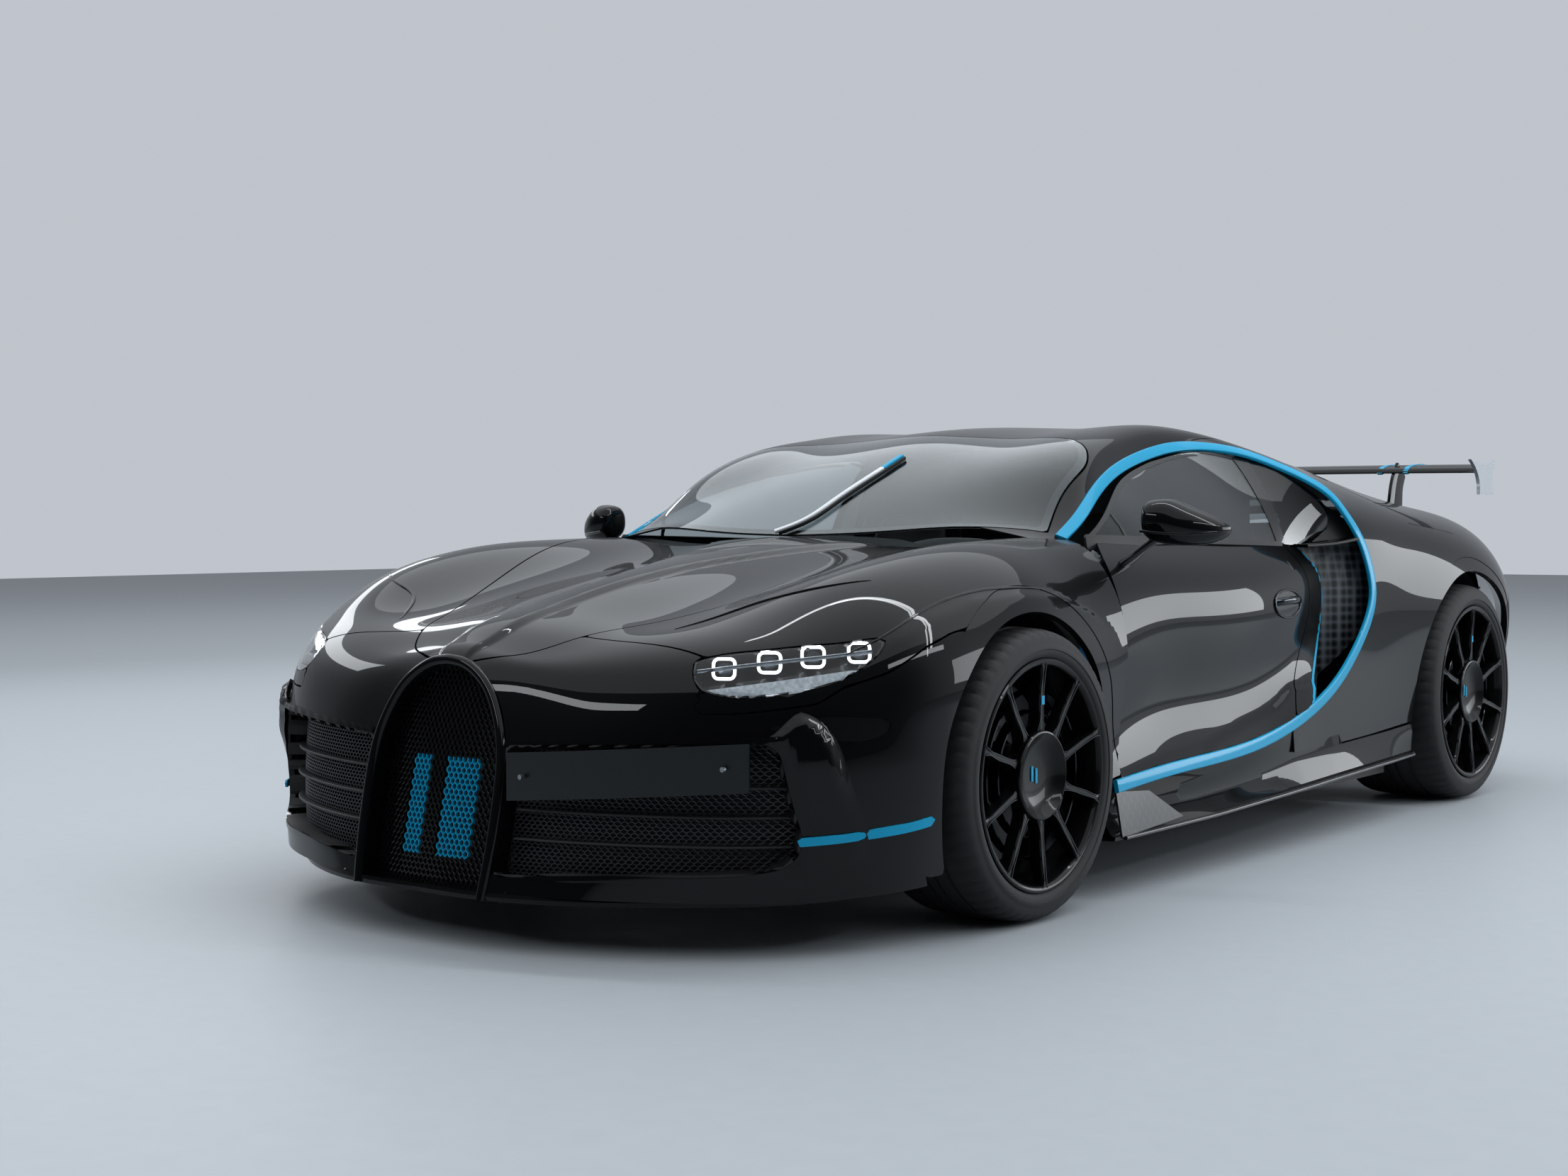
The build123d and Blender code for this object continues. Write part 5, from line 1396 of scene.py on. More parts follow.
@dataclass
class Wheel:
    """One road wheel with its tyre, brake disc and dished hub.

    Attributes:
        corner: its name, such as "front_left".
        side: +1 on the left.
        y: the axle's y, millimetres.
        middle: x of the tyre's middle plane.
        radius: of the tyre.
        width: of the tyre.
        seat: radius of the rim's seat.
        disc: radius of the brake disc.
        spokes: how many.
    """

    corner: str
    side: int
    y: float
    middle: float
    radius: float
    width: float
    seat: float
    disc: float
    spokes: int = 10

    def lathe(self, name: str, profile: Sequence[Sequence[float]], finish: Finish, count: int = 128,
              swell: Optional[Callable[[Array, Array, Array], Array]] = None) -> bpy.types.Object:
        """A piece turned about this wheel's axle from a closed profile of x from the middle plane, radius."""
        rows = [(self.middle + x, r) for x, r in profile]
        grid = turned(rows, self.side, self.y, self.radius, count, swell)
        return grid_object(name, grid, finish, wrap_rows=True, wrap_columns=True)

    def tyre(self) -> bpy.types.Object:
        """Tyre with four grooves round the tread, cross cuts in the shoulders and ribs on its walls."""
        half, top, seat = self.width / 2, self.radius, self.seat
        right = [
            (0.00, top), (half * 0.07, top), (half * 0.075, top - 6), (half * 0.125, top - 6),
            (half * 0.13, top),
            (half * 0.34, top - 0.6), (half * 0.345, top - 7), (half * 0.42, top - 7),
            (half * 0.425, top - 1.0),
            (half * 0.60, top - 2.2), (half * 0.72, top - 4.0), (half * 0.80, top - 6.5),
            (half * 0.87, top - 10.5),
            (half * 0.925, top - 17), (half * 0.955, top - 25), (half * 0.97, top - 33),
            (half * 0.985, top - 41),
            (half * 0.992, seat + 35), (half * 0.995, seat + 28), (half * 0.98, seat + 27),
            (half * 0.978, seat + 20),
            (half * 0.955, seat + 12), (half * 0.90, seat + 5.5), (half * 0.86, seat + 1.0),
            (half * 0.82, seat + 1.0), (half * 0.80, seat + 10), (half * 0.86, seat + 30),
            (half * 0.80, top - 24),
            (half * 0.55, top - 14), (0.0, top - 13),
        ]
        profile = right + [(-x, r) for x, r in right[-2:0:-1]]
        def cut(x: Array, r: Array, angle: Array) -> Array:
            """Cross cuts: slanting slots in the shoulder blocks, shallower towards the wall."""
            across = np.abs(x - self.middle) / half
            wave = np.sin(60 * angle + across * 5.0)
            shoulder = (across > 0.46) & (across < 0.93) & (r > top - 19)
            blocks = (across > 0.14) & (across < 0.33) & (r > top - 3)
            depth = np.where(shoulder, 5.0 * np.clip(1.25 - across, 0.3, 0.7) / 0.7, 0.0) + np.where(blocks,
                                                                                                     3.5, 0.0)
            return -depth * (wave > 0.78)

        return self.lathe(f"tyre_{self.corner}", profile, RUBBER, 300, cut)

    def rim(self) -> bpy.types.Object:
        """Barrel with stepped lips, closed by an inner well."""
        half, seat = self.width / 2, self.seat
        face = half - 6
        profile = [
            (face - 1, seat + 6), (face + 1, seat + 2), (face, seat - 4), (face - 3, seat - 8),
            (face - 12, seat - 11),
            (face - 30, seat - 14), (face - 60, seat - 24), (-face + 40, seat - 30), (-face + 16, seat - 12),
            (-face + 4, seat - 9), (-face, seat - 2), (-face, seat + 6), (-face + 5, seat + 6),
            (-face + 8, seat - 1),
            (-face + 30, seat - 3), (-face + 52, seat - 20), (face - 66, seat - 14), (face - 34, seat - 3),
            (face - 10, seat - 2), (face - 6, seat + 6),
        ]
        return self.lathe(f"rim_{self.corner}", profile, WHEEL_BLACK, 160)

    def ray(self, angle: float, rows: Array, section: Array, name: str,
            finish: Finish = WHEEL_BLACK) -> bpy.types.Object:
        """A spoke: a section carried out from the hub.

        Args:
            angle: where it points, radians.
            rows: radius, x from the middle plane, sideways offset, width, depth of points from hub to rim.
            section: outline scaled by width and depth.
            name: the piece's name.
            finish: its material.

        Returns:
            The spoke.
        """
        out = np.array([0.0, math.cos(angle), math.sin(angle)])
        over = np.array([0.0, -math.sin(angle), math.cos(angle)])
        fine = smooth_path(rows, 22)
        path = (
            np.array([self.side * self.middle, self.y, self.radius])
            + fine[:, :1] * out + fine[:, 2:3] * over + fine[:, 1:2] * np.array([self.side, 0.0, 0.0])
        ) * MM
        grid = swept(path, np.array([self.side, 0.0, 0.0]), section, fine[:, 3], fine[:, 4])
        return grid_object(name, grid, finish, wrap_columns=True, caps=True)

    def star(self) -> bpy.types.Object:
        """Blade spokes on a dished hub; declares their bright edges and the two arcs by itself."""
        half, seat = self.width / 2, self.seat
        section = rounded(1000, 1000, 220, 2)
        rows = np.array([
            (88, half - 39, 0, 0.052, 0.032), (102, half - 34, 0, 0.030, 0.034),
            (125, half - 31, 0, 0.017, 0.034),
            (170, half - 29, 1.5, 0.0135, 0.034), (215, half - 25, 2.5, 0.0125, 0.032),
            (seat - 16, half - 22, 2.0, 0.014, 0.030), (seat - 4, half - 22, 2.0, 0.022, 0.030),
        ])
        edges: list[bpy.types.Object] = []
        pieces = [
            self.ray(math.pi / 2 + k * 2 * math.pi / self.spokes, rows, section, f"spoke_{k}")
            for k in range(self.spokes)
        ]
        for k in range(2 * self.spokes):
            edge = rows[1:].copy()
            edge[:, 2] += (1 if k % 2 else -1) * (edge[:, 3] * 500 - 1.2)
            edge[:, 1] += 17.0
            edge[:, 3], edge[:, 4] = 0.0022, 0.0016
            angle = math.pi / 2 + (k // 2) * 2 * math.pi / self.spokes
            edges.append(self.ray(angle, edge, section[1::3], f"edge_{k}", BLACK_CHROME))
        for k, r in enumerate((seat * 0.56, seat * 0.74)):
            ring = [(half - 62, r - 2.2), (half - 38, r - 1.6), (half - 36, r), (half - 38, r + 1.6),
                    (half - 62, r + 2.2)]
            edges.append(self.lathe(f"arc_{k}", ring, BLACK_CHROME, 128))
        hub = [(half - 168, 0.5), (half - 168, 68), (half - 110, 66), (half - 70, 74), (half - 44, 84),
               (half - 30, 92),
               (half - 22, 98), (half - 20, 100), (half - 19, 101), (half - 16, 102), (half - 12, 103),
               (half - 9, 101.5), (half - 8, 98), (half - 11, 94), (half - 22, 82), (half - 31, 64),
               (half - 35, 40),
               (half - 36, 0.5)]
        pieces.append(self.lathe("hub", hub, WHEEL_BLACK, 96))
        place(joined(f"spoke_edges_{self.corner}", edges), f"wheel_{self.corner}_body", "bright_trim")
        return joined(f"star_{self.corner}", pieces)

    def brake(self) -> bpy.types.Object:
        """Ventilated disc: two faces with a grooved edge and a bell."""
        half, disc = self.width / 2, self.disc
        profile = [
            (half - 164, 78), (half - 165, disc - 2), (half - 163, disc), (half - 157, disc),
            (half - 156, disc - 6),
            (half - 149, disc - 6), (half - 148, disc), (half - 141, disc), (half - 139, disc - 2),
            (half - 140, 108),
            (half - 132, 100), (half - 128, 78),
        ]
        return self.lathe(f"disc_{self.corner}", profile, CERAMIC, 120)

    def mark(self) -> bpy.types.Object:
        """Two plain blue bars in the hub's dish and a blue dot on one spoke."""
        bars = []
        marks = ((34.4, -9, 3, 34, 9), (34.4, 9, -3, 34, 9), (11, 0, 173, 20, 13))
        for k, (deep, dy, dz, high, wide) in enumerate(marks):
            x, y, z = self.side * (self.middle + self.width / 2 - deep), self.y + dy, self.radius + dz
            path = np.array([[x, y, z - high / 2], [x, y, z + high / 2]])
            grid = swept(path * MM, np.array([self.side, 0.0, 0.0]), rounded(wide, 2.4, 0.8))
            bars.append(grid_object(f"bar_{k}", grid, BLUE, wrap_columns=True, caps=True))
        return joined(f"hub_mark_{self.corner}", bars)

    def build(self) -> None:
        body = f"wheel_{self.corner}_body"
        place(self.tyre(), body, "tyre", f"tyre_{self.corner}")
        place(self.rim(), body, "wheel_black", f"wheel_{self.corner}")
        place(self.star(), body, "wheel_black", f"wheel_{self.corner}")
        place(self.brake(), body, "cast_metal", f"wheel_{self.corner}")
        place(self.mark(), body, "accent_blue")


WHEELS = (
    Wheel("front_left", 1, FRONT_AXLE_Y, 874.5, 339.5, 285.0, 262.0, 210.0),
    Wheel("front_right", -1, FRONT_AXLE_Y, 874.5, 339.5, 285.0, 262.0, 210.0),
    Wheel("rear_left", 1, FRONT_AXLE_Y + WHEELBASE, 833.0, 355.5, 355.0, 275.0, 200.0),
    Wheel("rear_right", -1, FRONT_AXLE_Y + WHEELBASE, 833.0, 355.5, 355.0, 275.0, 200.0),
)


def bundle(name: str, grids: Array, finish: Finish) -> bpy.types.Object:
    """Many capped strands of the same make as one mesh.

    Args:
        name: the piece's name.
        grids: shape (strands, rows, columns, 3), metres, each strand a tube of closed sections.
        finish: its material.

    Returns:
        The object, shaded flat.
    """
    strands, rows, columns = grids.shape[:3]
    faces = grid_faces(rows, columns, False, True)
    first = np.arange(columns)
    ends = np.stack([first, first[::-1] + columns * (rows - 1)])
    shift = np.arange(strands)[:, None, None] * rows * columns
    quads = (faces[None] + shift).reshape(-1, 4)
    caps = (ends[None] + shift).reshape(-1, columns)
    mesh = bpy.data.meshes.new(name)
    mesh.from_pydata(grids.reshape(-1, 3).tolist(), [], quads.tolist() + caps.tolist())
    return finished_object(name, mesh, finish, smooth=False)


@dataclass
class Weave:
    """An open mesh of zigzag strands over a front view area.

    Attributes:
        pitch: width of a cell, millimetres.
        rise: height of a cell.
        wide: width of a strand.
        deep: depth of a strand.
    """

    pitch: float
    rise: float
    wide: float
    deep: float

    def strands(self, x_span: tuple[float, float], z_span: tuple[float, float],
                inside: Callable[[Array, Array], Array],
                station: Callable[[Array, Array], Array], name: str,
                finish: Finish) -> Optional[bpy.types.Object]:
        """Builds the three-sided strand pieces whose both ends lie inside the area.

        Neighbouring strands swing to opposite sides and touch at each turn, which leaves six-sided cells.

        Args:
            x_span: least and greatest x.
            z_span: least and greatest z.
            inside: distance inside the area for arrays of x and z.
            station: station of the mesh for arrays of x and z.
            name: the piece's name.
            finish: its material.

        Returns:
            The mesh, or nothing when no strand lies inside.
        """
        columns = np.arange(x_span[0], x_span[1], self.pitch / 2)
        levels = np.arange(z_span[0], z_span[1] + self.rise, self.rise / 4)
        swing = np.interp(np.mod(np.arange(len(levels)), 4), [0, 1, 2, 3],
                          [1, 1, -1, -1]) * (self.pitch / 4 - 0.35)
        side = np.where(np.arange(len(columns)) % 2, 1, -1)[:, None]
        x = columns[:, None] + side * swing[None, :]
        z = np.broadcast_to(levels[None, :], x.shape)
        keep = inside(x, z) > 0
        both_ends = keep[:, :-1] & keep[:, 1:]
        a = np.stack([station(x, z), x, z], -1)
        start, end = a[:, :-1][both_ends], a[:, 1:][both_ends]
        if not len(start):
            return None
        path = placed(np.stack([start, end], 1))
        along = unit(path[:, 1] - path[:, 0])
        ahead = np.array([0.0, -1.0, 0.0])
        across = unit(np.cross(along, ahead))
        back = np.cross(across, along)
        corners = np.array([(0, -1), (1, 1), (-1, 1)]) * np.array([self.wide, self.deep]) * MM / 2
        offset = across[:, None] * corners[None, :, :1] + back[:, None] * corners[None, :, 1:]
        reach = (along * self.wide * MM / 2)[:, None]
        grids = np.stack([path[:, 0:1] + offset - reach, path[:, 1:2] + offset + reach], 1)
        return bundle(name, grids, finish)


@dataclass
class FrontFace:
    """The nose seen from ahead: the station at which its surface stands for an x and a z.

    Attributes:
        patch: the front body surface.
        sink: how far behind the surface to stand, millimetres.
    """

    patch: Patch
    sink: float
    xs: Array = field(init=False)
    zs: Array = field(init=False)
    table: Array = field(init=False)

    def __post_init__(self) -> None:
        """Tabulates the moved surface's station over x and height."""
        moved = self.patch.moved(-self.sink)
        left = moved.x[len(moved.x) // 2] > 5
        x, z, s = moved.x[:, left], moved.z[:, left], moved.station[:, left]
        self.xs, self.zs = np.linspace(150, 960, 82), np.linspace(140, 700, 57)
        rows = []
        for height in self.zs:
            near_x = np.array([np.interp(height, zz, xx) for xx, zz in zip(x, z)])
            near_s = np.array([np.interp(height, zz, ss) for ss, zz in zip(s, z)])
            order = np.maximum.accumulate(near_x)
            rows.append(np.interp(self.xs, order, near_s))
        self.table = np.array(rows)

    def station(self, x: Array, z: Array) -> Array:
        """Station of the surface at x and z, by straight interpolation in a table."""
        u = np.clip((np.abs(x) - self.xs[0]) / (self.xs[1] - self.xs[0]), 0, len(self.xs) - 1.001)
        v = np.clip((z - self.zs[0]) / (self.zs[1] - self.zs[0]), 0, len(self.zs) - 1.001)
        i, j = u.astype(int), v.astype(int)
        a, b = u - i, v - j
        t = self.table
        return (t[j, i] * (1 - a) + t[j, i + 1] * a) * (1 - b) + (t[j + 1, i] * (1 - a) + t[j + 1,
                                                                                            i + 1] * a) * b


def in_opening(x: Array, z: Array) -> Array:
    """Distance inside the bumper opening for front view points."""
    outline = np.concatenate([smooth_path(OPENING, 90), [(214, 180), (214, 430)]])
    return closed_distance(outline, np.abs(x), z)


def in_horseshoe(x: Array, z: Array) -> Array:
    """Distance inside the horseshoe for front view points."""
    half = smooth_path(HORSESHOE, 60)
    outline = np.concatenate([half, [(208, 60), (-208, 60)], (half * [-1, 1])[:0:-1]])
    return closed_distance(outline, x, z)


@dataclass
class NoseTrim:
    """Horseshoe frame and mesh, bumper openings with their meshes, plate, stripes, curls and splitter.

    Attributes:
        surfaces: the shared body surfaces.
        rim: width of the horseshoe's frame, millimetres; not used.
    """

    surfaces: BodySurfaces
    rim: float = 24.0

    def plane(self, z: Array) -> Array:
        """Station of the horseshoe's leaning front plane at a height."""
        return -957 + 0.2 * (np.asarray(z) - 300)

    def build(self) -> None:
        """Builds and declares all trims of the nose."""
        self.horseshoe()
        self.openings()
        self.opening_frame()
        self.plate()
        self.accents()
        self.splitter()

    def horseshoe(self) -> None:
        """Thick rounded frame swept round the horseshoe, woven mesh inside, plain blue bars on it."""
        half = smooth_path(((0, 612), (44, 607), (80, 594), (114, 573), (144, 545), (170, 506), (190, 463),
                            (203, 416),
                            (209, 358), (210, 290), (208, 210), (199, 104)), 70)
        loop = np.concatenate([half[::-1], (half * [-1, 1])[1:]])
        path = placed(np.stack([self.plane(loop[:, 1]) + 22, loop[:, 0], loop[:, 1]], 1))
        section = rounded(26, 64, 11, 4)
        frame_piece = grid_object("horseshoe_frame", swept(path, (0, -0.98, 0.2), section), PAINT,
                                  wrap_columns=True,
                                  caps=True)
        place(frame_piece, BODY, "black_trim", "grille_surround")
        weave = Weave(15.0, 24.0, 2.2, 8.0)

        def bars(x: Array, z: Array) -> Array:
            """Distance inside two upright bars, the right one wider."""
            tall = np.minimum(z - 178, 400 - z)
            narrow = 30 - np.abs(x + 74)
            wide = 50 - np.abs(x - 58)
            return np.minimum(tall, np.maximum(narrow, wide))

        def field_of(x: Array, z: Array) -> Array:
            """Station of the woven mesh, a little dished."""
            return self.plane(z) + 34 + 0.0004 * x * x

        black = weave.strands((-212, 212), (104, 612), lambda x,
                              z: np.minimum(in_horseshoe(x, z) - 16, -bars(x, z)),
                              field_of, "horseshoe_mesh", GLOSS_ABS)
        blue = weave.strands((-212, 212), (104, 612), lambda x,
                             z: np.minimum(in_horseshoe(x, z) - 16, bars(x, z)),
                             lambda x, z: field_of(x, z) - 0.6, "mesh_bars", BLUE)
        place(black, BODY, "black_trim", "grille_mesh")
        place(blue, BODY, "accent_blue")
        z = np.linspace(100, 612, 30)
        x = np.linspace(-216, 216, 24)
        grid = np.stack(np.meshgrid(x, z), -1)
        sheet_patch = placed(np.stack([self.plane(grid[..., 1]) + 72, grid[..., 0], grid[..., 1]], -1))
        backing = Patch(sheet_patch, grid_normals(sheet_patch))
        panel("horseshoe_back", trim(backing, in_horseshoe(grid[..., 0], grid[..., 1]) - 12), 4.0, ABS, BODY,
              "black_trim")

    def openings(self) -> None:
        """Walls of the bumper openings, their woven meshes, a backing sheet behind them and three slats
        across each.
        """
        s, f = self.surfaces, self.surfaces.front
        opening = s.opening(f)
        wall = least(opening + 1.5, 5 - opening, -s.horseshoe(f) - 1, np.abs(f.x) - 214)
        panel("opening_wall", trim(f.moved(0.6), wall), 62.0, ABS, BODY, "black_trim")
        face = FrontFace(f, 52.0)
        weave = Weave(15.0, 16.0, 2.4, 7.0)
        meshes = [
            weave.strands((low, high), (150, 462), lambda x, z: in_opening(x, z) + 6, face.station,
                          f"mesh_{k}", STONE)
            for k, (low, high) in enumerate(((-860, -226), (226, 860)))
        ]
        place(joined("bumper_mesh", [m for m in meshes if m]), BODY, "black_trim", "intake_meshes")
        deep = least(opening + 8, np.abs(f.x) - 214)
        panel("opening_back", trim(f.moved(-88), deep), 4.0, ABS, BODY, "black_trim")
        slats = []
        for k, z in enumerate((238, 300, 362)):
            x = np.linspace(240, 792, 40)
            keep = in_opening(x, np.full_like(x, z)) > 4
            rows = np.stack([face.station(x, np.full_like(x, z)) - 14, x, np.full_like(x, z)], 1)[keep]
            slats.append(bar(f"slat_{k}", rows, rounded(20, 6, 2.5), ABS, count=len(rows)))
        place(both(joined("slats", slats), "opening_slats"), BODY, "black_trim", "intake_slats")

    def opening_frame(self) -> None:
        """Raised frame round each bumper opening, widened to a pod at its outer end."""
        s, f = self.surfaces, self.surfaces.front
        outside = -s.opening(f)
        width = 15 + 68 * smoothstep((np.abs(f.x) - 775) / 55) * smoothstep((f.z - 175) / 30)
        band = least(outside - 0.5, width - outside, s.arch(f, LIP) - 30, -555 - f.station,
                     -s.horseshoe(f) - 14,
                     f.z - 160)
        pod = smoothstep((f.z - 300) / 120) * smoothstep((np.abs(f.x) - 520) / 260)
        edge = smoothstep(band / 18)
        panel("opening_frame", trim(embossed(f, (6 + 22 * pod) * (0.35 + 0.65 * edge)), band), 14.0, PAINT,
              BODY,
              "paint_black")

    def plate(self) -> None:
        """Blank dark plate that follows the bumper from the horseshoe outwards."""
        corners = np.array([[(-966, 252, 325), (-966, 252, 428)], [(-784, 778, 362), (-784, 778, 464)]],
                           float)
        t = np.linspace(0, 1, 14)
        rows = corners[0][None] * (1 - t)[:, None, None] + corners[1][None] * t[:, None, None]
        rows[..., 0] -= (26 * 4 * t * (1 - t))[:, None]
        front = placed(rows)
        back = front + np.array([-0.3, 0.95, 0.0]) * 0.006
        loop = np.stack([front[:, 0], front[:, 1], back[:, 1], back[:, 0]], 1)
        place(grid_object("blank_plate", loop, PLATE, wrap_columns=True, caps=True), BODY, "black_trim",
              "number_plate")
        bolts = [
            bar(f"plate_bolt_{k}", [(-968 + dx, x, z), (-976 + dx, x, z)], ellipse(11, 11, 12), BRUSHED,
                lift=(0, 0, 1))
            for k, (dx, x, z) in enumerate(((2, 300, 380), (150, 740, 412)))
        ]
        place(joined("plate_bolts", bolts), BODY, "bright_trim")

    def accents(self) -> None:
        """Blue stripes on the bumper's corners, the curl above them and the fine crease lines."""
        f = self.surfaces.front
        for name, rows, half in (("stripe_front", ((-690, 254), (-620, 258), (-566, 263)), 9.0),
                                 ("stripe_rear", ((-561, 262), (-480, 269), (-396, 279)), 10.5)):
            ends = np.asarray(rows, float)
            middle = np.interp(f.station, ends[:, 0], ends[:, 1])
            for side_name, side in (("left", 1), ("right", -1)):
                band = least(half - np.abs(f.z - middle), f.station - ends[0, 0], ends[-1, 0] - f.station,
                             side * f.x)
                high = 12.0 if name == "stripe_front" else 3.0
                panel(f"{name}_{side_name}", trim(f.moved(high), band), 5.0, BLUE, BODY, "accent_blue")
        curl = smooth_path(((756, 491), (804, 506), (855, 517), (911, 514), (938, 505), (945, 492),
                            (939, 471),
                            (909, 455), (879, 458), (815, 474), (756, 491)), 60)
        inside = np.minimum(closed_distance(curl, np.abs(f.x), f.z), -430 - f.station)
        creases = [
            lying(f"crease_{k}", f, rows, rounded(wide, high, 2.0), PAINT)
            for k, (rows, wide, high) in enumerate((
                (((-640, 452, 680), (-560, 505, 712), (-501, 558, 738), (-467, 640, 755), (-430, 720, 772),
                  (-374, 793, 793)), 9, 7),
                (((-560, 862, 640), (-483, 896, 674), (-354, 915, 727), (-196, 925, 762), (-20, 940, 772),
                  (140, 938, 762)), 7, 5),
            ))
        ]
        place(both(joined("creases", creases), "wing_creases"), BODY, "paint_black")
        panel("curl_insert", trim(f.moved(1.2), inside - 5), 3.0, GLOSS_ABS, BODY, "black_trim")
        panel("curl_rim", trim(f.moved(3.0), least(inside, 5.5 - inside)), 8.0, PAINT, BODY, "paint_black")

    def splitter(self) -> None:
        """Splitter blade round the nose with a raised lip, and two fins beside the horseshoe on each side."""
        edge = smooth_path(((-997, 0), (-994, 205), (-962, 340), (-900, 480), (-804, 622), (-690, 748),
                            (-552, 848),
                            (-405, 905)), 60)
        inner = edge.copy()
        inner[:, 0] += 150
        inner[:, 1] = np.maximum(edge[:, 1] - 150, 0)
        lip = smooth_path(((0, 130), (200, 130), (480, 132), (745, 136), (884, 150)), 60)[:, 1]
        rows = np.stack([
            np.stack([edge[:, 0], edge[:, 1], lip - 4], 1),
            np.stack([edge[:, 0] - 3, edge[:, 1] + 1, lip - 12], 1),
            np.stack([edge[:, 0], edge[:, 1], lip - 22], 1),
            np.stack([inner[:, 0], inner[:, 1], lip - 22], 1),
            np.stack([inner[:, 0], inner[:, 1], lip - 8], 1),
            np.stack([edge[:, 0] + 34, edge[:, 1] - 20, lip - 8], 1),
        ], 1)
        rows = np.concatenate([rows[:0:-1] * [1, -1, 1], rows])
        place(grid_object("splitter_blade", placed(rows), PAINT, wrap_columns=True, caps=True), BODY,
              "carbon_trim", "splitter")
        fins = []
        for k, (x, low, high) in enumerate(((232, 128, 170), (262, 128, 150))):
            side = np.array([(-984, low), (-900, low), (-905, low + 26), (-955, high)], float)
            faces = [np.stack([side[:, 0], np.full(4, x + dx), side[:, 1]], 1) for dx in (-2.5, 2.5)]
            fins.append(grid_object(f"fin_{k}", placed(np.stack(faces)), GLOSS_ABS, wrap_columns=True,
                                    caps=True))
        place(both(joined("fins", fins), "splitter_fins"), BODY, "carbon_trim")


@dataclass
class Lamps:
    """Headlamps: a clear cover over a dark housing with four square light guides.

    Attributes:
        surfaces: the shared body surfaces.
        size: of a light guide, millimetres.
        tube: width of its lit frame.
    """

    surfaces: BodySurfaces
    size: float = 47.0
    tube: float = 6.5

    def build(self) -> None:
        """Builds both lamps."""
        s = self.surfaces
        fine = Skin(FRONT_BODY, leaning=True).patch(-957, -300, 7, 7)
        f = embossed(fine, s.spine(fine) + s.flare(fine))
        inside = s.lamp(f)
        for name, side in (("left", 1), ("right", -1)):
            own = side * f.x
            panel(f"lamp_cover_{name}", trim(f.moved(-0.5), least(inside - 1, own)), 2.0, LENS, BODY, "lamp",
                  "headlamps")
            wall = least(inside + 1, 3.5 - inside, own)
            panel(f"lamp_wall_{name}", trim(f.moved(-2.8), wall), 58.0, GLOSS_ABS, BODY, "black_trim")
            panel(f"lamp_bed_{name}", trim(f.moved(-56), least(inside + 1, own)), 3.0, GLOSS_ABS, BODY,
                  "black_trim",
                  "lamp_bowls")
            shelf = least(inside - 2, own, 579 + (np.abs(f.x) - 640) * 0.16 - f.z)
            panel(f"lamp_shelf_{name}", trim(f.moved(-30), shelf), 4.0, REFLECTOR, BODY, "lamp")
        self.guides()

    def square(self, centre: Sequence[float], normal: Sequence[float], size: float, section: Array, name: str,
               finish: Finish) -> bpy.types.Object:
        """A rounded square ring about a normal: the section swept round a rounded square path."""
        normal = unit(np.asarray(normal, float))
        over = unit(np.cross([0.0, 0.0, 1.0], normal))
        up = np.cross(normal, over)
        loop = rounded(size, size * 0.9, size * 0.24, 5)
        middle = placed(np.asarray(centre, float))
        path = middle + loop[:, :1] * over + loop[:, 1:] * up
        along = unit(np.roll(path, -1, axis=0) - np.roll(path, 1, axis=0))
        side = np.cross(along, normal)
        grid = path[:, None] + side[:, None] * section[None, :, :1] + normal * section[None, :, 1:]
        return grid_object(name, grid, finish, wrap_rows=True, wrap_columns=True)

    def guides(self) -> None:
        """Four lit square frames with lens cups behind them and a bright link bar, mirrored."""
        centres = ((-733, 664, 615), (-675, 741, 628), (-612, 809, 639), (-534, 873, 647))
        lit, cups = [], []
        for k, (station, x, z) in enumerate(centres):
            outward = (0.42 + 0.10 * k, -0.88, 0.16)
            size = self.size - 2 * (k == 3)
            place_at = (station + 13, x - 5, z - 4)
            lit.append(self.square(place_at, outward, size, rounded(self.tube, 5, 1.8, 2), f"guide_{k}", LED))
            back = np.asarray(placed(np.asarray(place_at, float)))
            toward = unit(np.asarray(outward, float))
            depth = np.array([-0.006, -0.010, -0.018, -0.026, -0.032])
            path = back[None] + toward[None] * depth[:, None]
            grid = swept(path, (0, 0, 1), ellipse(1000, 1000, 24),
                         np.array([0.031, 0.030, 0.024, 0.014, 0.004]),
                         np.array([0.028, 0.027, 0.022, 0.012, 0.004]))
            cups.append(grid_object(f"cup_{k}", grid, REFLECTOR, wrap_columns=True, caps=True))
        place(both(joined("guides", lit), "light_guides"), BODY, "lamp", "lamp_lights")
        cups.append(bar("link", [(-764, 622, 606), (-700, 704, 618), (-640, 776, 628), (-572, 841, 637),
                                 (-505, 890, 645)], rounded(5, 9, 2), REFLECTOR, count=24))
        place(both(joined("cups", cups), "lamp_cups"), BODY, "lamp")


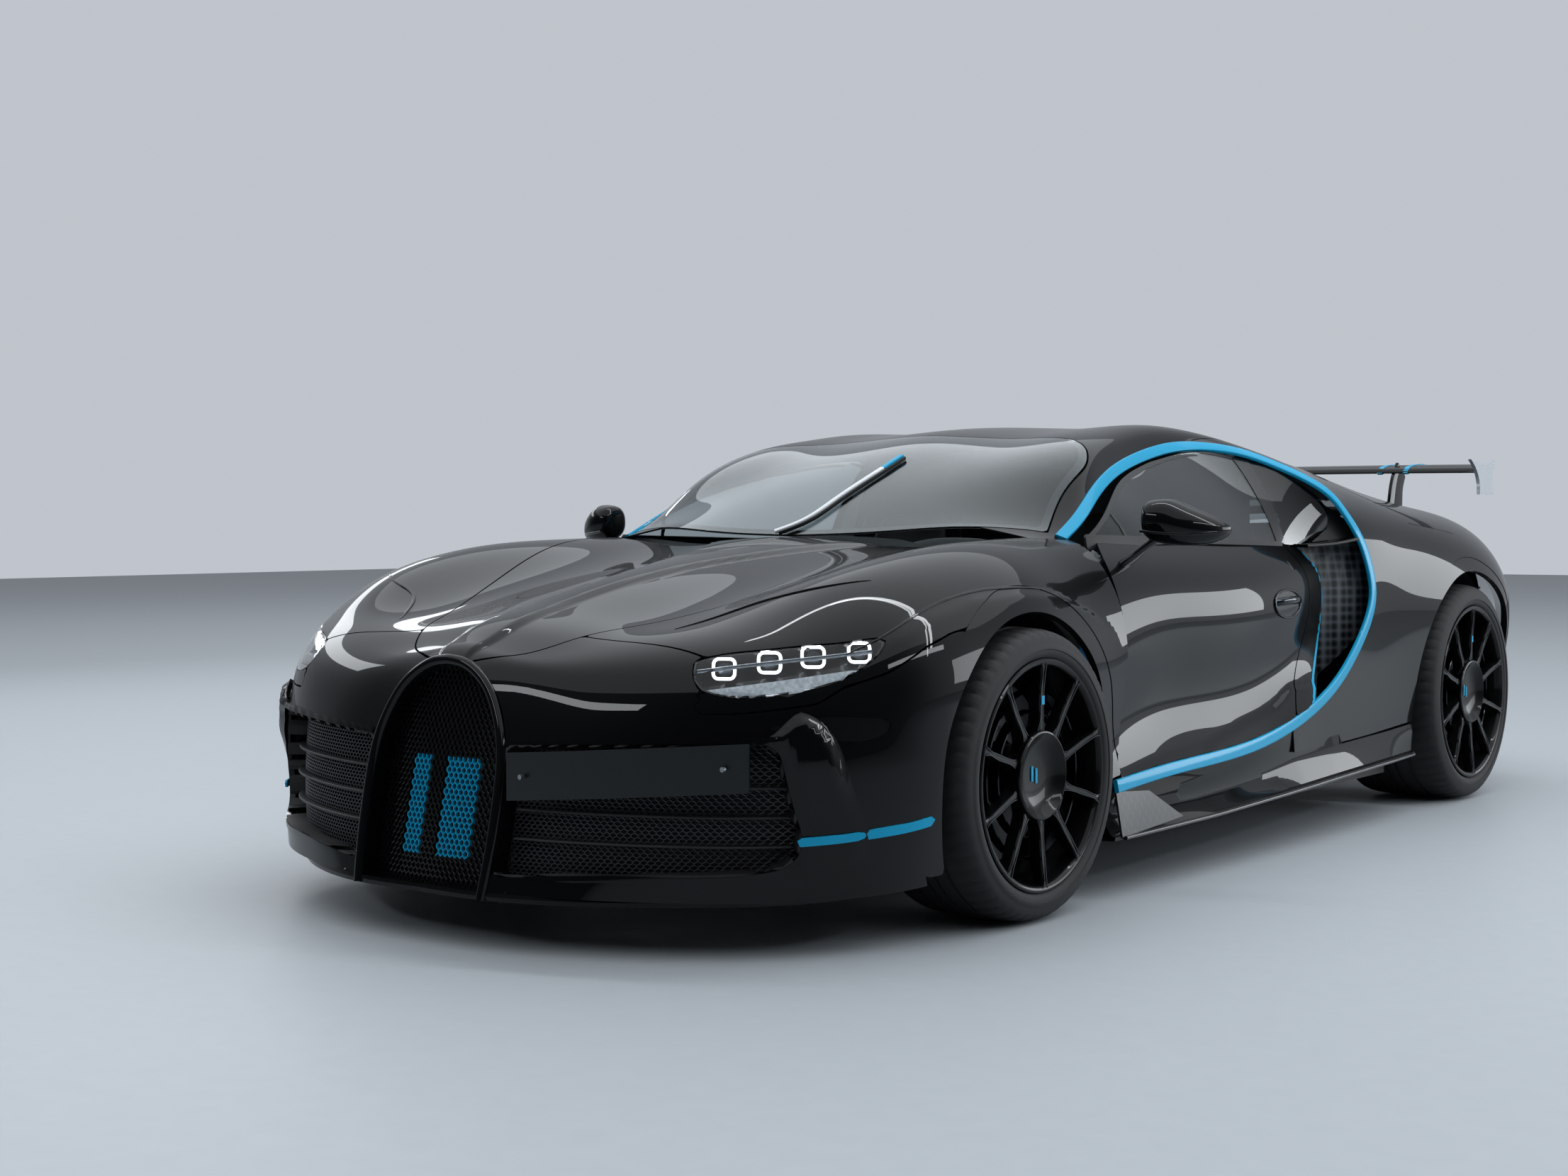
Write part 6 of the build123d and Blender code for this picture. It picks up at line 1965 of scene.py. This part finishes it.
@dataclass
class Mirrors:
    """Door mirrors: a drop-shaped head on a bent arm, with a thin blade along it."""

    def head(self) -> Array:
        """Head sections from the inner end to the tip, each a flattened egg in side view."""
        rows = np.array([
            (918, 655, 926, 30, 34), (926, 652, 925, 46, 46), (950, 655, 922, 56, 55),
            (985, 664, 918, 61, 58),
            (1020, 680, 909, 61, 51), (1055, 703, 901, 54, 40), (1080, 728, 898, 42, 27),
            (1094, 745, 898, 28, 15),
            (1099, 752, 898, 12, 7),
        ])
        x = smooth_path(rows, 40)
        a = np.arange(32) * 2 * math.pi / 32
        power = 0.86
        station = x[:, 1:2] + x[:, 3:4] * np.sign(np.cos(a)) * np.abs(np.cos(a)) ** power
        z = x[:, 2:3] + x[:, 4:5] * np.sign(np.sin(a)) * np.abs(np.sin(a)) ** power
        return placed(np.stack([station, np.broadcast_to(x[:, :1], station.shape), z], -1))

    def build(self) -> None:
        """Builds both mirrors, each on its door."""
        for name, body in (("left", "door_left_body"), ("right", "door_right_body")):
            shell = grid_object("mirror_shell", self.head(), PAINT, wrap_columns=True, caps=True)
            arm = bar("mirror_arm", [(628, 866, 812), (632, 888, 828), (640, 915, 852), (652, 945, 876)],
                      rounded(52, 20, 8), GLOSS_ABS, count=14, wide=np.linspace(1.15, 0.9, 14))
            blade = bar("mirror_blade",
                        [(592, 930, 896), (606, 985, 890), (640, 1040, 888), (702, 1088, 892)],
                        rounded(7, 7, 2), GLOSS_ABS, count=20)
            pieces = [shell, arm, blade]
            whole = joined(f"mirror_{name}_left_form", pieces)
            if name == "right":
                far = mirror_copy(whole, "mirror_right_form")
                bpy.data.objects.remove(whole)
                whole = far
            place(whole, body, "paint_black", f"mirror_{name}")


@dataclass
class Flanks:
    """Sills with blades and winglets, the side intakes behind the doors, door handles and flank trims.

    Attributes:
        surfaces: the shared body surfaces.
    """

    surfaces: BodySurfaces

    def build(self) -> None:
        """Builds both flanks."""
        self.sills()
        self.intakes()
        self.handles()
        self.liners()

    def liners(self) -> None:
        """Dark moulded liners over all four wheels."""
        for name, station, height, radius, span, inner in (
            ("front", 0.0, FRONT_HUB_Z, FRONT_ARCH_R + 14, (-38, 205), 690.0),
            ("rear", WHEELBASE, REAR_HUB_Z, REAR_ARCH_R + 14, (-15, 205), 640.0),
        ):
            angle = np.radians(np.linspace(*span, 70))[:, None]
            x = np.linspace(inner, 925.0, 12)[None, :]
            outward = np.stack([0 * x + np.cos(angle), 0 * angle + 0 * x, 0 * x + np.sin(angle)], -1)
            points = np.stack([station + radius * outward[..., 0], 0 * angle + x,
                               height + radius * outward[..., 2]], -1)
            grid = placed(points)
            made = Patch(grid, grid_normals(grid))
            limit = np.interp(points[..., 0], [-430, -300, 0, 300, 430, 2300, 2450, 2711, 3000, 3130],
                              [860, 925, 925, 925, 900, 920, 925, 925, 925, 880]) - points[..., 1]
            sheet = trim(made, limit)
            for side, turn in (("left", False), ("right", True)):
                panel(f"liner_{name}_{side}", sheet.mirrored() if turn else sheet, 3.0, ABS, BODY,
                      "black_trim")

    def sills(self) -> None:
        """Sculpted sill under the side line, its floor blade and the winglet behind the front wheel."""
        line = line_curve()
        low = line[:260]
        table = np.array([
            # station, waist x, waist z, blade x, blade z, bottom z
            (372, 952, 205, 985, 150, 140), (520, 925, 214, 986, 151, 141), (900, 930, 212, 988, 154, 144),
            (1300, 940, 228, 988, 164, 154), (1480, 947, 250, 987, 169, 159), (1700, 952, 256, 985, 176, 164),
            (2100, 954, 268, 978, 186, 172), (2305, 957, 278, 968, 190, 176),
        ], float)
        s = np.linspace(372, 2305, 90)
        waist_x, waist_z, blade_x, blade_z, bottom = np.stack([np.interp(s, table[:, 0],
                                                                         c) for c in table[:, 1:].T])
        top_x = np.interp(s, low[:, 0], low[:, 1]) - 6
        top_z = np.minimum(np.interp(s, low[:, 0], low[:, 2]) - 12, 330)
        rows = np.stack([
            np.stack([s, top_x - 70, top_z], 1), np.stack([s, top_x - 4, top_z], 1),
            np.stack([s, top_x, top_z - 5], 1),
            np.stack([s, (top_x + waist_x) / 2 + 1, (top_z + waist_z) / 2], 1),
            np.stack([s, waist_x, waist_z], 1),
            np.stack([s, waist_x + 4, waist_z - 26], 1), np.stack([s, blade_x - 12, blade_z + 4], 1),
            np.stack([s, blade_x, blade_z], 1), np.stack([s, blade_x - 2, bottom], 1),
            np.stack([s, waist_x - 60, bottom - 4], 1), np.stack([s, waist_x - 90, bottom + 10], 1),
        ], 1)
        arch = np.hypot(s, rows[..., 2].T - FRONT_HUB_Z).T
        push = np.maximum(FRONT_ARCH_R + 6 - arch, 0)
        rows[..., 0] += push
        rear = np.hypot(rows[..., 0] - WHEELBASE, rows[..., 2] - REAR_HUB_Z)
        rows[..., 0] -= np.maximum(REAR_ARCH_R + 6 - rear, 0)
        piece = grid_object("sill_half", placed(rows), PAINT, wrap_columns=True, caps=True)
        place(both(piece, "sills"), BODY, "paint_black", "side_skirts")
        blade = np.stack([s, blade_x + 1, blade_z - 6], 1)
        strip = bar("sill_blade_half", blade[2:-1], rounded(16, 9, 3), CARBON, count=80)
        place(both(strip, "sill_blades"), BODY, "carbon_trim")
        corners = np.array([(404, 258), (560, 246), (712, 166), (405, 146)], float)
        faces = [np.stack([corners[:, 0], np.array([966, 972, 988, 984]) + dx, corners[:, 1]],
                          1) for dx in (-3, 3)]
        fin = grid_object("winglet_half", placed(np.stack(faces)), CARBON, wrap_columns=True, caps=True,
                          smooth=False)
        place(both(fin, "sill_winglets"), BODY, "carbon_trim")

    def intakes(self) -> None:
        """Deep dark duct behind the door with a perforated wall and a strake above it."""
        s = np.linspace(1470, 2090, 70)[:, None]
        z = np.linspace(300, 1100, 80)[None, :]
        depth = np.interp(s, [1470, 1600, 1750, 1880, 1990, 2090], [835, 805, 790, 835, 895, 935])
        depth = depth + 0 * z - np.clip((z - 700) / 300, 0, 2) ** 1.5 * 70
        points = placed(np.stack([s + 0 * z, depth, z + 0 * s], -1))
        wall = Patch(points, grid_normals(points))
        line = beside_line(wall)
        belt = np.interp(wall.station, [1600, 1760, 2000], [842, 846, 868])
        behind = np.interp(wall.z, [900, 1000], [45, -4]) * (wall.station > 1850) - 4 * (wall.station <= 1850)
        window = least(line + behind, wall.z - belt + 6, wall.station - 1712)
        duct = least(line + 60, belt - wall.z, wall.station - 1480, wall.z - 305)
        for name, turn in (("left", False), ("right", True)):
            lower, upper = trim(wall, duct), trim(wall.moved(34), window)
            # The duct's wall takes the punched sheet with painted light between its holes and painted shade
            # in them.
            panel(f"duct_{name}", lower.mirrored() if turn else lower, 5.0, PUNCHED_SHEET_PAINTED_LIGHT, BODY, "black_trim",
                  "side_intakes")
            panel(f"duct_top_{name}", upper.mirrored() if turn else upper, 5.0, ABS, BODY, "black_trim")
        strake = bar("strake_half", [(1720, 842, 846), (1850, 878, 852), (1948, 902, 864)],
                     rounded(70, 10, 4), PAINT,
                     count=20)
        place(both(strake, "strakes"), BODY, "paint_black")
        rows = np.array([(1520, 812, 415), (1640, 800, 520), (1715, 795, 640), (1720, 790, 760),
                         (1700, 785, 835)])
        vane = bar("vane_half", rows, rounded(6, 46, 2.5), GLOSS_ABS, lift=(1, 0, 0), count=30)
        place(both(vane, "duct_vanes"), BODY, "black_trim")

    def handles(self) -> None:
        """Oval black handle cup with a bright rim and a pull in each door."""
        d = self.surfaces.door
        across = 1 - np.hypot((d.station - 1500) / 104, (d.z - 683) / 40)
        cup = trim(d.moved(0.8), across * 40)
        turn = np.linspace(0, 2 * math.pi, 17)
        edge = np.stack([1500 + 104 * np.cos(turn), 909 - 9.4 * np.cos(turn), 683 + 40 * np.sin(turn)], 1)
        for name, body in (("left", "door_left_body"), ("right", "door_right_body")):
            far = name == "right"
            panel(f"handle_cup_{name}", cup.mirrored() if far else cup, 3.0, GLOSS_ABS, body, "black_trim")
            rim = lying(f"handle_rim_{name}", d, edge, rounded(7, 6, 2), BLACK_CHROME, high=2.0,
                        tapered=False)
            route = [(1408, 904, 687), (1440, 923, 691), (1500, 925, 693), (1560, 914, 691), (1592, 888, 687)]
            pull = bar(f"handle_pull_{name}", route, rounded(26, 22, 8), BLACK_CHROME, count=16,
                       wide=0.7 + 0.3 * np.abs(np.cos(np.linspace(0, 2 * math.pi, 16))))
            for piece in (pull, rim):
                if far:
                    near, piece = piece, mirror_copy(piece, f"{piece.name}_far")
                    bpy.data.objects.remove(near)
                place(piece, body, "bright_trim")


@dataclass
class Cabin:
    """Two seats, dashboard, tunnel, steering wheel and inner roof.

    Attributes:
        seat_x: distance of a seat's middle from the car's middle, millimetres.
    """

    seat_x: float = 345.0

    def build(self) -> None:
        """Builds the cabin."""
        for name, side in (("left", 1), ("right", -1)):
            self.seat(name, side)
        self.dashboard()
        self.steering()

    def seat(self, name: str, side: int) -> None:
        """One bucket seat: side profile lofted across with raised bolsters, a headrest and a blue leather
        inlay.
        """
        t = np.linspace(0, 1, 34)
        middle = smooth_path(((862, 325), (900, 345), (1080, 322), (1235, 318), (1285, 400), (1330, 580),
                              (1378, 760),
                              (1420, 880), (1452, 955)), 34)
        half_width = np.interp(t, [0, 0.1, 0.45, 0.6, 0.8, 0.9, 1.0], [170, 235, 238, 235, 225, 150, 120])
        v = np.linspace(-1, 1, 25)
        bolster = np.interp(t, [0, 0.15, 0.45, 0.75, 0.88, 1.0], [18, 48, 60, 55, 14, 6])[:, None]
        raise_by = bolster * np.clip(np.abs(v) ** 4, 0, 1)[None, :]
        along = unit(np.gradient(middle, axis=0))
        normal = np.stack([-along[:, 1], along[:, 0]], 1)
        front = np.stack([
            middle[:, :1] + normal[:, :1] * raise_by, side * self.seat_x + half_width[:, None] * v[None, :],
            middle[:, 1:] + normal[:, 1:] * raise_by,
        ], -1)
        back = front - np.stack([normal[:, 0], 0 * t, normal[:, 1]], -1)[:, None] * (raise_by + 88)[..., None]
        front[:, 0, 0] -= 0.0
        loop = np.concatenate([front, back[:, ::-1]], 1)
        piece = grid_object(f"seat_{name}_shell", placed(loop), LEATHER, wrap_columns=True, caps=True)
        level = 1
        if level:
            smooth = piece.modifiers.new("soften", "SUBSURF")
            smooth.levels = smooth.render_levels = level
        place(piece, BODY, "seat_leather", f"seat_{name}")
        inlay = front[3:26, 6:19] + np.stack([normal[3:26, 0], 0 * t[3:26], normal[3:26, 1]], -1)[:, None] * 5
        base = inlay - np.stack([normal[3:26, 0], 0 * t[3:26], normal[3:26, 1]], -1)[:, None] * 16
        pad = grid_object(f"seat_{name}_inlay", placed(np.concatenate([inlay, base[:, ::-1]], 1)),
                          BLUE_LEATHER,
                          wrap_columns=True, caps=True)
        place(pad, BODY, "seat_leather")

    def dashboard(self) -> None:
        """Rounded dashboard with a hood over the dials, and a tunnel with a curved spine."""
        rows = ((-690, 0.93), (-500, 1.0), (-250, 1.0), (0, 0.98), (200, 1.0), (345, 1.02), (500, 1.0),
                (690, 0.93))
        side = smooth_path(((522, 560), (505, 700), (520, 812), (600, 846), (700, 836), (768, 794),
                            (780, 720),
                            (742, 640), (700, 575), (522, 560)), 40)[:-1]
        x = np.linspace(-690, 690, 60)
        grow = spline(np.array([r[0] for r in rows]), np.array([[r[1]] for r in rows]), x)
        hood = 26 * np.exp(-(((x - self.seat_x) / 150) ** 4))[:, None]
        z = 600 + (side[None, :, 1] - 600) * grow + hood * np.clip((side[None, :, 1] - 790) / 50, 0, 1)
        s = 640 + (side[None, :, 0] - 640) * grow
        grid = np.stack([s, np.broadcast_to(x[:, None], s.shape), z], -1)
        place(grid_object("dash_pad", placed(grid), MICROFIBRE, wrap_columns=True, caps=True), BODY,
              "cabin_trim",
              "dashboard")
        tunnel = bar("tunnel", [(690, 0, 560), (800, 0, 450), (1000, 0, 395), (1300, 0, 385), (1500, 0, 400)],
                     rounded(150, 190, 40), LEATHER, count=26)
        spine = bar("tunnel_spine", [(700, 0, 660), (790, 0, 560), (1000, 0, 497), (1290, 0, 487)],
                    rounded(40, 14, 5), BRUSHED, count=26)
        place(joined("tunnel_console", [tunnel, spine]), BODY, "cabin_trim")
        lining = BodySurfacesLining.build()
        place(lining, BODY, "cabin_trim")

    def steering(self) -> None:
        """Leather-rimmed steering wheel with three spokes and a boss, on its column."""
        lean = math.radians(24.0)
        axis = np.array([0.0, math.cos(lean), math.sin(lean)])
        hub = placed(np.array([845.0, self.seat_x, 700.0]))
        right = np.array([1.0, 0.0, 0.0])
        up = np.cross(right, axis)
        a = np.arange(72) * 2 * math.pi / 72
        flat = np.where(np.sin(a) < -0.78, -0.78 / np.minimum(np.sin(a), -0.5), 1.0)
        path = hub + 0.166 * flat[:, None] * (np.cos(a)[:, None] * right + np.sin(a)[:, None] * up)
        side = unit(path - hub)
        section = ellipse(30, 27, 12)
        grid = path[:, None] + side[:, None] * section[None, :, :1] + axis * section[None, :, 1:]
        rim = grid_object("wheel_rim", grid, LEATHER, wrap_rows=True, wrap_columns=True)
        spokes = []
        for k, angle in enumerate((0.06, math.pi - 0.06, -math.pi / 2)):
            out = math.cos(angle) * right + math.sin(angle) * up
            points = hub + out * np.linspace(0.03, 0.155, 8)[:, None] - axis * 0.006
            grid = swept(points, axis, rounded(30, 9, 3), np.linspace(1.2, 0.8, 8))
            spokes.append(grid_object(f"wheel_spoke_{k}", grid, BRUSHED, wrap_columns=True, caps=True))
        boss_path = hub + axis * np.array([-0.05, -0.03, 0.0, 0.012, 0.016])[:, None]
        boss = grid_object("wheel_boss", swept(boss_path, (0, 0, 1), ellipse(1000, 1000, 32),
                                               np.array([0.028, 0.04, 0.056, 0.05, 0.03]),
                                               np.array([0.028, 0.04, 0.056, 0.05, 0.03])), LEATHER,
                           wrap_columns=True, caps=True)
        place(joined("steering_wheel_form", [rim, boss, *spokes]), "steering_body", "cabin_trim",
              "steering_wheel")


class BodySurfacesLining:
    """Dark inner roof and pillar lining under the outer skin."""

    @staticmethod
    def build() -> bpy.types.Object:
        """Trims the roof's surface, moved in, to a lining that stays clear of the glass."""
        roof = Skin(MAIN_BODY).patch(560, 1846, 26, 22)
        keep = least(-screen_distance(roof) - 16, -inside_line(roof) - LINE_HALF - 14, roof.z - 905,
                     np.where(roof.station > 1500, 596 - np.abs(roof.x), 400.0))
        sheet, rim = thickened(trim(roof.moved(-9), keep), 8.0)
        return make_object("roof_lining", sheet, MICROFIBRE, rim)


@dataclass
class Tail:
    """Rear light, grille mesh, exhaust, diffuser and wing.

    Attributes:
        half: half width of the wing, millimetres.
    """

    half: float = 868.0

    def build(self) -> None:
        """Builds the tail and the wing."""
        self.rear_face()
        self.diffuser()
        self.wing()

    def rear_face(self) -> None:
        """Dark rear face with woven mesh, full-width red light bar and four pipes."""
        z = np.linspace(330, 905, 40)
        x = np.linspace(-770, 770, 80)
        grid = np.stack(np.meshgrid(x, z), -1)
        backing = Patch(placed(np.stack([np.full(grid.shape[:2], 3462.0), grid[..., 0], grid[..., 1]], -1)),
                        np.broadcast_to([0.0, 1.0, 0.0], grid.shape[:2] + (3,)).copy())
        row = np.array([(0, 928), (480, 903), (570, 882), (650, 857), (735, 775), (770, 650), (762, 450),
                        (740, 335)])
        ring = np.concatenate([smooth_path(row, 60), (smooth_path(row, 60) * [-1, 1])[::-1]])
        inside = closed_distance(ring, grid[..., 0], grid[..., 1])
        pipes = np.minimum(236 - np.abs(grid[..., 0]), 500 - grid[..., 1])
        panel("rear_back", trim(backing, least(inside - 22, -pipes)), 4.0, ABS, BODY, "black_trim",
              "rear_grille")
        weave = Weave(26.0, 22.0, 2.6, 8.0)

        def area(x: Array, z: Array) -> Array:
            """Distance inside the rear mesh's area."""
            own = closed_distance(ring, x, z) - 24
            return least(own, -np.minimum(236 - np.abs(x), 500 - z), np.abs(z - 752) - 30)

        mesh = weave.strands((-760, 760), (340, 890), area, lambda x, z: np.full_like(x, 3482.0), "rear_mesh",
                             STONE)
        place(mesh, BODY, "black_trim")
        glow = bar("light_bar",
                   [(3505, -705, 742), (3512, -400, 752), (3515, 0, 755), (3512, 400, 752), (3505, 705, 742)],
                   rounded(16, 22, 6), RED, lift=(0, 0, 1), count=60)
        place(glow, BODY, "lamp_red", "tail_light")
        hood = bar("light_bar_hood", [(3500, -715, 764), (3508, 0, 777), (3500, 715, 764)],
                   rounded(34, 10, 4), PAINT,
                   count=60)
        place(hood, BODY, "paint_black")
        pipes_made = []
        for k, (x_mid, z_mid,
                r) in enumerate(((-150, 410, 62), (-50, 410, 45), (50, 410, 45), (150, 410, 62))):
            a = np.arange(48) * 2 * math.pi / 48
            profile = ((3380, r), (3520, r), (3549, r + 1), (3553, r - 1), (3551, r - 5), (3540, r - 7),
                       (3400, r - 8),
                       (3385, r - 12), (3384, 2), (3380, 2))
            rows = np.array([[(s, x_mid + rad * math.cos(t), z_mid + rad * math.sin(t)) for s,
                              rad in profile] for t in a])
            pipes_made.append(grid_object(f"pipe_{k}", placed(rows), TITANIUM, wrap_rows=True,
                                          wrap_columns=True))
        box = bar("silencer", [(3240, 0, 410), (3382, 0, 410)], rounded(420, 130, 40), TITANIUM, count=3)
        place(joined("exhaust_pipes", [*pipes_made, box]), BODY, "pipe", "exhaust")

    def diffuser(self) -> None:
        """Diffuser ramp with upright fins."""
        x = np.linspace(-688, 688, 50)[:, None]
        side = smooth_path(((3150, 120), (3300, 160), (3430, 230), (3552, 292)), 14)
        top = side + np.array([0, 13])
        loop = np.concatenate([side, top[::-1]])
        rows = np.stack(np.broadcast_arrays(loop[None, :, 0], x, loop[None, :, 1]), -1)
        ramp = grid_object("ramp", placed(rows), CARBON, wrap_columns=True, caps=True)
        fins = []
        for k, x_mid in enumerate((-676, -510, -330, -150, 150, 330, 510, 676)):
            outline = smooth_path(((3180, 124), (3400, 134), (3545, 160), (3550, 285)), 10)
            roof_line = smooth_path(((3180, 132), (3320, 168), (3450, 238), (3548, 290)), 10)
            quads = np.stack([np.stack([c[:, 0], np.full(10, x_mid + dx), c[:, 1]], 1)
                              for c, dx in ((outline, -4), (outline, 4), (roof_line, 4), (roof_line, -4))], 1)
            fins.append(grid_object(f"fin_{k}", placed(quads), CARBON, wrap_columns=True, caps=True,
                                    smooth=False))
        place(joined("diffuser_form", [ramp, *fins]), BODY, "carbon_trim", "diffuser")

    def wing(self) -> None:
        """Fixed wing: cambered blade, satin boomerang end plates, two stays and four blue bands."""
        chord_line = np.array([(3078, 1092), (3084, 1101), (3104, 1111), (3150, 1118), (3210, 1121),
                               (3260, 1119),
                               (3261, 1115), (3210, 1110), (3150, 1103), (3110, 1094), (3086, 1088)], float)
        x = np.linspace(-self.half, self.half, 61)
        drop = 5 * (np.abs(x) / self.half) ** 2
        rows = np.stack([np.broadcast_to(chord_line[None, :, 0], (61, 11)),
                         np.broadcast_to(x[:, None], (61, 11)),
                         chord_line[None, :, 1] - drop[:, None]], -1)
        blade = grid_object("blade", placed(rows), PAINT, wrap_columns=True, caps=True)
        outline = np.concatenate([
            smooth_path(((3034, 1129), (3076, 1090), (3088, 1050), (3078, 1008)), 16),
            smooth_path(((3206, 1008), (3220, 1055), (3238, 1095), (3268, 1129)), 16),
            smooth_path(((3262, 1125), (3150, 1117), (3042, 1125)), 14),
        ])
        plates = []
        for k, side in enumerate((1, -1)):
            lean = 14 * (1120 - outline[:, 1]) / 110
            layers = [
                np.stack([outline[:, 0], side * (self.half + dx + lean), outline[:, 1]], 1) for dx in (-6, 6)
            ]
            plates.append(grid_object(f"plate_{k}", placed(np.stack(layers)), SATIN, wrap_columns=True,
                                      caps=True,
                                      smooth=False))
        stays = []
        for k, side in enumerate((1, -1)):
            route = [(3098, side * 570, 925), (3106, side * 571, 985), (3118, side * 572, 1045),
                     (3152, side * 573, 1100)]
            stays.append(bar(f"stay_{k}", route, rounded(12, 105, 4), PAINT, lift=(0, 1, 0), count=24,
                             high=np.linspace(1.25, 0.8, 24)))
        place(joined("rear_wing_form", [blade, *stays]), BODY, "paint_black", "rear_wing")
        place(joined("wing_end_plates", plates), BODY, "paint_black", "rear_wing")
        bands = []
        for k, x_mid in enumerate((-620, -525, 525, 620)):
            grown = chord_line.mean(0) + (chord_line - chord_line.mean(0)) * [1.012, 1.18]
            strip = np.stack([
                np.stack([grown[:, 0], np.full(11, x_mid + dx), grown[:, 1] - 2.2], 1) for dx in (-9, 9)
            ])
            bands.append(grid_object(f"band_{k}", placed(strip), BLUE, wrap_columns=True, caps=True))
        place(joined("wing_bands", bands), BODY, "accent_blue")


# Finishes of the CAD solids that are shown as they are.
CAD_FINISHES = (
    ("monocoque", CARBON), ("front_structure", CASTING), ("rear_structure", CASTING), ("engine", CASTING),
    ("underfloor", ABS), ("knuckle_left", CASTING), ("knuckle_right", CASTING), ("rear_hubs", CASTING),
    ("suspension_front", CASTING), ("suspension_rear", CASTING),
)


def dress_cad() -> None:
    """Gives every CAD solid that stays in sight a real finish."""
    for node, finish in CAD_FINISHES:
        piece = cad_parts[node]
        piece.data.materials.clear()
        piece.data.materials.append(finish.material())


# The camera. Its place is in metres, and its turns are yaw, pitch and roll in degrees.
CAMERA_PLACE = (3.53603, -5.43576, 0.92101)
CAMERA_TURNS = (38.318, 1.771, -0.2395)
SENSOR_WIDTH = 36.0
FOCAL_PIXELS = 2983.84
VIEW_PIXELS = 2212.0


@dataclass
class Studio:
    """Camera, lights and floor."""

    def build(self) -> None:
        """Places the camera ahead and to the left of the nose, soft lights and a pale floor."""
        scene = bpy.context.scene
        yaw, pitch, roll = (math.radians(degrees) for degrees in CAMERA_TURNS)
        ahead = Vector((-math.sin(yaw) * math.cos(pitch), math.cos(yaw) * math.cos(pitch), -math.sin(pitch)))
        right = Vector((math.cos(yaw), math.sin(yaw), 0.0))
        up = right.cross(ahead)
        across = right * math.cos(roll) + up * math.sin(roll)
        lift = up * math.cos(roll) - right * math.sin(roll)
        data = bpy.data.cameras.new("camera")
        data.lens = SENSOR_WIDTH * FOCAL_PIXELS / VIEW_PIXELS
        data.sensor_width = SENSOR_WIDTH
        data.clip_end = 200.0
        camera = bpy.data.objects.new("camera", data)
        turn = Matrix((across, lift, -ahead)).transposed().to_4x4()
        turn.translation = Vector(CAMERA_PLACE)
        camera.matrix_world = turn
        scene.collection.objects.link(camera)
        scene.camera = camera
        self.lights()
        self.floor()
        scene.view_settings.view_transform = "Standard"

    def lights(self) -> None:
        """Soft boxes over and behind the car, ceiling strips that draw its edges, and a pale room."""
        world = bpy.data.worlds.new("room")
        world.use_nodes = True
        tree = world.node_tree
        back = tree.nodes["Background"]
        back.inputs["Color"].default_value = linear("C9CED6")
        way = add_node(tree, "ShaderNodeTexCoord").outputs["Generated"]
        toward = add_node(tree, "ShaderNodeVectorMath", {0: way}, operation="DOT_PRODUCT",
                          values={1: (-0.25, 0.95, 0.2)})
        wall = add_node(
            tree, "ShaderNodeMapRange", {"Value": toward.outputs["Value"]}, interpolation_type="SMOOTHSTEP",
            values={"From Min": -0.25, "From Max": 0.55, "To Min": 0.06, "To Max": 0.80},
        )
        seen = add_node(tree, "ShaderNodeLightPath").outputs["Is Camera Ray"]
        level = add_node(tree, "ShaderNodeMix", {0: seen, 2: wall.outputs["Result"]}, values={3: 0.90})
        tree.links.new(level.outputs[0], back.inputs["Strength"])
        bpy.context.scene.world = world
        for name, place_at, look, size, power in (
            ("ceiling", (0.0, 0.0, 10.0), (0, 0.01, 0), (28.0, 28.0), 2300.0),
            ("strip_left", (2.4, 0.5, 5.0), (1.2, 0.2, 0), (0.16, 9.0), 90.0),
            ("strip_right", (2.95, 0.5, 5.0), (1.2, 0.2, 0), (0.10, 9.0), 50.0),
            ("left_rear", (6.6, 6.8, 2.0), (0.9, 0.6, 0.7), (6.5, 2.2), 240.0),
            ("left_side", (8.0, 0.5, 4.4), (0, 0.5, 0.6), (6.0, 0.5), 80.0),
            ("right_side", (-7.5, 0.5, 3.6), (0, 0.4, 0.5), (7.0, 0.8), 90.0),
            ("nose_side", (-3.0, -8.0, 4.2), (0, -1.5, 0.6), (5.0, 0.5), 70.0),
        ):
            data = bpy.data.lights.new(name, "AREA")
            data.shape = "RECTANGLE"
            data.size, data.size_y = size
            data.energy = power
            data.color = (0.93, 0.97, 1.0)
            lamp = bpy.data.objects.new(name, data)
            lamp.location = place_at
            lamp.rotation_euler = (Vector(look) - Vector(place_at)).to_track_quat("-Z", "Y").to_euler()
            lamp.visible_camera = False
            bpy.context.scene.collection.objects.link(lamp)

    def floor(self) -> None:
        """A smooth pale concrete floor."""
        half = 30.0
        points = np.array([[[-half, -half, 0], [half, -half, 0]], [[-half, half, 0], [half, half, 0]]], float)
        ground = Finish("pale_concrete", "A6ACB1", "A9AFB4", roughness=0.5, pattern=Pattern.CAST,
                        pitch_mm=60.0)
        grid_object("studio_floor", points, ground)


def write_sizes() -> None:
    """Brings the view layer's transforms up to date."""
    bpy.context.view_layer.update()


def main() -> None:
    """Builds every sub-assembly in order, then the studio."""
    logging.basicConfig(level=logging.INFO, format="%(message)s")
    surfaces = BodySurfaces()
    for part in (
        Shell(surfaces), SideLine(surfaces), Glasshouse(surfaces), Wiper(), NoseTrim(surfaces),
        Lamps(surfaces), Mirrors(),
        Flanks(surfaces), Cabin(), Tail(), *WHEELS, Studio(),
    ):
        log.info("building %s", type(part).__name__)
        part.build()
    dress_cad()
    write_sizes()


if __name__ == "__main__":
    main()
